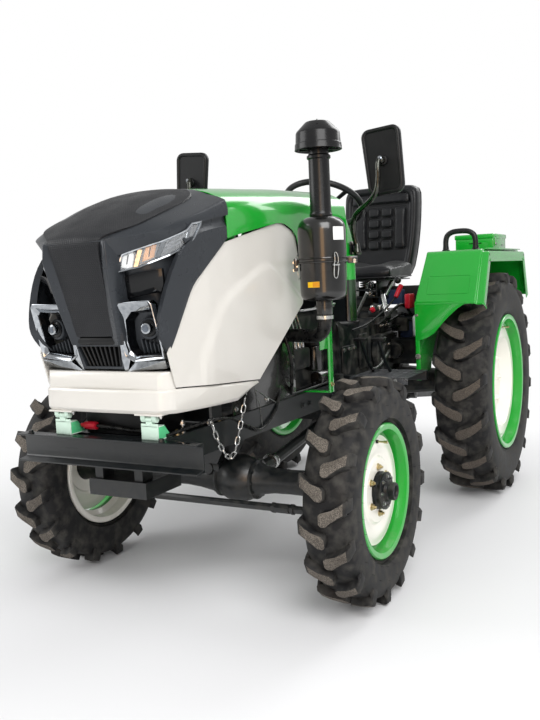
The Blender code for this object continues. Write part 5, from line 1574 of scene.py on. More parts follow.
@dataclass
class Headlamp:
    """The upper lamp, which runs round the corner of the nose.

    The lamp's face follows a bent path in plan. Flat parts are laid out by their distance along
    the path and their height, and are then wrapped on to it.

    Attributes:
        path: The path's points in plan, from the front axle.
        outline: The chrome frame's outline, as (distance along the path, height).
    """

    path: Outline = (
        (.095, -.645), (.15, -.615), (.205, -.575), (.24, -.525), (.26, -.465), (.265, -.4))
    outline: Outline = (
        (.01, 1.106), (.038, 1.161), (.061, 1.169), (.146, 1.194), (.226, 1.224), (.247, 1.243),
        (.292, 1.25), (.286, 1.236), (.255, 1.197), (.23, 1.177), (.172, 1.151), (.086, 1.12))

    def wrapped(self, bm: BMesh) -> BMesh:
        """Bends a flat mesh, laid out as (distance, outwards as -Y, height), on to the path.

        Args:
            bm: The flat mesh, which is changed.

        Returns:
            The same mesh.
        """
        for number in range(1, 20):
            bmesh.ops.bisect_plane(
                bm, geom=bm.verts[:] + bm.edges[:] + bm.faces[:], plane_co=(.015 * number, 0, 0),
                plane_no=(1, 0, 0))
        knots = [Vector((*knot, 0.0)) for knot in self.path]
        route = smooth(knots, 8)
        reach = [0.0]
        for near, far in zip(route, route[1:]):
            reach.append(reach[-1] + (far - near).length)
        for vert in bm.verts:
            along, out, height = vert.co.x, -vert.co.y, vert.co.z
            leg = max(
                number for number in range(len(route) - 1) if reach[number] <= max(along, 0.0))
            start, end = route[leg], route[leg + 1]
            share = (along - reach[leg]) / (reach[leg + 1] - reach[leg])
            heading = (end - start).normalized()
            spot = start.lerp(end, share) + Vector((heading.y, -heading.x, 0.0)) * out
            vert.co = (spot.x, spot.y, height)
        bmesh.ops.recalc_face_normals(bm, faces=bm.faces)
        return bm

    def flat(self, outline: Outline, low: float, high: float, bevel: float = 0.0) -> BMesh:
        """A slab of the lamp between two distances out from the path."""
        return self.wrapped(slab(outline, "Y", -high, -low, bevel, 1))

    def bar(self, start: Flat, end: Flat, width: float, low: float, high: float) -> BMesh:
        """A straight bar of the lamp between two points of its face.

        Args:
            start: Where it starts on the lamp's face.
            end: Where it ends.
            width: Its width.
            low: How far out its back is.
            high: How far out its face is.

        Returns:
            The closed mesh.
        """
        start, end = Vector(start), Vector(end)
        across = Vector((start.y - end.y, end.x - start.x)).normalized() * width / 2
        return self.flat(
            [tuple(start - across), tuple(end - across), tuple(end + across),
             tuple(start + across)], low, high, .0008)

    def build(self, side: int, word: str) -> None:
        """Makes the lamp of one side.

        Args:
            side: 1 for the left side, -1 for the right.
            word: The side's name.
        """
        piece = Piece(f"headlamp_unit_{word}", "lamp_glass", "bonnet", side=side)
        loops = [
            [(along, -out, height) for along, height in inset(self.outline, distance)]
            for distance, out in ((0.0, 0.0), (0.0, .007), (.0015, .009), (.005, .008),
                (.007, .004), (.007, -.014), (.004, -.016))]
        piece.add(self.wrapped(hoop(loops)), CHROME)
        piece.add(self.flat(inset(self.outline, .005), -.018, -.014), GLOSS_BLACK)
        # clear cell, divider, amber cell, divider
        piece.add(self.flat(
            [(.03, 1.124), (.041, 1.158), (.074, 1.166), (.066, 1.124), (.055, 1.119)], -.012, 0.0,
            .002), LABEL_WHITE)
        piece.add(self.bar((.074, 1.122), (.09, 1.172), .013, -.014, .006), CHROME)
        piece.add(self.flat(
            [(.092, 1.136), (.104, 1.176), (.137, 1.187), (.127, 1.148)], -.012, .001, .002), AMBER)
        piece.fit(
            CHROME, self.bar((.134, 1.146), (.156, 1.192), .012, -.014, .006),
            *[self.bar(start, end, .0055, -.01, .003)
                for start, end in (((.158, 1.19), (.226, 1.216)), ((.154, 1.177), (.221, 1.203)),
                    ((.148, 1.164), (.213, 1.19)))],
            self.bar((.225, 1.186), (.243, 1.232), .01, -.014, .005))
        for place in (.05, .112):
            low = 1.132 if place < .1 else 1.15
            piece.add(
                self.bar((place, low), (place + .006, low + .026), .003, -.002, .003),
                BLACK_MOULDING)
        piece.add(self.flat(inset(self.outline, .006), .0025, .0035), LENS)
        piece.place(f"headlamp_{word}", crisp=30.0)


@dataclass
class FogLamp:
    """The lower lamp: a projector deep in a six-sided chrome bezel with ribs under it."""

    outer: Outline = (
        (.084, .912), (.097, 1.006), (.11, 1.027), (.214, 1.031), (.224, 1.02), (.228, .905),
        (.226, .864), (.122, .852), (.092, .868))
    opening: Outline = (
        (.1, .915), (.11, .975), (.136, .999), (.206, 1.005), (.214, .996), (.216, .905),
        (.212, .88), (.12, .872), (.104, .886))
    lens_at: Flat = (.172, .95)

    def build(self, side: int, word: str) -> None:
        """Makes the lamp of one side.

        Args:
            side: 1 for the left side, -1 for the right.
            word: The side's name.
        """
        piece = Piece(f"fog_lamp_unit_{word}", "lamp_glass", "bonnet", side=side)
        mid = inset(self.outer, .003)
        loops = [
            [(x, lean(z, .03), z) for x, z in self.outer],
            [(x, lean(z, 0.0), z) for x, z in self.outer], [(x, lean(z, -.002), z) for x, z in mid],
            [(x, lean(z, .016), z) for x, z in self.opening],
            [(x, lean(z, .03), z) for x, z in self.opening]]
        piece.add(softened(hoop(loops), .001, 2, 25.0), CHROME)
        tunnel = [
            [(x, lean(z, .018), z) for x, z in self.opening],
            [(x, lean(z, .049), z) for x, z in inset(self.opening, .006)],
            [(x, lean(z, .049), z) for x, z in inset(self.opening, .004)],
            [(x, lean(z, .018), z) for x, z in inset(self.opening, -.002)]]
        piece.add(hoop(tunnel), GLOSS_BLACK)
        x, z = self.lens_at
        aim = Vector((.1, -1.0, .02)).normalized()
        seat = Vector((x, lean(z, .048), z))
        piece.add(rod(seat, seat + aim * .016, .034, .002, 40, .031), GRAPHITE)
        piece.add(rod(seat + aim * .01, seat + aim * .02, .026, .001, 40, .024), GLOSS_BLACK)
        piece.add(rod(seat + aim * .012, seat + aim * .036, .017, .003, 32, .016), CHROME)
        piece.add(rod(seat + aim * .03, seat + aim * .0375, .0145, .002, 32, .01), DEEP_LENS)
        for number in range(6):
            at = .136 + .0135 * number
            rib = block((at, 0.0, .877), (at + .005, .016, .92 - .004 * number), .0015)
            for vert in rib.verts:
                vert.co.y += lean(vert.co.z, .03)
            piece.add(rib, GRAPHITE)
        # faceted chrome foot under the bezel
        foot = bmesh.new()
        points = [
            (.081, .004, .824), (.217, .016, .834), (.229, -.002, .86), (.121, .002, .854),
            (.15, -.006, .838), (.1, .03, .836), (.222, .034, .846)]
        verts = [foot.verts.new((px, lean(pz, back), pz)) for px, back, pz in points]
        bmesh.ops.convex_hull(foot, input=verts)
        piece.add(softened(foot, .0006, 1, 20.0), CHROME)
        piece.place(f"fog_lamp_{word}", crisp=25.0)


@dataclass
class LowerGrille:
    """The rounded bar and the ribbed grille at the foot of the middle panel."""

    ribs: int = 9

    def build(self) -> None:
        """Makes the bar, the frame of the grille and its slanted ribs."""
        piece = Piece("lower_grille", "black_plastic", "bonnet")
        piece.add(
            block((-.08, lean(.917, -.004), .905), (.08, lean(.917, .03), .931), .01, 4),
            BLACK_MOULDING)
        outer = ((-.088, .906), (.088, .906), (.074, .832), (-.074, .832))
        inner = ((-.08, .9), (.08, .9), (.067, .84), (-.067, .84))
        frame_bar = hoop(
            [[(x, lean(z, back), z) for x, z in outline]
             for outline, back in ((outer, .02), (outer, 0.0), (inner, .002), (inner, .02))])
        piece.add(softened(frame_bar, .001, 1), GRAPHITE)
        for number in range(self.ribs):
            top = -.07 + .0175 * number
            foot = -.056 + .014 * number + .004
            corners = (
                (top - .003, .902), (top + .003, .902), (foot + .003, .838), (foot - .003, .838))
            piece.add(softened(
                loft([[(x, lean(z, back), z) for x, z in corners] for back in (.02, .006)]), .0008,
                1), BLACK_MOULDING)
        # bright legs beside the grille
        for side, _ in sides():
            leg = loft(
                [[(side * x, lean(z, back), z) for x, back, z in ring]
                 for ring in (((.084, -.001, .918), (.097, .004, .918), (.098, .03, .918),
                      (.084, .03, .918)),
                     ((.078, -.003, .862), (.104, .004, .862), (.106, .03, .862),
                      (.078, .03, .862)),
                     ((.076, .0, .828), (.086, .006, .828), (.086, .03, .828), (.076, .03, .828)))])
            piece.add(softened(leg, .001, 1), CHROME)
        piece.place("v_panel", crisp=30.0)


# --- bonnet ---
@dataclass
class Bonnet:
    """The green top, the cream side panels with their crease, and the two-step bumper."""

    half: float = .268
    seam: float = -.2855
    rear: float = .65

    def build(self) -> None:
        """Makes the bonnet's own panels."""
        self.top()
        for side, word in sides():
            self.side_panel(side, word)
        self.bumper()

    def top(self) -> None:
        """The crowned green top with rolled side edges."""
        piece = Piece("bonnet_top_skin", "green_enamel", "bonnet")
        rows = []
        for place, crown, low in (
                (self.seam, 1.368, 1.202), (-.24, 1.3735, 1.212), (-.14, 1.381, 1.23),
                (0.0, 1.39, 1.252), (.078, 1.394, 1.266), (.13, 1.398, 1.25), (.19, 1.402, 1.229),
                (.215, 1.4035, 1.145), (.24, 1.405, 1.062), (.3, 1.407, 1.06), (.45, 1.413, 1.06),
                (.648, 1.42, 1.06)):
            rows.append(
                [(0.0, place, crown), (.06, place, crown - .001), (.12, place, crown - .004),
                 (.17, place, crown - .011), (.21, place, crown - .023), (.24, place, crown - .039),
                 (.259, place, crown - .064), (.2665, place, crown - .096),
                 (self.half, place, (crown - .096) * .55 + low * .45), (self.half, place, low)])
        piece.add(skin(rows, (0.0, .2, 1.0), True), GREEN)
        piece.place("bonnet_top", rounds=1, thickness=.003, edge=.001)

    def side_panel(self, side: int, word: str) -> None:
        """A cream panel whose lower rear half is pressed out along a bent crease.

        Args:
            side: 1 for the left side, -1 for the right.
            word: The side's name.
        """
        outline = [
            (-.563, .7795), (-.592, .879), (-.485, 1.064), (-.285, 1.199), (0.0, 1.2505),
            (.078, 1.2665), (.19, 1.2285), (.239, 1.0), (-.127, .7465)]
        outer = [
            (-.512, .801), (-.414, .931), (-.385, .99), (-.349, 1.022), (-.23, 1.068),
            (-.091, 1.121), (-.021, 1.13), (.049, 1.104), (.15, 1.055), (.214, 1.015)]
        inner = [
            (-.452, .806), (-.372, .916), (-.345, .96), (-.292, 1.012), (-.16, 1.066), (-.075, 1.1),
            (-.03, 1.106), (.03, 1.084), (.12, 1.038), (.19, .996)]
        piece = Piece(f"side_panel_skin_{word}", "cream_enamel", "bonnet", side=side)
        piece.add(self.panel_sheet(outline, outer, inner), CREAM)
        piece.place(f"side_panel_{word}", thickness=.004, edge=.0012, crisp=60.0)

    def panel_sheet(self, outline: Outline, outer: Outline, inner: Outline) -> BMesh:
        """The panel's sheet, with the part inside the crease pressed outwards.

        Args:
            outline: The panel's edge, as (Y, height).
            outer: The crease's outer line.
            inner: Its inner line.

        Returns:
            The open sheet.
        """
        bm = bmesh.new()
        bmesh.ops.create_grid(bm, x_segments=84, y_segments=52, size=.5)
        for vert in bm.verts:
            vert.co = (0.0, -.592 + .831 * (vert.co.x + .5), .7465 + .52 * (vert.co.y + .5))
        for near, far in zip(outline, [*outline[1:], outline[0]]):
            along = Vector((0.0, far[0] - near[0], far[1] - near[1]))
            across = Vector((0.0, along.z, -along.y))
            if across.dot(Vector((0.0, -.1 - near[0], 1.0 - near[1]))) > 0.0:
                across = -across
            bmesh.ops.bisect_plane(
                bm, geom=bm.verts[:] + bm.edges[:] + bm.faces[:], plane_co=(0.0, *near),
                plane_no=across, clear_outer=True)
        for vert in bm.verts:
            y, z = vert.co.y, vert.co.z
            share = self.depth_share(y, z, outer, inner)
            vert.co.x = self.half - .002 + .0085 * share - .0065
            if y < -.4:
                vert.co.x -= .12 * (-.4 - y)
            crown = min(1.0, max(0.0, (z - .76) / .42))
            vert.co.x += .004 * sin(pi * crown)
        bm.normal_update()
        if bm.faces[:][0].normal.x < 0.0:
            bmesh.ops.reverse_faces(bm, faces=bm.faces)
        return bm

    @staticmethod
    def depth_share(y: float, z: float, outer: Outline, inner: Outline) -> float:
        """How far a point of the panel is pressed out, from 0 to 1.

        Args:
            y: The point's Y.
            z: Its height.
            outer: The crease's outer line.
            inner: Its inner line.

        Returns:
            The share.
        """
        def edge_height(line: Outline) -> float:
            """The line's height at this place, or a low value beyond its ends.

            Args:
                line: The line.

            Returns:
                The height.
            """
            for (y0, z0), (y1, z1) in zip(line, line[1:]):
                if y0 <= y <= y1:
                    return z0 + (z1 - z0) * (y - y0) / (y1 - y0)
            return .7 if y < line[0][0] else line[-1][1] - 1.2 * (y - line[-1][0])
        high, low = edge_height(outer), edge_height(inner)
        share = min(1.0, max(0.0, (high - z) / max(.004, high - low)))
        return share * share * (3.0 - 2.0 * share)

    def bumper(self) -> None:
        """The bumper: a narrow upper step, and a lower band that runs back along the sides."""
        piece = Piece("bumper_skin", "cream_enamel", "bonnet")
        # plan of the lower band's outside with its low and high edges
        plan = (
            (0.0, -.614, .705, .775), (.11, -.612, .705, .775), (.196, -.606, .705, .775),
            (.212, -.599, .705, .775), (.238, -.564, .704, .775), (.2455, -.53, .703, .7727),
            (.2605, -.425, .7, .7648), (.265, -.33, .697, .7575), (.266, -.262, .695, .7523),
            (.267, -.2, .713, .7476), (.2675, -.134, .7345, .7426))
        rings = []
        for side in (-1, 1):
            for x, y, low, high in (reversed(plan[1:]) if side < 0 else plan):
                deep = min(.012, (high - low) * .3)
                push = Vector((side * x, y + .2, 0.0)).normalized() * .007
                rings.append(
                    [(side * x - push.x, y - push.y, low + .001), (side * x, y, low + deep),
                     (side * x, y, high - .006), (side * x - push.x * .6, y - push.y * .6, high),
                     (side * x - push.x * 1.8, y - push.y * 1.8, high),
                     (side * x - push.x * 1.8, y - push.y * 1.8, low + .001)])
        piece.add(softened(loft(rings), .0016, 2, 30.0), CREAM)
        step = loft(
            [[(-.236, y0, z), (-.212, y1, z), (-.2, y2, z), (.2, y2, z), (.212, y1, z),
              (.236, y0, z), (.228, -.545, z), (-.228, -.545, z)]
             for z, y0, y1, y2 in ((.768, -.56, -.59, -.5985), (.8, -.56, -.59, -.5985),
                 (.818, -.562, -.588, -.595), (.8255, -.564, -.584, -.588))])
        piece.add(softened(step, .0025, 2, 30.0), CREAM)
        piece.place("bumper", crisp=35.0)
        hinge = Piece("bumper_hinges", body="bonnet")
        for side, _ in sides():
            x = side * .163
            for hand in (-1, 1):
                near = x + hand * .0118
                far = near + hand * .015
                hinge.fit(
                    MINT, rod((near, -.592, .69), (far, -.592, .69), .009, .001, 20),
                    block((min(near, far), -.6025, .69), (max(near, far), -.598, .7065), .001))
            hinge.add(rod((x - .0225, -.592, .69), (x + .0225, -.592, .69), .004, sides=12), ZINC)
            hinge.add(block((x - .045, -.606, .7015), (x + .045, -.56, .7065), .001), CREAM)
            for bolt_x in (-.034, .034):
                hinge.add(bolt((x + bolt_x, -.585, .7016), DOWN, .011, True), ZINC)
        hinge.place("bumper")


# --- air cleaner ---
def rounded(
        centre: Flat, width: float, height: float, radius: float,
        per_corner: int = 5) -> list[Flat]:
    """The outline of a rectangle with round corners.

    Args:
        centre: Its middle.
        width: Its width.
        height: Its height.
        radius: The corners' radius.
        per_corner: The steps round each corner.

    Returns:
        The outline's points.
    """
    outline = []
    for turn, (right, up) in enumerate(((1, 1), (-1, 1), (-1, -1), (1, -1))):
        for step in range(per_corner + 1):
            angle = radians(90.0 * (turn + step / per_corner))
            outline.append(
                (centre[0] + right * (width / 2 - radius) + radius * cos(angle),
                 centre[1] + up * (height / 2 - radius) + radius * sin(angle)))
    return outline


@dataclass
class AirCleaner:
    """The oil-bath air cleaner beside the bonnet, with its intake stack, rain cap and hose.

    Heights are over the ground and places are from the front axle. Attributes:
        centre: The can's upright axis.
        ring: The height of the band between its two halves.
        can: The outside of the can from its foot to its dome, as (height, radius).
        stack: The outside of the intake pipe from its foot.
        cap: The outside of the rain cap from the top to its hollow underside.
        cap_sides: The number of faces round the rain cap.
        hose: The middle line of the hose to the engine.
        latch_angles: Where the wire latches are round the can, in degrees from +X.
    """

    centre: Point = (.395, .125, 0.0)
    ring: float = 1.127
    can: Outline = (
        (.99, 0.0), (.99, .056), (.9925, .066), (.999, .0745), (1.009, .0792), (1.022, .0805),
        (1.112, .0812), (1.12, .0812), (1.12, .0825), (1.226, .0826), (1.24, .0815), (1.252, .0775),
        (1.262, .0705), (1.2695, .06), (1.2735, .048), (1.275, .036), (1.275, 0.0))
    stack: Outline = (
        (1.2755, 0.0), (1.2755, .0385), (1.282, .0395), (1.286, .0375), (1.294, .0362),
        (1.466, .0355), (1.467, .037), (1.47, .0405), (1.478, .0405), (1.481, .037), (1.483, .0345),
        (1.53, .0345), (1.53, 0.0))
    cap: Outline = (
        (1.592, 0.0), (1.592, .036), (1.5905, .0405), (1.5875, .044), (1.561, .0705),
        (1.557, .0732), (1.552, .0748), (1.5205, .0765), (1.519, .0785), (1.516, .079),
        (1.501, .08), (1.498, .0812), (1.4975, .079), (1.511, .074), (1.53, .07), (1.546, .05),
        (1.55, 0.0))
    cap_sides: int = 72
    hose: Route = (
        (.395, .125, .9395), (.395, .125, .9275), (.395, .125, .9135), (.383, .131, .884),
        (.345, .155, .864), (.285, .191, .862), (.235, .21, .862), (.2, .21, .862),
        (.175, .21, .862), (.1515, .21, .862))
    latch_angles: Spot = (-35.0, 85.0, 205.0)

    def build(self) -> None:
        """Makes the can, the stack with its cap, the hose and the bracket."""
        self.canister()
        self.intake()
        self.duct()
        self.bracket()

    def canister(self) -> None:
        """The enamelled can, its band, blank labels and wire latches."""
        x, y, _ = self.centre
        piece = Piece("air_cleaner_can", "black_enamel")
        piece.add(turned(self.can, "Z", self.centre, 96), BLACK_ENAMEL)
        low = self.ring - .0095
        piece.fit(
            BLACK_ENAMEL, turned([(low, .079), (low, .0865), (low + .001, .0885),
                 (low + .004, .089), (low + .006, .0862), (low + .013, .0862), (low + .015, .089),
                 (low + .018, .0885), (low + .019, .0865), (low + .019, .079)], "Z", self.centre,
                96), rod((x, y, .94), (x, y, .992), .0285, .002, 40),
            turned([(.966, .027), (.966, .034), (.972, .034), (.972, .027)], "Z", self.centre, 48))
        piece.add(self.patch(-38.0, -3.0, 1.192, 1.236, .0832), LABEL_WHITE)
        piece.add(self.patch(-106.0, -75.0, 1.036, 1.055, .0816), LABEL_YELLOW)
        piece.add(self.patch(-92.0, -75.5, 1.037, 1.054, .0819), LABEL_DARK)
        for angle in self.latch_angles:
            for part in self.latch():
                piece.add(moved(part, around(angle, "Z", self.centre)), ZINC)
        # the strap's ears, one on the inner and one on the outer side, each with two nuts
        for angle, reach, drop in ((-151.0, .01, .034), (29.0, .03, .014)):
            turn = around(angle, "Z", self.centre)
            ear = block(
                (x + .086, y - .006, self.ring - drop),
                (x + .09 + reach, y + .006, self.ring + .01), .002)
            piece.add(moved(ear, turn), BLACK_ENAMEL)
            for height in (-.004, .004 - drop):
                nut = bolt((x + .094 + reach / 2, y - .006, self.ring + height), AHEAD, .0075, True)
                piece.add(moved(nut, turn), ZINC)
        piece.place("air_cleaner")

    def patch(self, start: float, end: float, low: float, high: float, radius: float) -> BMesh:
        """A sheet on the can between two angles and two heights.

        Args:
            start: The first angle, in degrees from +X.
            end: The last angle.
            low: The height of its lower edge.
            high: The height of its upper edge.
            radius: Its distance from the can's axis.

        Returns:
            The open sheet.
        """
        angles = [radians(start + (end - start) * step / 8) for step in range(9)]
        rows = [
            [(self.centre[0] + radius * cos(angle), self.centre[1] + radius * sin(angle), height)
             for angle in angles] for height in (low, high)]
        return skin(rows, (self.centre[0], self.centre[1], (low + high) / 2))

    def latch(self) -> list[BMesh]:
        """A wire latch on the can's +X side: the loop over the band, a coil and the hook.

        Returns:
            Its parts.
        """
        x, y = self.centre[0], self.centre[1]
        upper = [
            (.0855, .0065, 1.112), (.0912, .0065, 1.12), (.0912, .006, 1.136), (.087, .0045, 1.147),
            (.0862, 0.0, 1.15)]
        lower = [
            (.0885, .0065, 1.112), (.0895, .0085, 1.1), (.086, .008, 1.082), (.0845, .006, 1.069),
            (.085, 0.0, 1.064)]
        parts = []
        for route in (upper, lower):
            whole = route + [(r, -side, z) for r, side, z in reversed(route[:-1])]
            parts.append(cable([(x + r, y + side, z) for r, side, z in whole], 5, .0016, 3))
        parts.append(rod((x + .088, y - .013, 1.109), (x + .088, y + .013, 1.109), .0032, sides=14))
        return parts

    def intake(self) -> None:
        """The intake pipe and its faceted rain cap, with slits in the cap's cone."""
        x, y, _ = self.centre
        piece = Piece("intake_stack_and_cap", "black_plastic")
        piece.add(turned(self.stack, "Z", self.centre, 64), STACK_BLACK)
        piece.add(moved(
            softened(turned(self.cap, "Z", self.centre, self.cap_sides), .0011, 2, 22.0),
            around(8.0, "Z", self.centre)), STACK_BLACK)
        piece.add(ring_of(
            block((x + .03, y - .0015, 1.5), (x + .071, y + .0015, 1.54), .0006), 8, UP,
            self.centre), STACK_BLACK)
        for angle in (-66.0, 54.0, 174.0):
            piece.add(moved(
                rod((x + .036, y, 1.5935), (x + .056, y, 1.5755), .0022, sides=8),
                around(angle, "Z", self.centre)), GLOSS_BLACK)
        piece.place("intake_stack", crisp=20.0)

    def duct(self) -> None:
        """The hose between the can and the engine, with a worm clamp near each end."""
        x, y, _ = self.centre
        piece = Piece("intake_hose_clamped", "hose_rubber")
        piece.add(cable(self.hose, 6, .0245, 8), HOSE)
        piece.fit(
            ZINC, *[rod(start, end, .03, sides=48)
                for start, end in (((x, y, .937), (x, y, .925)),
                    ((.166, .21, .862), (.178, .21, .862)))],
            block((x - .006, y - .033, .9245), (x + .007, y - .025, .9375), .0015),
            block((.165, .203, .889), (.179, .217, .896), .0015))
        piece.place("intake_hose")

    def bracket(self) -> None:
        """The green strip from the frame rail to the band, with its bolts."""
        piece = Piece("air_cleaner_bracket", "green_enamel")
        piece.fit(
            GREEN, block((.298, .345, .6305), (.3025, .385, 1.139), .0012),
            block((.175, .346, .6305), (.3015, .384, .6355), .0012),
            block((.2985, .105, 1.116), (.3025, .366, 1.138), .0012))
        plate = [(.275, .8), (.385, .8), (.385, 1.0), (.33, 1.0), (.29, .94), (.275, .9)]
        piece.add(slab(plate, "X", .2975, .3015, .0012), GREEN)
        for height in (.662, .9, 1.1):
            piece.add(bolt((.3025, .365, height), LEFT, .014), YELLOW_ZINC)
        for y in (.118, .145):
            piece.add(bolt((.2985, y, 1.127), RIGHT, .012), ZINC)
        piece.place("cleaner_bracket")


# --- mirrors ---
@dataclass
class Mirror:
    """A rear-view mirror: moulded back with a raised frame, glass, ball joint, stalk and clamp.

    Attributes:
        centre: The middle of the head's back, from the front axle.
        width: The head's width.
        height: Its height.
        lean: Its turn to the outside in its own plane, in degrees.
        stalk: The middle line of the bent stalk, from its clamp to the ball joint.
    """

    centre: Point = (.447, .6, 1.5062)
    width: float = .16
    height: float = .26
    lean: float = -5.0
    stalk: Route = (
        (.288, .7, 1.19), (.282, .696, 1.215), (.279, .69, 1.25), (.284, .68, 1.288),
        (.312, .655, 1.318), (.362, .612, 1.34), (.404, .588, 1.364), (.428, .578, 1.398),
        (.436, .575, 1.445), (.436, .577, 1.49), (.442, .586, 1.518))

    def outline(self, shrink: float) -> list[Flat]:
        """The head's outline moved inwards: round corners, and a little wider at its top.

        Args:
            shrink: How far it is moved.

        Returns:
            The points, as (X, height).
        """
        flat = rounded(
            (0.0, 0.0), self.width - 2 * shrink, self.height - 2 * shrink, max(.014, .034 - shrink),
            6)
        return [
            (self.centre[0] + x * (1.0 + .1 * z / self.height - .04), self.centre[2] + z)
            for x, z in flat]

    def build(self, side: int, word: str) -> None:
        """Makes one mirror.

        Args:
            side: 1 for the left side, -1 for the right.
            word: The side's name.
        """
        x, y, z = self.centre
        turn = around(self.lean, "Y", self.centre)
        piece = Piece(f"mirror_{word}_assembly", "black_plastic", side=side)
        rings = [
            [(u, y + depth, v) for u, v in self.outline(shrink)]
            for shrink, depth in ((.004, .0255), (.001, .025), (0.0, .0225), (0.0, .012),
                (.0015, .0055), (.005, .0014), (.01, 0.0), (.0135, .001), (.016, .0045),
                (.0175, .0065))]
        piece.add(moved(loft(rings), turn), MIRROR_BLACK)
        glass = [[(u, y + depth, v) for u, v in self.outline(.006)] for depth in (.025, .0262)]
        piece.add(moved(loft(glass), turn), MIRROR_GLASS)
        piece.add(ball((x, y - .01, z), .0135, 24, 14), BLACK_CHROME)
        piece.add(rod((x, y - .004, z), (x, y + .01, z), .0185, .002, 32, .0215), BLACK_MOULDING)
        piece.add(bolt((x - .002, y - .021, z + .007), (-.1, -1.0, .35), .013), CHROME)
        piece.add(cable(self.stalk, 6, .0105, 6), BLACK_CHROME)
        piece.fit(
            GLOSS_BLACK, block((.2625, .681, 1.152), (.269, .719, 1.208), .003),
            rod((.268, .7, 1.18), (.282, .7, 1.182), .015, .002, 28))
        piece.add(turned(
            [(1.15, 0.0), (1.15, .0125), (1.154, .0155), (1.166, .0165), (1.17, .014), (1.19, .012),
             (1.198, .009), (1.198, 0.0)], "Z", (.289, .699, 0.0), 28), BLACK_CHROME)
        piece.add(bolt((.289, .699, 1.151), DOWN, .014), GLOSS_BLACK)
        for height in (1.16, 1.2):
            piece.add(bolt((.269, .7, height), LEFT, .01), ZINC)
        piece.place(f"mirror_{word}", crisp=45.0)


# --- steering wheel and cowl ---
@dataclass
class SteeringGear:
    """The steering wheel with its grip, three spokes and cap, and the column under it.

    Attributes:
        centre: The middle of the rim, from the front axle.
        tilt: The column's lean towards the driver, in degrees.
        radius: The rim's outer radius.
        grip: The radius of the rim's section.
    """

    centre: Point = (0.0, 1.02, 1.4)
    tilt: float = 30.0
    radius: float = .19
    grip: float = .0138

    def build(self) -> None:
        """Makes the wheel and the column."""
        place = Matrix.Translation(self.centre) @ Matrix.Rotation(radians(-self.tilt), 4, "X")
        wheel = Piece("steering_wheel_rim", "black_plastic", "steering_wheel")
        middle = self.radius - self.grip
        loops = []
        for step in range(120):
            angle = tau * step / 120
            swell = .0011 * cos(angle * 40)
            loops.append(
                [((middle + (self.grip + min(0.0, swell) * (sin(a) < .3)) * cos(a)) * sin(angle),
                  (middle + (self.grip + min(0.0, swell) * (sin(a) < .3)) * cos(a)) * cos(angle),
                  self.grip * sin(a)) for a in [tau * k / 14 for k in range(14)]])
        wheel.add(moved(hoop(loops), place), WHEEL_GRIP)
        for angle in (0.0, 120.0, 240.0):
            arm = loft(
                [[(side * half, reach, height + up * thick)
                  for side, up in ((-1, -1), (1, -1), (1, 1), (-1, 1))]
                 for reach, height, half, thick in ((.018, -.034, .014, .005),
                     (.06, -.03, .0105, .0045), (.12, -.014, .009, .0045),
                     (.172, -.002, .01, .005))])
            arm = softened(arm, .0025, 2)
            wheel.add(moved(moved(arm, around(angle, "Z")), place), WHEEL_GRIP)
        hub = turned(
            [(-.054, 0.0), (-.054, .024), (-.046, .031), (-.026, .033), (-.018, .03), (-.015, .024),
             (-.0145, 0.0)], "Z", (0, 0, 0), 40)
        wheel.add(moved(hub, place), WHEEL_GRIP)
        wheel.add(moved(turned(
            [(-.016, 0.0), (-.016, .021), (-.013, .02), (-.011, .012), (-.0105, 0.0)], "Z",
            (0, 0, 0), 32), place), GRAPHITE)
        wheel.place("steering_wheel")

        column = Piece("steering_column_and_boot")
        tube = turned(
            [(-.56, 0.0), (-.56, .03), (-.552, .032), (-.305, .031), (-.3, .026), (-.292, .02),
             (-.07, .0195), (-.066, .017), (-.0565, .015), (-.0565, 0.0)], "Z", (0, 0, 0), 32)
        column.add(moved(tube, place), CHASSIS)
        boot = turned(
            [(-.33, .02), (-.33, .036)] + [
                (-.33 + .008 * step, .0365 - .0011 * step + .0022 * (step % 2))
                for step in range(1, 9)] + [(-.262, .02)], "Z", (0, 0, 0), 32)
        column.add(moved(boot, place), HOSE)
        column.add(rod((0.0, .74, .8805), (0.0, .74, .935), .038, .003, 32), CHASSIS)
        column.place("steering_column")


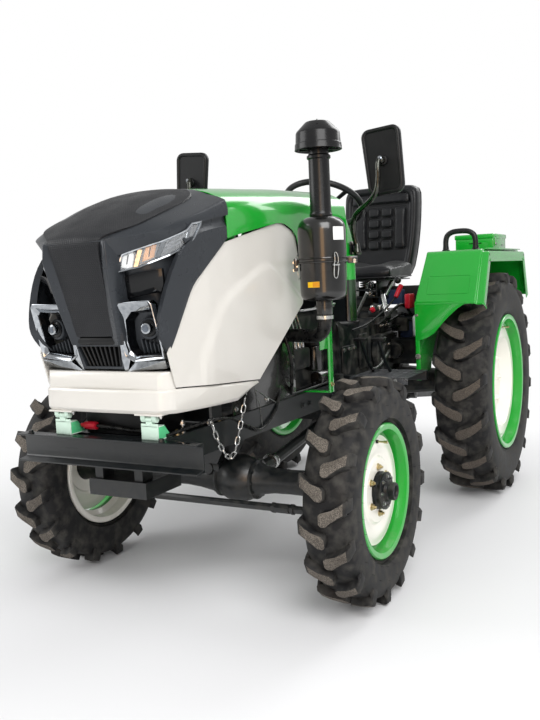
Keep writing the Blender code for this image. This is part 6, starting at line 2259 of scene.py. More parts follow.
@dataclass
class Cowl:
    """The green cowl behind the bonnet, with a black dash that faces the driver.

    Attributes:
        half: Half its width.
        front: Its front edge, from the front axle.
        rear: Its rear edge.
        foot: The height of its lower edge.
        top: The height of its crown.
        split: The height where the green cowl ends and the black lower panel starts.
    """

    half: float = .262
    front: float = .656
    rear: float = .75
    foot: float = .8805
    top: float = 1.402
    split: float = 1.05

    def arch(self, shrink: float) -> list[Flat]:
        """Half of the cowl's section, moved inwards, from the crown down to the foot.

        Args:
            shrink: How far it is moved.

        Returns:
            The points, as (X, height).
        """
        half, top = self.half - shrink, self.top - shrink
        return [
            (0.0, top), (half * .42, top - .002), (half - .098, top - .009),
            (half - .074, top - .02), (half - .056, top - .042), (half - .038, top - .084),
            (half - .021, top - .134), (half - .007, top - .19), (half - .001, 1.15), (half, 1.05),
            (half, .96), (half, self.foot)]

    def build(self) -> None:
        """Makes the shell, the dash and its instruments."""
        shell = Piece("dash_cowl_shell", "green_enamel")
        rows = [
            [(x, y, z) for x, z in self.arch(shrink)]
            for y, shrink in ((self.front, .016), (self.front + .001, .005),
                (self.front + .006, 0.0), (self.rear - .02, 0.0), (self.rear - .004, .001),
                (self.rear, .008), (self.rear, .016))]
        cover = skin(rows, (0.0, self.rear, 1.1), True)
        for face in cover.faces:
            face.material_index = 1 if face.calc_center_median().z < self.split else 0
        shell.add(cover, GREEN, BLACK_ENAMEL)
        shell.place("dash_cowl", rounds=1, thickness=.003)
        dash = Piece("dash_panel", "green_enamel")
        dash.add(slab(
            [(x, max(z, 1.19)) for x, z in both_ways(self.arch(.01)) if z >= 1.1], "Y",
            self.rear - .03, self.rear - .0035, .002), STUDDED)
        dash.add(slab(
            rounded((0.0, 1.305), .3, .12, .03), "Y", self.rear - .005, self.rear - .0005, .0015),
            GLOSS_BLACK)
        for x, radius in ((-.085, .04), (0.0, .046), (.085, .04)):
            dash.add(turned(
                [(0.0, radius - .005), (0.0, radius), (.0035, radius - .001),
                 (.0035, radius - .004)], "Y", (x, self.rear - .0035, 1.307), 40), CHROME)
            dash.add(rod(
                (x, self.rear - .004, 1.307), (x, self.rear - .0015, 1.307), radius - .005,
                sides=40), GAUGE_FACE)
            needle = block(
                (x - .0015, self.rear - .0016, 1.307),
                (x + .0015, self.rear - .0006, 1.307 + radius * .7), 0.0)
            dash.add(moved(needle, around(-35.0, "Y", (x, 0.0, 1.307))), RED_MOULDING)
        for x in (-.18, .18):
            dash.add(
                rod((x, self.rear - .006, 1.27), (x, self.rear + .0005, 1.27), .014, .001, 28),
                CHROME)
        dash.add(
            block((.178, self.rear - .004, 1.262), (.182, self.rear + 0.0, 1.278), .0005),
            BLACK_MOULDING)
        dash.place(crisp=30.0)
        wall = Piece("cowl_inner_wall", "green_enamel")
        wall.add(
            slab(both_ways(self.arch(.014)), "Y", self.front + .001, self.front + .006), CHASSIS)
        wall.place()


# --- seat ---
def inflated(part: BMesh, voxel: float, pressure: float, limit: float) -> BMesh:
    """A closed cover, blown up by Blender's cloth like foam under vinyl.

    Args:
        part: The closed shape, a little smaller than the finished pad.
        voxel: The size of the even mesh that it is rebuilt in.
        pressure: The air pressure inside it.
        limit: How far any point may move.

    Returns: The swollen mesh.
    """
    mesh = bpy.data.meshes.new("cover")
    part.to_mesh(mesh)
    part.free()
    cover = bpy.data.objects.new("cover", mesh)
    bpy.context.scene.collection.objects.link(cover)
    even = cover.modifiers.new("even", "REMESH")
    even.mode = "VOXEL"
    even.voxel_size = voxel
    bpy.context.view_layer.update()
    plain = bpy.data.meshes.new_from_object(
        cover.evaluated_get(bpy.context.evaluated_depsgraph_get()))
    cover.modifiers.clear()
    cover.data = plain
    result = bmesh.new()
    start = [vert.co.copy() for vert in plain.vertices]
    cloth = cover.modifiers.new("cloth", "CLOTH")
    cloth.settings.effector_weights.gravity = 0.0
    cloth.settings.use_pressure = True
    cloth.settings.uniform_pressure_force = pressure
    cloth.settings.quality = 5
    cloth.collision_settings.use_collision = False
    scene = bpy.context.scene
    for number in range(1, 21):
        scene.frame_set(number)
    swollen = bpy.data.meshes.new_from_object(
        cover.evaluated_get(bpy.context.evaluated_depsgraph_get()))
    result.from_mesh(swollen)
    for vert, place in zip(result.verts, start):
        step = vert.co - place
        if step.length > limit:
            vert.co = place + step * (limit / step.length)
    bpy.data.meshes.remove(swollen)
    scene.frame_set(1)
    bpy.data.objects.remove(cover, do_unlink=True)
    bmesh.ops.smooth_vert(
        result, verts=result.verts, factor=.5, use_axis_x=True, use_axis_y=True, use_axis_z=True)
    return result


@dataclass
class Seat:
    """The driver's pan seat: vinyl over foam, with a bolster round quilted pads.

    Places are from the front axle. Attributes:
        front: The cushion's front edge.
        rear: The cushion's rear edge, where the back starts.
        foot: The height of its lower edge.
        recline: How far the back leans over each metre of its height.
        outline: Half of the back's outline from its foot up to the middle, as (x, height).
        pads: For each pad of the left half, its middle, its width and its height.
    """

    front: float = 1.312
    rear: float = 1.694
    foot: float = 1.0415
    recline: float = .112
    outline: Outline = (
        (.06, 1.0415), (.12, 1.043), (.158, 1.06), (.176, 1.1), (.188, 1.16), (.198, 1.23),
        (.204, 1.3), (.207, 1.37), (.208, 1.44), (.206, 1.49), (.196, 1.515), (.172, 1.529),
        (.13, 1.5325), (.06, 1.5335))
    pads: Sequence[tuple[Flat, float, float]] = (
        ((.0365, 1.394), .06, .045), ((.0365, 1.336), .06, .045), ((.0365, 1.278), .06, .045),
        ((.0365, 1.22), .06, .045), ((.111, 1.307), .062, .219))

    def lean(self, height: float) -> float:
        """The Y of the back's front plane at a height."""
        return 1.701 + self.recline * (height - self.foot)

    def build(self) -> None:
        """Makes the back, its pads, the cushion and what carries them."""
        self.back()
        self.quilt()
        self.cushion()
        self.mount()

    def back(self) -> None:
        """The back: a rounded shell whose rim is a soft bolster round a hollow."""
        whole = densely(both_ways(self.outline), .02)
        centre = (0.0, 1.29)
        rings = []
        for shrink, depth in (
                (.034, .0885), (.014, .088), (.003, .08), (0.0, .06), (0.0, .03), (.0035, .012),
                (.011, .003), (.021, .0004), (.031, .004), (.038, .011), (.041, .0165),
                (.046, .019)):
            across = (.206 - shrink) / .206
            up = (.2445 - shrink) / .2445
            rings.append(
                [(centre[0] + (x - centre[0]) * across,
                  self.lean(centre[1] + (z - centre[1]) * up) + depth,
                  centre[1] + (z - centre[1]) * up) for x, z in whole])
        piece = Piece("seat_back_bolster", "black_vinyl")
        piece.add(loft(rings), VINYL)
        made = piece.place("seat_back", rounds=1)
        seams = Piece("seat_back_piping", "black_vinyl")
        route = [(x * .985, self.lean(z) + .08, 1.29 + (z - 1.29) * .985) for x, z in whole]
        seams.add(pipe(route, .0028, 3, True), VINYL)
        shell = both_ways([(x * .9, z) for x, z in self.outline])
        panel = loft(
            [[(x, self.lean(z) + .087, 1.29 + (z - 1.29) * .92) for x, z in shell],
             [(x * .97, self.lean(z) + .09, 1.29 + (z - 1.29) * .9) for x, z in shell]])
        seams.add(panel, BLACK_MOULDING)
        for x, z in ((-.12, 1.16), (.12, 1.16), (-.13, 1.42), (.13, 1.42)):
            seams.add(bolt((x, self.lean(z) + .0895, z), (0, 1, -.11), .012), ZINC)
        seams.place(crisp=40.0)

    def pad(self, centre: Flat, width: float, height: float, thick: float = .013) -> BMesh:
        """One pad before it swells: a crowned cushion with thin edges, on the back's hollow.

        Args:
            centre: The pad's middle, as (X, height).
            width: Its width.
            height: Its height.
            thick: Its thickness.

        Returns:
            The closed mesh.
        """
        rings = []
        for share, depth in (
                (.93, .0175), (1.0, .0155), (.98, .0155 - thick * .55), (.86, .0155 - thick * .9),
                (.62, .0155 - thick)):
            edge = (1.0 - share) * min(width, height)
            rings.append(
                [(x, self.lean(z) + depth, z)
                 for x, z in rounded(centre, width - edge, height - edge,
                     .24 * min(width - edge, height - edge), 4)])
        return loft(rings)

    def quilt(self) -> None:
        """The small pads, the tall side pads and the headband, sewn down round their edges."""
        covers = [self.pad((0.0, 1.4625), .322, .051, .014)]
        for (x, z), width, height in self.pads:
            covers += [self.pad((side * x, z), width, height) for side in (1, -1)]
        piece = Piece("seat_back_pads", "black_vinyl")
        piece.add(inflated(joined(covers), .0035, 3.0, .0035), VINYL)
        piece.place(rounds=1)
        stitches = Piece("seat_back_seams", "black_vinyl")
        for centre, width, height in (
                (((0.0, 1.4625), .334, .063)),
                *(((side * x, z), width + .01, height + .01) for (x, z), width, height in self.pads
                    for side in (1, -1))):
            route = [(x, self.lean(z) + .018, z) for x, z in rounded(centre, width, height, .01, 3)]
            stitches.add(pipe(route, .0012, 2, True), SEAM_THREAD)
        stitches.place()

    def cushion(self) -> None:
        """The cushion: a thigh hollow each side of a low ridge, and a rolled front edge."""
        rings = []
        steps = 20
        for number in range(steps + 1):
            x = -.196 + .392 * number / steps
            share = abs(x) / .196
            pull = .022 * share ** 5
            front, rear = self.front + .006 + pull, self.rear - .004 - pull * .5
            rise = .016 * share ** 3 - .006 * cos(x / .196 * tau) * (share < .95)
            squeeze = .018 * max(0.0, share - .85) / .15
            low = self.foot + .004 + squeeze * .5
            top = 1.096 - squeeze
            rings.append(
                [(x, rear, low + .004), (x, rear - .01, low), (x, front + .07, low),
                 (x, front + .016, low + .002), (x, front + .003, low + .012),
                 (x, front, low + .028), (x, front + .006, low + .042),
                 (x, front + .024, top + .004 + rise * .3),
                 (x, front + .06, top + .007 + rise * .6), (x, front + .13, top + .004 + rise),
                 (x, front + .22, top + .008 + rise), (x, rear - .07, top + .018 + rise),
                 (x, rear - .02, top + .024 + rise), (x, rear, top + .016 + rise)])
        piece = Piece("seat_cushion_pad", "black_vinyl")
        piece.add(inflated(loft(rings), .006, 3.0, .005), VINYL)
        piece.place("seat_cushion", rounds=1)
        piping = Piece("seat_cushion_piping", "black_vinyl")
        base = rounded(
            (0.0, (self.front + self.rear) / 2), .386, self.rear - self.front - .01, .036, 5)
        piping.add(pipe([(x, y, self.foot + .009) for x, y in base], .0032, 3, True), VINYL)
        piping.place()

    def mount(self) -> None:
        """The slide rails, the springs, the damper and the weight lever under the cushion."""
        piece = Piece("seat_suspension")
        piece.fit(
            CHASSIS, block((-.055, 1.45, .906), (.055, 1.57, .952), .003),
            block((-.15, 1.36, .95), (.15, 1.69, .956), .002),
            block((-.17, 1.35, 1.034), (.17, 1.71, 1.0395), .002),
            block((-.12, 1.7, 1.034), (.12, 1.76, 1.0395), .002))
        piece.fit(
            CHASSIS, block((.1, 1.39, .955), (.106, 1.66, 1.036), .001),
            block((.122, 1.39, .955), (.13, 1.66, .985), .001), both=True)
        for x, y in ((.05, 1.43), (.05, 1.61), (-.05, 1.43), (-.05, 1.61)):
            coil = [
                (x + .02 * cos(step * .6), y + .02 * sin(step * .6), .958 + .00108 * step)
                for step in range(71)]
            piece.add(pipe(coil, .0035, 3), ZINC)
        piece.add(rod((.145, 1.395, .958), (.152, 1.48, 1.03), .012, .002, 24), ZINC)
        piece.add(block((-.08, 1.375, .958), (-.01, 1.44, 1.006), .006), LABEL_WHITE)
        piece.add(block((0.0, 1.59, .958), (.09, 1.65, 1.02), .005), HARNESS_BLUE)
        piece.add(cable(
            [(-.11, 1.35, .985), (-.06, 1.352, .99), (.06, 1.352, .99), (.1, 1.356, .984)], 4, .005,
            3), CHASSIS)
        piece.add(ball((.104, 1.357, .984), .012), BLACK_MOULDING)
        piece.place("seat_mount")


# --- rear fenders ---
@dataclass
class RearFender:
    """A folded and pressed fender with its toolbox and grab handle.

    Places are from the rear axle. Attributes:
        line: The fender's line over the tyre, from the front foot to the rear foot.
        bend: The radius of its two upper folds.
        columns: Over its width, (x, how far it is raised) for the pressed surface and its lip.
        wall_x: The plane of the inner wall.
        tyre: The rear tyre's radius.
        arc: The radius of the wall's round cut about the axle.
    """

    line: Outline = ((-.5, .93), (-.385, 1.157), (.385, 1.157), (.48, .93))
    bend: float = .034
    columns: Outline = (
        (0.0, -.002), (.006, 0.0), (.24, 0.0), (.245, 0.0), (.248, -.001), (.252, -.0085),
        (.256, -.01), (.274, -.01), (.2775, -.0105), (.28, -.0135), (.281, -.02), (.28, -.056))
    wall_x: float = .42
    tyre: float = .525
    arc: float = .31

    def path(self) -> list[tuple[Vector, Vector, float]]:
        """Points along the fender's line, each with its outward normal and its inner X.

        Returns:
            The points from the front foot to the rear foot.
        """
        points = [Vector(point) for point in self.line]
        route = []
        first = (points[1] - points[0]).normalized()
        start = Vector((-first.y, first.x))
        route.append((points[0] - start * .01 + first * .002, start, .004))
        route.append((points[0] - start * .004 - first * .004, start, .001))
        route.append((points[0], start, 0.0))
        route.append((points[0] + first * .01, start, .002))
        for before, corner, after in zip(points, points[1:], points[2:]):
            into, out = (corner - before).normalized(), (after - corner).normalized()
            half = into.angle(out) / 2
            back = self.bend * tan(half)
            normals = Vector((-into.y, into.x)), Vector((-out.y, out.x))
            centre = corner - into * back - normals[0] * self.bend
            lean = .026
            for step in range(1, 4) if before is points[0] else ():
                spot = before.lerp(corner - into * back, step / 4)
                route.append((spot, normals[0], lean * step / 4))
            for step in range(7):
                normal = normals[0].slerp(normals[1], step / 6)
                route.append((centre + normal * self.bend, normal, lean))
        last = (points[3] - points[2]).normalized()
        end = Vector((-last.y, last.x))
        route.append((points[3] - last * .01, end, .004))
        route.append((points[3], end, 0.0))
        return route

    def build(self, side: int, word: str) -> None:
        """Makes one fender with its toolbox and handle.

        Args:
            side: 1 for the left side, -1 for the right.
            word: The side's name.
        """
        piece = Piece(f"fender_{word}_shell", "green_enamel", origin=REAR_AXLE, side=side)
        rows = []
        outer = .7215
        route = self.path()
        for spot, normal, shift in route:
            row = []
            for across, lift in self.columns:
                inner = self.wall_x + shift
                x = inner + across / .281 * (outer - inner)
                place = spot + normal * lift
                row.append((x, place.x, place.y))
            rows.append(row)
        piece.add(skin(rows, (.57, 0.0, .9)), GREEN)
        piece.place(f"fender_{word}", thickness=.0035, crisp=40.0)
        self.wall(side, word, route)
        self.fittings(side, word)
        self.handle(side, word)

    def wall(self, side: int, word: str, route: list) -> None:
        """The inner wall with its round cut, the front gusset, the embossed frame and bolts.

        Args:
            side: 1 for the left side, -1 for the right.
            word: The side's name.
            route: The points of the fender's line.
        """
        piece = Piece(f"fender_{word}_wall", "green_enamel", origin=REAR_AXLE, side=side)
        edge = [(self.wall_x + shift, spot.x, spot.y) for spot, _, shift in route[2:]]
        arc = [
            (self.wall_x, self.arc * cos(radians(162 - 6 * step)),
             self.tyre + self.arc * sin(radians(162 - 6 * step))) for step in range(25)]
        front = self.line[0][0]
        ring = [
            (self.wall_x, front + .001, .592), (self.wall_x, front + .004, .59),
            (self.wall_x, front + .085, .59), *arc, *reversed(edge)]
        piece.add(loft([ring, [(x + .0035, y, z) for x, y, z in ring]]), GREEN)
        gusset = [
            (.42, .94), (.66, .936), (.652, .928), (.634, .921), (.613, .908), (.582, .882),
            (.55, .851), (.525, .822), (.505, .8), (.485, .786), (.455, .773), (.42, .764)]
        piece.add(slab(gusset, "Y", front + .0015, front + .0045, .0006), GREEN)
        flange = [(.42, .764), (.438, .768), (.441, .59), (.42, .59)]
        piece.add(slab(flange, "Y", front + .0005, front + .0035, .0006), GREEN)
        piece.fit(
            ZINC, bolt((.43, front + .0005, .696), AHEAD, .02),
            *[bolt((.428, front + .0005, z), AHEAD, .01) for z in (.62, .88)])
        low, high = Vector((front, self.line[0][1])), Vector(self.line[1])
        slope = (high - low).normalized()
        normal = Vector((-slope.y, slope.x))

        def on_face(x: float, up: float, lift: float) -> Point:
            """A point over the sloped front face, by its height up the slope."""
            spot = low + slope * up + normal * lift
            return (x, spot.x, spot.y)
        frame_outline = rounded((.562, .0865), .188, .088, .009, 4)
        loops = [
            [on_face(x, up, lift) for lift, x, up in ((-.001, x, up),
                 (.0016, .562 + (x - .562) * .992, .0865 + (up - .0865) * .985),
                 (-.001, .562 + (x - .562) * .978, .0865 + (up - .0865) * .955))]
            for x, up in frame_outline]
        piece.add(hoop(loops), GREEN)
        piece.add(block((.408, -.03, .6145), (.423, .03, .945), .003), GREEN)
        for z in (.64, .7, .9):
            piece.add(bolt((.408, 0.0, z), RIGHT, .016), ZINC)
        piece.place(crisp=30.0)

    def fittings(self, side: int, word: str) -> None:
        """The toolbox with its lid, hinge, latch and slots, and the rib on the fender's top. The
        slots are thin gloss black plates, painted shade where the openings are.

        Args:
            side: 1 for the left side, -1 for the right.
            word: The side's name.
        """
        piece = Piece(f"toolbox_{word}", "green_enamel", origin=REAR_AXLE, side=side)
        piece.fit(
            GREEN, block((.474, -.016, 1.155), (.656, .246, 1.215), .004, 3),
            block((.47, -.02, 1.212), (.66, .25, 1.235), .006, 3))
        piece.add(block((.476, -.014, 1.2105), (.654, .244, 1.213), 0.0), GLOSS_BLACK)
        piece.fit(
            GREEN,
            *[rod((.47, y, 1.212), (.47, y + .03, 1.212), .004, sides=14) for y in (.03, .19)],
            block((.6555, .002, 1.176), (.66, .022, 1.222), .0015))
        # a slot drawn as a thin gloss black plate: painted shade in the opening
        piece.add(block((.656, .036, 1.18), (.6575, .041, 1.206), .0006), GLOSS_BLACK)
        piece.add(bolt((.66, .012, 1.186), LEFT, .01), ZINC)
        # two more slots drawn as thin gloss black plates: painted shade in the openings
        piece.fit(
            GLOSS_BLACK, block((.656, .15, 1.18), (.6575, .19, 1.184), .0006),
            block((.54, -.0175, 1.19), (.6, -.0155, 1.194), .0006))
        piece.add(slab(
            [(-.33, 1.156), (-.322, 1.161), (.322, 1.161), (.33, 1.156)], "X", .69, .712, .0015),
            GREEN)
        piece.place(crisp=30.0)

    def handle(self, side: int, word: str) -> None:
        """The black grab handle on two thick feet.

        Args:
            side: 1 for the left side, -1 for the right.
            word: The side's name.
        """
        grip = Piece(f"grab_handle_{word}_grip", "black_plastic", origin=REAR_AXLE, side=side)
        x0, y0, z0 = .5, -.27, 1.1578
        bends = [
            (0.0, 0.0), (0.0, .02), (.001, .048), (.009, .07), (.032, .084), (.068, .087),
            (.104, .084), (.127, .07), (.135, .048), (.136, .02), (.136, 0.0)]
        grip.add(cable([(x0 + out, y0, z0 + up) for out, up in bends], 4, .0122, 6), WHEEL_GRIP)
        for x in (x0, x0 + .136):
            grip.add(turned(
                [(z0, 0.0), (z0, .018), (z0 + .004, .0175), (z0 + .007, .014), (z0 + .022, .0125),
                 (z0 + .024, .01), (z0 + .024, 0.0)], "Z", (x, y0, 0.0), 28), BLACK_MOULDING)
        grip.place(f"grab_handle_{word}")


@dataclass
class Footboard:
    """A scuffed steel footboard with raised treads, folded edges and its bracket.

    Attributes:
        inner: Its inner edge.
        outer: Its outer edge.
        front: Its front edge, from the front axle.
        rear: Its rear edge.
        top: Its height.
    """

    inner: float = .2155
    outer: float = .474
    front: float = .74
    rear: float = 1.0195
    top: float = .64

    def build(self, side: int, word: str) -> None:
        """Makes one footboard.

        Args:
            side: 1 for the left side, -1 for the right.
            word: The side's name.
        """
        piece = Piece(f"footboard_{word}_plate", "grey_steel", side=side)
        piece.add(block(
            (self.inner, self.front, self.top - .004), (self.outer, self.rear, self.top - .0012),
            .001), FOOT_STEEL)
        for row in range(9):
            for column in range(8):
                x = self.inner + .018 + .0315 * column
                y = self.front + .02 + .03 * row
                bar = rod(
                    (x - .0075, y, self.top - .0022), (x + .0075, y, self.top - .0022), .002,
                    sides=6)
                turn = 45.0 if (row + column) % 2 else -45.0
                piece.add(moved(bar, around(turn, "Z", (x, y, 0.0))), FOOT_STEEL)
        piece.add(block(
            (self.inner, self.front, self.top - .03),
            (self.outer, self.front + .004, self.top - .001), .001), FOOT_STEEL)
        piece.fit(
            CHASSIS, block((self.inner, self.rear - .03, self.top - .044),
                (self.outer, self.rear - .001, self.top - .0035), .002),
            block((.152, self.front + .06, self.top - .044),
                (.24, self.front + .1, self.top - .0035), .002))
        piece.fit(
            ZINC, bolt((.3, self.front, self.top - .016), AHEAD, .014),
            bolt((.42, self.front, self.top - .016), AHEAD, .014))
        piece.place(f"footboard_{word}")


# --- frame, axle and drive ---
def seated(places: Iterable[Spot], out: Spot, size: float, stud: bool = False) -> BMesh:
    """A row of equal bolts that all stand out the same way."""
    return joined([bolt(place, out, size, stud) for place in places])


@dataclass
class FrontFrame:
    """The channel beam, the mint hinge brackets, the rails' bolts, the plug and the chain.

    Places are from the front axle. Attributes:
        half: Half the beam's length.
        front: The beam's front edge.
        rear: Its rear face.
        low: The height of its lower face.
        high: The height of its upper face.
        chain: The middle line of the chain that holds the bonnet when it is open.
        link: A chain link's inner length and outer width.
        wire: The radius of the links' wire.
    """

    half: float = .334
    front: float = -.623
    rear: float = -.58
    low: float = .544
    high: float = .63
    chain: Route = (
        (.2165, -.35, .634), (.2165, -.336, .6), (.2175, -.311, .558), (.2195, -.286, .525),
        (.2225, -.262, .509), (.226, -.244, .518), (.23, -.226, .562), (.235, -.202, .63),
        (.24, -.18, .698))
    link: Flat = (.027, .0175)
    wire: float = .0026

    def build(self) -> None:
        """Makes the beam, both brackets, the rails' fittings and the chain."""
        self.beam()
        for side, word in sides():
            self.bracket(side, word)
        self.rails()
        self.links()
        self.plug()

    def beam(self) -> None:
        """A rolled channel that opens to the front, with slotted flanges; the slots are thin gloss
        black plates, painted shade where the openings are.
        """
        front, rear, low, high = self.front, self.rear, self.low, self.high
        outline = [
            (front, high), (rear, high), (rear, low), (front, low), (front, low + .005),
            (rear - .013, low + .0085), (rear - .0085, low + .011), (rear - .0065, low + .017),
            (rear - .0065, high - .017), (rear - .0085, high - .011), (rear - .013, high - .0085),
            (front, high - .005)]
        piece = Piece("front_channel_beam")
        piece.add(slab(outline, "X", -self.half, self.half, .0012), CHASSIS)
        # the flanges' slots are thin gloss black plates: painted shade where the openings are
        for x in (-.285, -.205, -.125, .125, .205, .285):
            for z in (high - .0002, low - .0003):
                piece.add(
                    slab(rounded((x, -.606), .04, .013, .0062, 4), "Z", z, z + .0005), GLOSS_BLACK)
        piece.fit(
            CHASSIS, seated([(x, -.606, high) for x in (-.289, .209)], UP, .016),
            seated([(x, rear, .587) for x in (-.25, -.1, .1, .25)], BACK, .018),
            *[slab(rounded((x, .587), .05, .004, .0018, 3), "Y", rear - .0068, rear - .0062)
                for x in (-.145, .145)])
        piece.place("front_beam", crisp=25.0)

    def bracket(self, side: int, word: str) -> None:
        """A folded hinge bracket: front plate, two gussets, a foot with nuts and the eye.

        Args:
            side: 1 for the left side, -1 for the right.
            word: The side's name.
        """
        piece = Piece(f"bonnet_bracket_{word}_folded", "mint_enamel", side=side)
        piece.add(block((.133, -.597, .6305), (.193, -.593, .678), .0015), MINT)
        gusset = [(-.5945, .6305), (-.53, .6305), (-.566, .6715), (-.5945, .6715)]
        # the gussets take the darker, greener copy of the mint enamel: painted shade on the
        # bracket's sides
        for x in (.1335, .1885):
            piece.add(slab(gusset, "X", x, x + .004, .001), MINT_PAINTED_SHADE)
        piece.fit(
            MINT, block((.133, -.597, .6305), (.193, -.5265, .634), .0012),
            block((.133, -.597, .668), (.193, -.566, .6718), .0012))
        eye = turned(
            [(.152, .004), (.152, .0088), (.174, .0088), (.174, .004)], "X", (0.0, -.592, .69), 32,
            .0005)
        piece.fit(MINT, eye, block((.152, -.5985, .6705), (.174, -.5855, .6835), .001))
        piece.add(seated([(.148, -.5385, .634), (.178, -.5385, .634)], UP, .012, True), YELLOW_ZINC)
        piece.place(f"bonnet_bracket_{word}")

    def rails(self) -> None:
        """Bolts on the rails and cross members, spacer studs, brake pipe and wires."""
        piece = Piece("rail_fittings")
        piece.add(
            seated([(.205, y, .587) for y in (-.54, -.49, .3, .36, .56, .61)], LEFT, .018), CHASSIS,
            both=True)
        piece.add(
            seated([(.188, y, .63) for y in (-.5, -.27, -.14)], UP, .016, True), YELLOW_ZINC,
            both=True)
        stud = [
            rod((.188, -.47, .63), (.188, -.47, .668), .0035, sides=12),
            bolt((.188, -.47, .63), UP, .014), bolt((.188, -.47, .654), UP, .014)]
        piece.add(joined(stud), ZINC)
        harness = smooth(
            [(.196, -.56, .638), (.198, -.43, .642), (.2, -.3, .64), (.201, -.21, .625),
             (.212, -.12, .585), (.214, -.04, .56), (.212, .05, .59), (.206, .11, .64),
             (.19, .15, .7), (.16, .16, .76)], 6)
        piece.add(pipe(harness, .0055, 4), HOSE)
        for route in (
                ((.2, -.05, .7), (.206, -.03, .64), (.2085, -.02, .56)),
                ((.2, -.05, .7), (.204, .02, .665), (.207, .09, .632))):
            piece.add(cable(route, 6, .0011, 2), ZINC)
        piece.add(cable(
            [(.196, .15, .636), (.199, .26, .64), (.199, .42, .64), (.196, .6, .642)], 5, .0042, 3),
            CHASSIS)
        piece.place()

    def links(self) -> None:
        """The zinc chain, each link turned a quarter from the last, and its two end eyes."""
        route = smooth(self.chain, 24)
        length, width = self.link
        pitch = length - self.wire * .4
        places, travelled = [route[0]], 0.0
        for before, after in zip(route, route[1:]):
            travelled += (after - before).length
            if travelled >= pitch * len(places):
                places.append(after)
        piece = Piece("bonnet_holding_chain", "zinc_plate")
        half, bend = length / 2 + self.wire, width / 2 - self.wire
        shape = []
        for end in (1, -1):
            for step in range(7):
                angle = radians(-90.0 + 30.0 * step)
                shape.append(Vector(
                    (end * bend * sin(angle), 0.0,
                     end * (half - bend - self.wire + bend * cos(angle)))))
        for number, (near, far) in enumerate(zip(places, places[1:])):
            along = (far - near).normalized()
            turn = along.to_track_quat("Z", "Y").to_matrix().to_4x4()
            roll = Matrix.Rotation(radians(35.0 + 90.0 * (number % 2)), 4, "Z")
            place = Matrix.Translation((near + far) / 2) @ turn @ roll
            piece.add(pipe([place @ point for point in shape], self.wire, 3, True), ZINC)
        piece.fit(
            ZINC, bolt((.205, -.352, .64), LEFT, .016, True),
            rod((.205, -.352, .64), (.222, -.352, .638), .003, sides=12),
            rod((.2, -.178, .704), (.243, -.178, .704), .0032, sides=12))
        piece.place("bonnet_chain")

    def plug(self) -> None:
        """The red battery plug that hangs between the brackets on its cable."""
        piece = Piece("battery_cable_plug", "black_plastic")
        piece.fit(
            RED_MOULDING, turned([(-.112, 0.0), (-.112, .0115), (-.108, .0125), (-.074, .013),
                 (-.07, .012), (-.068, .007), (-.068, 0.0)], "X", (0.0, -.552, .654), 28),
            rod((-.112, -.552, .654), (-.13, -.552, .654), .0095, .001, 20, .006))
        piece.add(cable(
            [(-.069, -.552, .654), (-.05, -.552, .654), (0.0, -.548, .65), (.07, -.545, .644),
             (.12, -.53, .65), (.128, -.5, .72), (.1, -.48, .8), (.07, -.47, .832)], 6, .005, 4),
            HOSE)
        piece.fit(
            BLACK_MOULDING, block((-.125, -.535, .6275), (.125, -.365, .79), .004),
            block((-.122, -.532, .788), (.122, -.368, .816), .006))
        for x, cap in ((-.095, ZINC), (.095, RED_MOULDING)):
            piece.add(rod((x, -.5, .814), (x, -.5, .8245), .01, .001, 20), cap)
        piece.add(
            seated([(x, -.42, .8155) for x in (-.08, -.03, .02, .07)], UP, .018), BLACK_MOULDING)
        piece.place("battery")


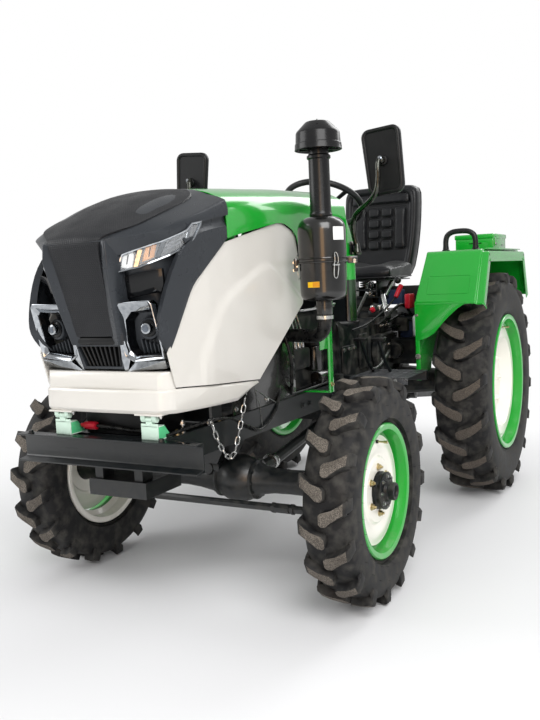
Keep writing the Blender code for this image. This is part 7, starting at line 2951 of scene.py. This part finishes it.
@dataclass
class DriveAxle:
    """The driven front axle: tubes, differential, yokes, pivot and the drive shaft.

    Attributes:
        height: The height of the axle's middle.
        reach: Half the distance between the yokes' inner faces.
        differential: The X of the differential's middle.
    """

    height: float = .371
    reach: float = .4
    differential: float = .1

    def build(self) -> None:
        """Makes the axle, and finishes the knuckles, the tie rod and the drive shaft."""
        z, gap = self.height, .0865
        piece = Piece("front_drive_axle")
        tube = [
            (-.392, 0.0), (-.392, .052), (-.384, .055), (-.376, .052), (-.37, .044), (-.3, .0425),
            (-.18, .041), (-.12, .041), (-.06, .046), (0.0, .056), (.018, .062), (.022, .07),
            (.03, .07), (.034, .064), (.06, .078), (.085, .0845), (.11, .0845), (.14, .076),
            (.16, .064), (.164, .07), (.172, .07), (.176, .06), (.2, .05), (.24, .044), (.3, .0425),
            (.37, .044), (.376, .052), (.384, .055), (.392, .052), (.392, 0.0)]
        piece.add(turned(tube, "X", (0.0, 0.0, z), 48), CHASSIS)
        for x, way in ((.0215, -1), (.1725, 1)):
            piece.add(
                ring_of(bolt((x, .0635, z), (way, 0, 0), .01), 10, LEFT, (x, 0.0, z)), CHASSIS)
        piece.fit(
            CHASSIS, block((-.045, -.06, z + .025), (.045, .06, .432), .006),
            turned(
                [(-.064, 0.0), (-.064, .02), (-.058, .024), (.058, .024), (.064, .02), (.064, 0.0)],
                "Y", (0.0, 0.0, .412), 32),
            turned([(.055, 0.0), (.055, .052), (.09, .046), (.1, .04), (.14, .038), (.149, .034),
                 (.149, 0.0)], "Y", (self.differential, 0.0, z), 32))
        yoke = [
            (self.reach - .016, -gap - .02), (.478, -gap - .02), (.478, -gap),
            (self.reach + .004, -gap), (self.reach, -gap + .006), (self.reach, gap - .006),
            (self.reach + .004, gap), (.478, gap), (.478, gap + .02),
            (self.reach - .016, gap + .02)]
        piece.add(slab([(x, z + up) for x, up in yoke], "Y", -.03, .03, .003), CHASSIS, both=True)
        for way in (1, -1):
            cap = turned(
                [(0.0, 0.0), (0.0, .026), (.006, .025), (.01, .018), (.011, 0.0)] if way > 0
                else [(0.0, 0.0), (0.0, .026), (-.006, .025), (-.01, .018), (-.011, 0.0)], "Z",
                (.452, 0.0, z + way * (gap + .018)), 28)
            piece.add(cap, CHASSIS, both=True)
        piece.place("front_axle")
        repaint(CHASSIS, "left_knuckle", "right_knuckle", "tie_rod", "front_drive_shaft")
        band = Piece("drive_shaft_band")
        band.add(rod((.0954, .22, .3766), (.0935, .25, .379), .0312, .001, 36), ZINC)
        band.place()
        for side, word in sides():
            ends = Piece(f"knuckle_{word}_fittings", body=f"knuckle_{word}", side=side)
            ends.add(turned(
                [(.452 + .04, .05)]
                + [(.452 + .004 + .006 * step, .056 + .0016 * (step % 2)) for step in range(5)]
                + [(.452 + .04, .054)], "X", (0.0, 0.0, z), 32), HOSE)
            ends.add(seated([(.452, -.128, z - .0225)], UP, .022, True), ZINC)
            ends.place()
        rods = Piece("tie_rod_fittings", body="tie_rod")
        for start in (.296, .366):
            rods.add(
                rod((start, -.135, .3185), (start + .012, -.135, .3185), .0185, .001, 6), CHASSIS,
                both=True)
        rods.place()


@dataclass
class PowerUnit:
    """The engine, radiator and gearbox with the fittings that show beside and under the seat."""

    def build(self) -> None:
        """Finishes the castings and adds what is bolted to them."""
        repaint(IRON, "engine", "transmission", "rear_axle_left", "rear_axle_right")
        repaint(
            CHASSIS, "frame_rails", "radiator", "hitch_frame", "lift_arms", "lift_rod_left",
            "lift_rod_right", "lower_link_left", "lower_link_right")
        self.engine()
        self.gearbox()
        self.hydraulics()
        self.levers()
        self.hitch()

    def engine(self) -> None:
        """Covers, ribs, the injection pump with its pipes, filters, manifolds and the fan."""
        piece = Piece("engine_fittings", "painted_iron")
        piece.fit(
            IRON, block((.148, -.06, .69), (.166, .23, .86), .008),
            seated([(.166, y, z) for y in (-.045, .04, .125, .215) for z in (.705, .845)], LEFT,
                .013), block((.148, .27, .72), (.192, .42, .8), .01))
        for y in (.295, .325, .355, .385):
            piece.fit(
                ZINC, rod((.172, y, .798), (.172, y, .826), .009, .001, 16),
                cable([(.172, y, .826), (.172, y, .86), (.15, y * .9 + .02, .96),
                     (.122, y * .8, 1.02)], 5, .0032, 3))
        piece.add(rod((.178, .48, .7), (.178, .48, .8), .034, .006, 32), BLACK_ENAMEL)
        piece.add(rod((.178, .48, .8), (.178, .48, .812), .038, .003, 32), IRON)
        piece.add(rod((.172, .5, .66), (.172, .62, .66), .03, .004, 32), BLACK_ENAMEL)
        piece.fit(
            IRON,
            *[rod((-.105, y, 1.0), (-.165, y, .985), .02, sides=24) for y in (0.0, .11, .32, .43)],
            rod((-.165, -.03, .985), (-.165, .46, .985), .026, .006, 32))
        piece.add(block((-.075, -.03, 1.088), (.075, .43, 1.118), .01, 3), BLACK_ENAMEL)
        piece.add(seated([(0.0, y, 1.118) for y in (.06, .34)], UP, .022), ZINC)
        blade = block((-.02, -.2, .88), (.02, -.196, 1.02), .0015)
        piece.add(
            ring_of(moved(blade, around(24.0, "Z", (0.0, -.198, 0.0))), 6, BACK, (0.0, -.198, .88)),
            BLACK_MOULDING)
        piece.fit(
            STEEL, rod((0.0, -.205, .88), (0.0, -.09, .88), .03, sides=28),
            *[turned([(-.128, .012), (-.128, radius), (-.123, radius - .007), (-.118, radius),
                     (-.118, .012)], "Y", (x, 0.0, z), 40)
                for x, z, radius in ((0.0, .88, .055), (0.0, .7, .07), (.105, .82, .034))])
        piece.add(pipe(
            [(.055, -.123, .88), (.139, -.123, .82), (.07, -.123, .69), (-.07, -.123, .69),
             (-.055, -.123, .885), (0.0, -.123, .935)], .005, 2, True), HOSE)
        piece.add(rod((.105, -.11, .82), (.105, -.01, .82), .038, .004, 32), ALLOY)
        piece.add(block((.196, -.322, .68), (.2035, -.27, 1.06), .002), CHASSIS, both=True)
        piece.add(cable(
            [(.1, -.262, 1.06), (.1, -.215, 1.075), (.07, -.15, 1.06), (.06, -.062, 1.03)], 5, .019,
            5), HOSE)
        piece.add(cable(
            [(.15, .236, .94), (.2, .33, .945), (.226, .43, .95), (.24, .56, .96)], 5, .0045, 3),
            ZINC)
        piece.add(cable(
            [(.158, .18, .9), (.2, .18, .87), (.222, .19, .78), (.214, .205, .69),
             (.196, .23, .64)], 6, .007, 4), HOSE)
        panel = [(-.2, .63), (.262, .63), (.262, .872), (.24, .892), (-.12, .892), (-.2, .79)]
        piece.add(slab(panel, "X", .1975, .2005, .001), BLACK_ENAMEL)
        piece.add(
            seated([(.2005, y, z) for y in (-.18, .03, .24) for z in (.652, .78)], LEFT, .012),
            ZINC)
        for row in range(7):
            piece.add(
                block((.1495, -.075, .664 + .0035 * row), (.152, 0.0, .6655 + .0035 * row)), IRON)
        piece.place()

    def gearbox(self) -> None:
        """Flanges with bolts, ribs, covers, the brake drums and pedals beside the gearbox."""
        piece = Piece("gearbox_fittings", "painted_iron")
        section = rounded((0.0, .675), .322, .42, .05, 5)
        for y in (.646, .768):
            piece.add(slab(section, "Y", y, y + .014, .002), IRON)
        for z in (.52, .59, .66, .73, .8):
            piece.add(seated([(.1545, .66, z)], BACK, .016), ZINC, both=True)
        piece.add(block((.149, .81, .56), (.16, .95, .76), .008), IRON, both=True)
        piece.add(
            seated([(.16, y, z) for y in (.822, .88, .938) for z in (.575, .745)], LEFT, .014),
            ZINC, both=True)
        piece.add(block((.149, 1.0, .64), (.166, 1.1, .8), .008), IRON, both=True)
        drum = turned(
            [(.165, 0.0), (.165, .078), (.172, .086), (.196, .086), (.204, .078), (.206, .04),
             (.214, .036), (.214, 0.0)], "X", (0.0, 1.21, .7), 40)
        piece.add(drum, IRON, both=True)
        piece.add(
            ring_of(bolt((.2045, 1.21, .762), LEFT, .012), 6, LEFT, (0.0, 1.21, .7)), ZINC,
            both=True)
        piece.add(cable(
            [(.225, 1.205, .705), (.25, 1.12, .7), (.262, .98, .66), (.262, .9, .654)], 5, .006, 3),
            STEEL, both=True)
        for x in (.25, .33):
            arm = [(x, .93, .644), (x, .88, .68), (x, .835, .742), (x, .8, .79)]
            piece.add(cable(arm, 5, .0075, 4), CHASSIS)
            piece.add(block((x - .028, .78, .786), (x + .028, .812, .8), .003), BLACK_MOULDING)
        piece.add(block((-.06, .85, .818), (.06, 1.08, .838), .006), ALLOY)
        piece.add(
            seated([(x, y, .838) for x in (-.048, .048) for y in (.865, .965, 1.065)], UP, .013),
            ZINC)
        piece.place()

    def hydraulics(self) -> None:
        """The lift's cover, valve block, hoses, fuel bottle, strut and the red-handled lever."""
        piece = Piece("lift_hydraulics", "painted_iron")
        piece.add(block((.095, 1.25, .783), (.165, 1.36, .86), .006), IRON)
        piece.add(block((.1, 1.27, .858), (.158, 1.345, .892), .004), BLACK_MOULDING)
        piece.fit(
            ZINC, seated([(.165, y, .82) for y in (1.262, 1.305, 1.348)], LEFT, .016, True),
            *[rod((x, y, .89), (x, y, .916), .01, .002, 16)
                for x, y in ((.115, 1.29), (.142, 1.318))])
        piece.add(rod((.132, 1.262, .89), (.128, 1.25, .905), .012, .003, 18), RED_MOULDING)
        for start, lift, end in (
                ((.165, 1.3, .83), .05, (.19, 1.62, .8)),
                ((.165, 1.33, .8), .018, (.196, 1.65, .76)),
                ((.158, 1.2, .83), .07, (.25, 1.48, .86))):
            middle = (Vector(start) + Vector(end)) / 2 + Vector((.04, 0.0, lift))
            piece.add(cable(
                [start, tuple(Vector(start) + Vector((.03, .015, .01))), tuple(middle), end], 7,
                .0075, 4), HOSE)
        piece.add(cable(
            [(.19, .85, .83), (.215, .98, .85), (.24, 1.12, .9), (.262, 1.22, .955)], 6, .004, 3),
            BLACK_MOULDING)
        piece.add(rod((.262, 1.22, .955), (.276, 1.262, 1.01), .0105, .003, 20, .012), RED_MOULDING)
        piece.add(ball((.268, 1.24, 1.034), .016), BLACK_MOULDING)
        piece.add(block((.262, 1.34, .895), (.292, 1.41, .965), .006), RED_MOULDING)
        piece.add(turned(
            [(.76, 0.0), (.76, .03), (.766, .034), (.85, .034), (.862, .026), (.866, .014),
             (.88, .014), (.88, 0.0)], "Z", (.33, 1.36, 0.0), 32), BOTTLE)
        piece.add(rod((.33, 1.36, .88), (.33, 1.36, .894), .018, .002, 24), GREEN)
        piece.add(block((.296, 1.33, .752), (.364, 1.392, .76), .002), CHASSIS)
        piece.add(rod((.15, 1.348, .964), (.185, 1.3, .88), .012, .001, 24), ZINC)
        piece.add(rod((.185, 1.3, .88), (.195, 1.285, .85), .017, .002, 24), BLACK_ENAMEL)
        piece.add(block((.168, 1.498, .622), (.398, 1.506, .935), .003), CHASSIS, both=True)
        piece.add(block((-.392, 1.502, .915), (.392, 1.508, 1.003), .003), CHASSIS)
        piece.add(block((.09, 1.44, .912), (.215, 1.502, .985), .005), HARNESS_BLUE)
        piece.fit(
            IRON, block((.168, 1.38, .62), (.33, 1.498, .745), .01),
            rod((.2, 1.38, .69), (.2, 1.34, .69), .04, .004, 32), both=True)
        piece.add(block((.2, 1.44, .745), (.292, 1.498, .85), .006), HARNESS_BLUE)
        piece.add(rod((.166, 1.43, .84), (.4, 1.43, .84), .012, sides=20), CHASSIS)
        piece.add(block((.166, 1.405, .78), (.25, 1.48, .85), .008), IRON)
        piece.place()

    def levers(self) -> None:
        """The gear and throttle levers with their gate and knobs."""
        piece = Piece("gear_levers_and_gate")
        base_y = 1.04
        piece.add(block((-.06, .98, .8205), (.12, 1.11, .849), .006), IRON)
        piece.add(block((-.048, .992, .8485), (.108, 1.098, .8515), .002), STEEL)
        for route, knob, size in (
                (((.02, base_y, .845), (.03, base_y + .004, .9), (.058, base_y + .019, 1.024)),
                 (.0635, base_y + .0215, 1.042), .0175),
                (((.1, base_y + .05, .845), (.12, base_y + .046, .89), (.178, base_y + .03, .986)),
                 (.198, base_y + .025, 1.018), .014)):
            piece.add(cable(route, 6, .007, 4), STEEL)
            piece.add(ball(knob, size, 20, 14, 1.25), GLOSS_BLACK)
            foot = Vector(route[0])
            piece.add(turned(
                [(0.0, .01), (0.0, .026), (.005, .027), (.01, .021), (.014, .022), (.019, .016),
                 (.023, .016), (.028, .009)], "Z", foot + Vector((0.0, 0.0, .004)), 24), HOSE)
        piece.place("gear_levers")

    def hitch(self) -> None:
        """Bright balls, pins and clips on the three-point hitch, and the power take-off."""
        piece = Piece("hitch_fittings", origin=REAR_AXLE)
        spline = slab(
            [(.018 * cos(tau * k / 24) * (1.0 if k % 4 < 2 else .86),
              .56 + .018 * sin(tau * k / 24) * (1.0 if k % 4 < 2 else .86)) for k in range(24)],
            "Y", .2, .294)
        piece.add(spline, STEEL)
        piece.fit(
            ZINC, seated([(x, .205, z) for x in (-.15, .15) for z in (.42, .48)], BACK, .016),
            seated([(x, .205, z) for x in (-.08, .08) for z in (.66, .775)], BACK, .016),
            rod((-.03, .238, .712), (.03, .238, .712), .007, sides=16))
        for side in (1, -1):
            piece.add(ring_of(
                bolt((side * .19, .062, .525), (side, 0, 0), .016), 8, LEFT, (0.0, 0.0, .525)),
                ZINC)
        piece.place()
        for side, word in sides():
            link = Piece(
                f"lower_link_{word}_ball", body=f"lower_link_{word}", origin=REAR_AXLE, side=side)
            link.add(turned(
                [(-.021, .0145), (-.021, .017), (-.01, .0245), (0.0, .0265), (.01, .0245),
                 (.021, .017), (.021, .0145)], "X", (.24, .6, .372), 28), ZINC)
            link.place()


def main() -> None:
    """Builds every sub-assembly in turn."""
    logging.basicConfig(level=logging.INFO, format="%(name)s: %(message)s")
    Studio().build()
    for wheel in field_wheels():
        wheel.build()
    NoseMask().build()
    MiddlePanel().build()
    LowerGrille().build()
    Bonnet().build()
    AirCleaner().build()
    SteeringGear().build()
    Cowl().build()
    Seat().build()
    FrontFrame().build()
    DriveAxle().build()
    PowerUnit().build()
    for side, word in sides():
        Headlamp().build(side, word)
        FogLamp().build(side, word)
        Mirror().build(side, word)
        RearFender().build(side, word)
        Footboard().build(side, word)


if __name__ == "__main__":
    main()
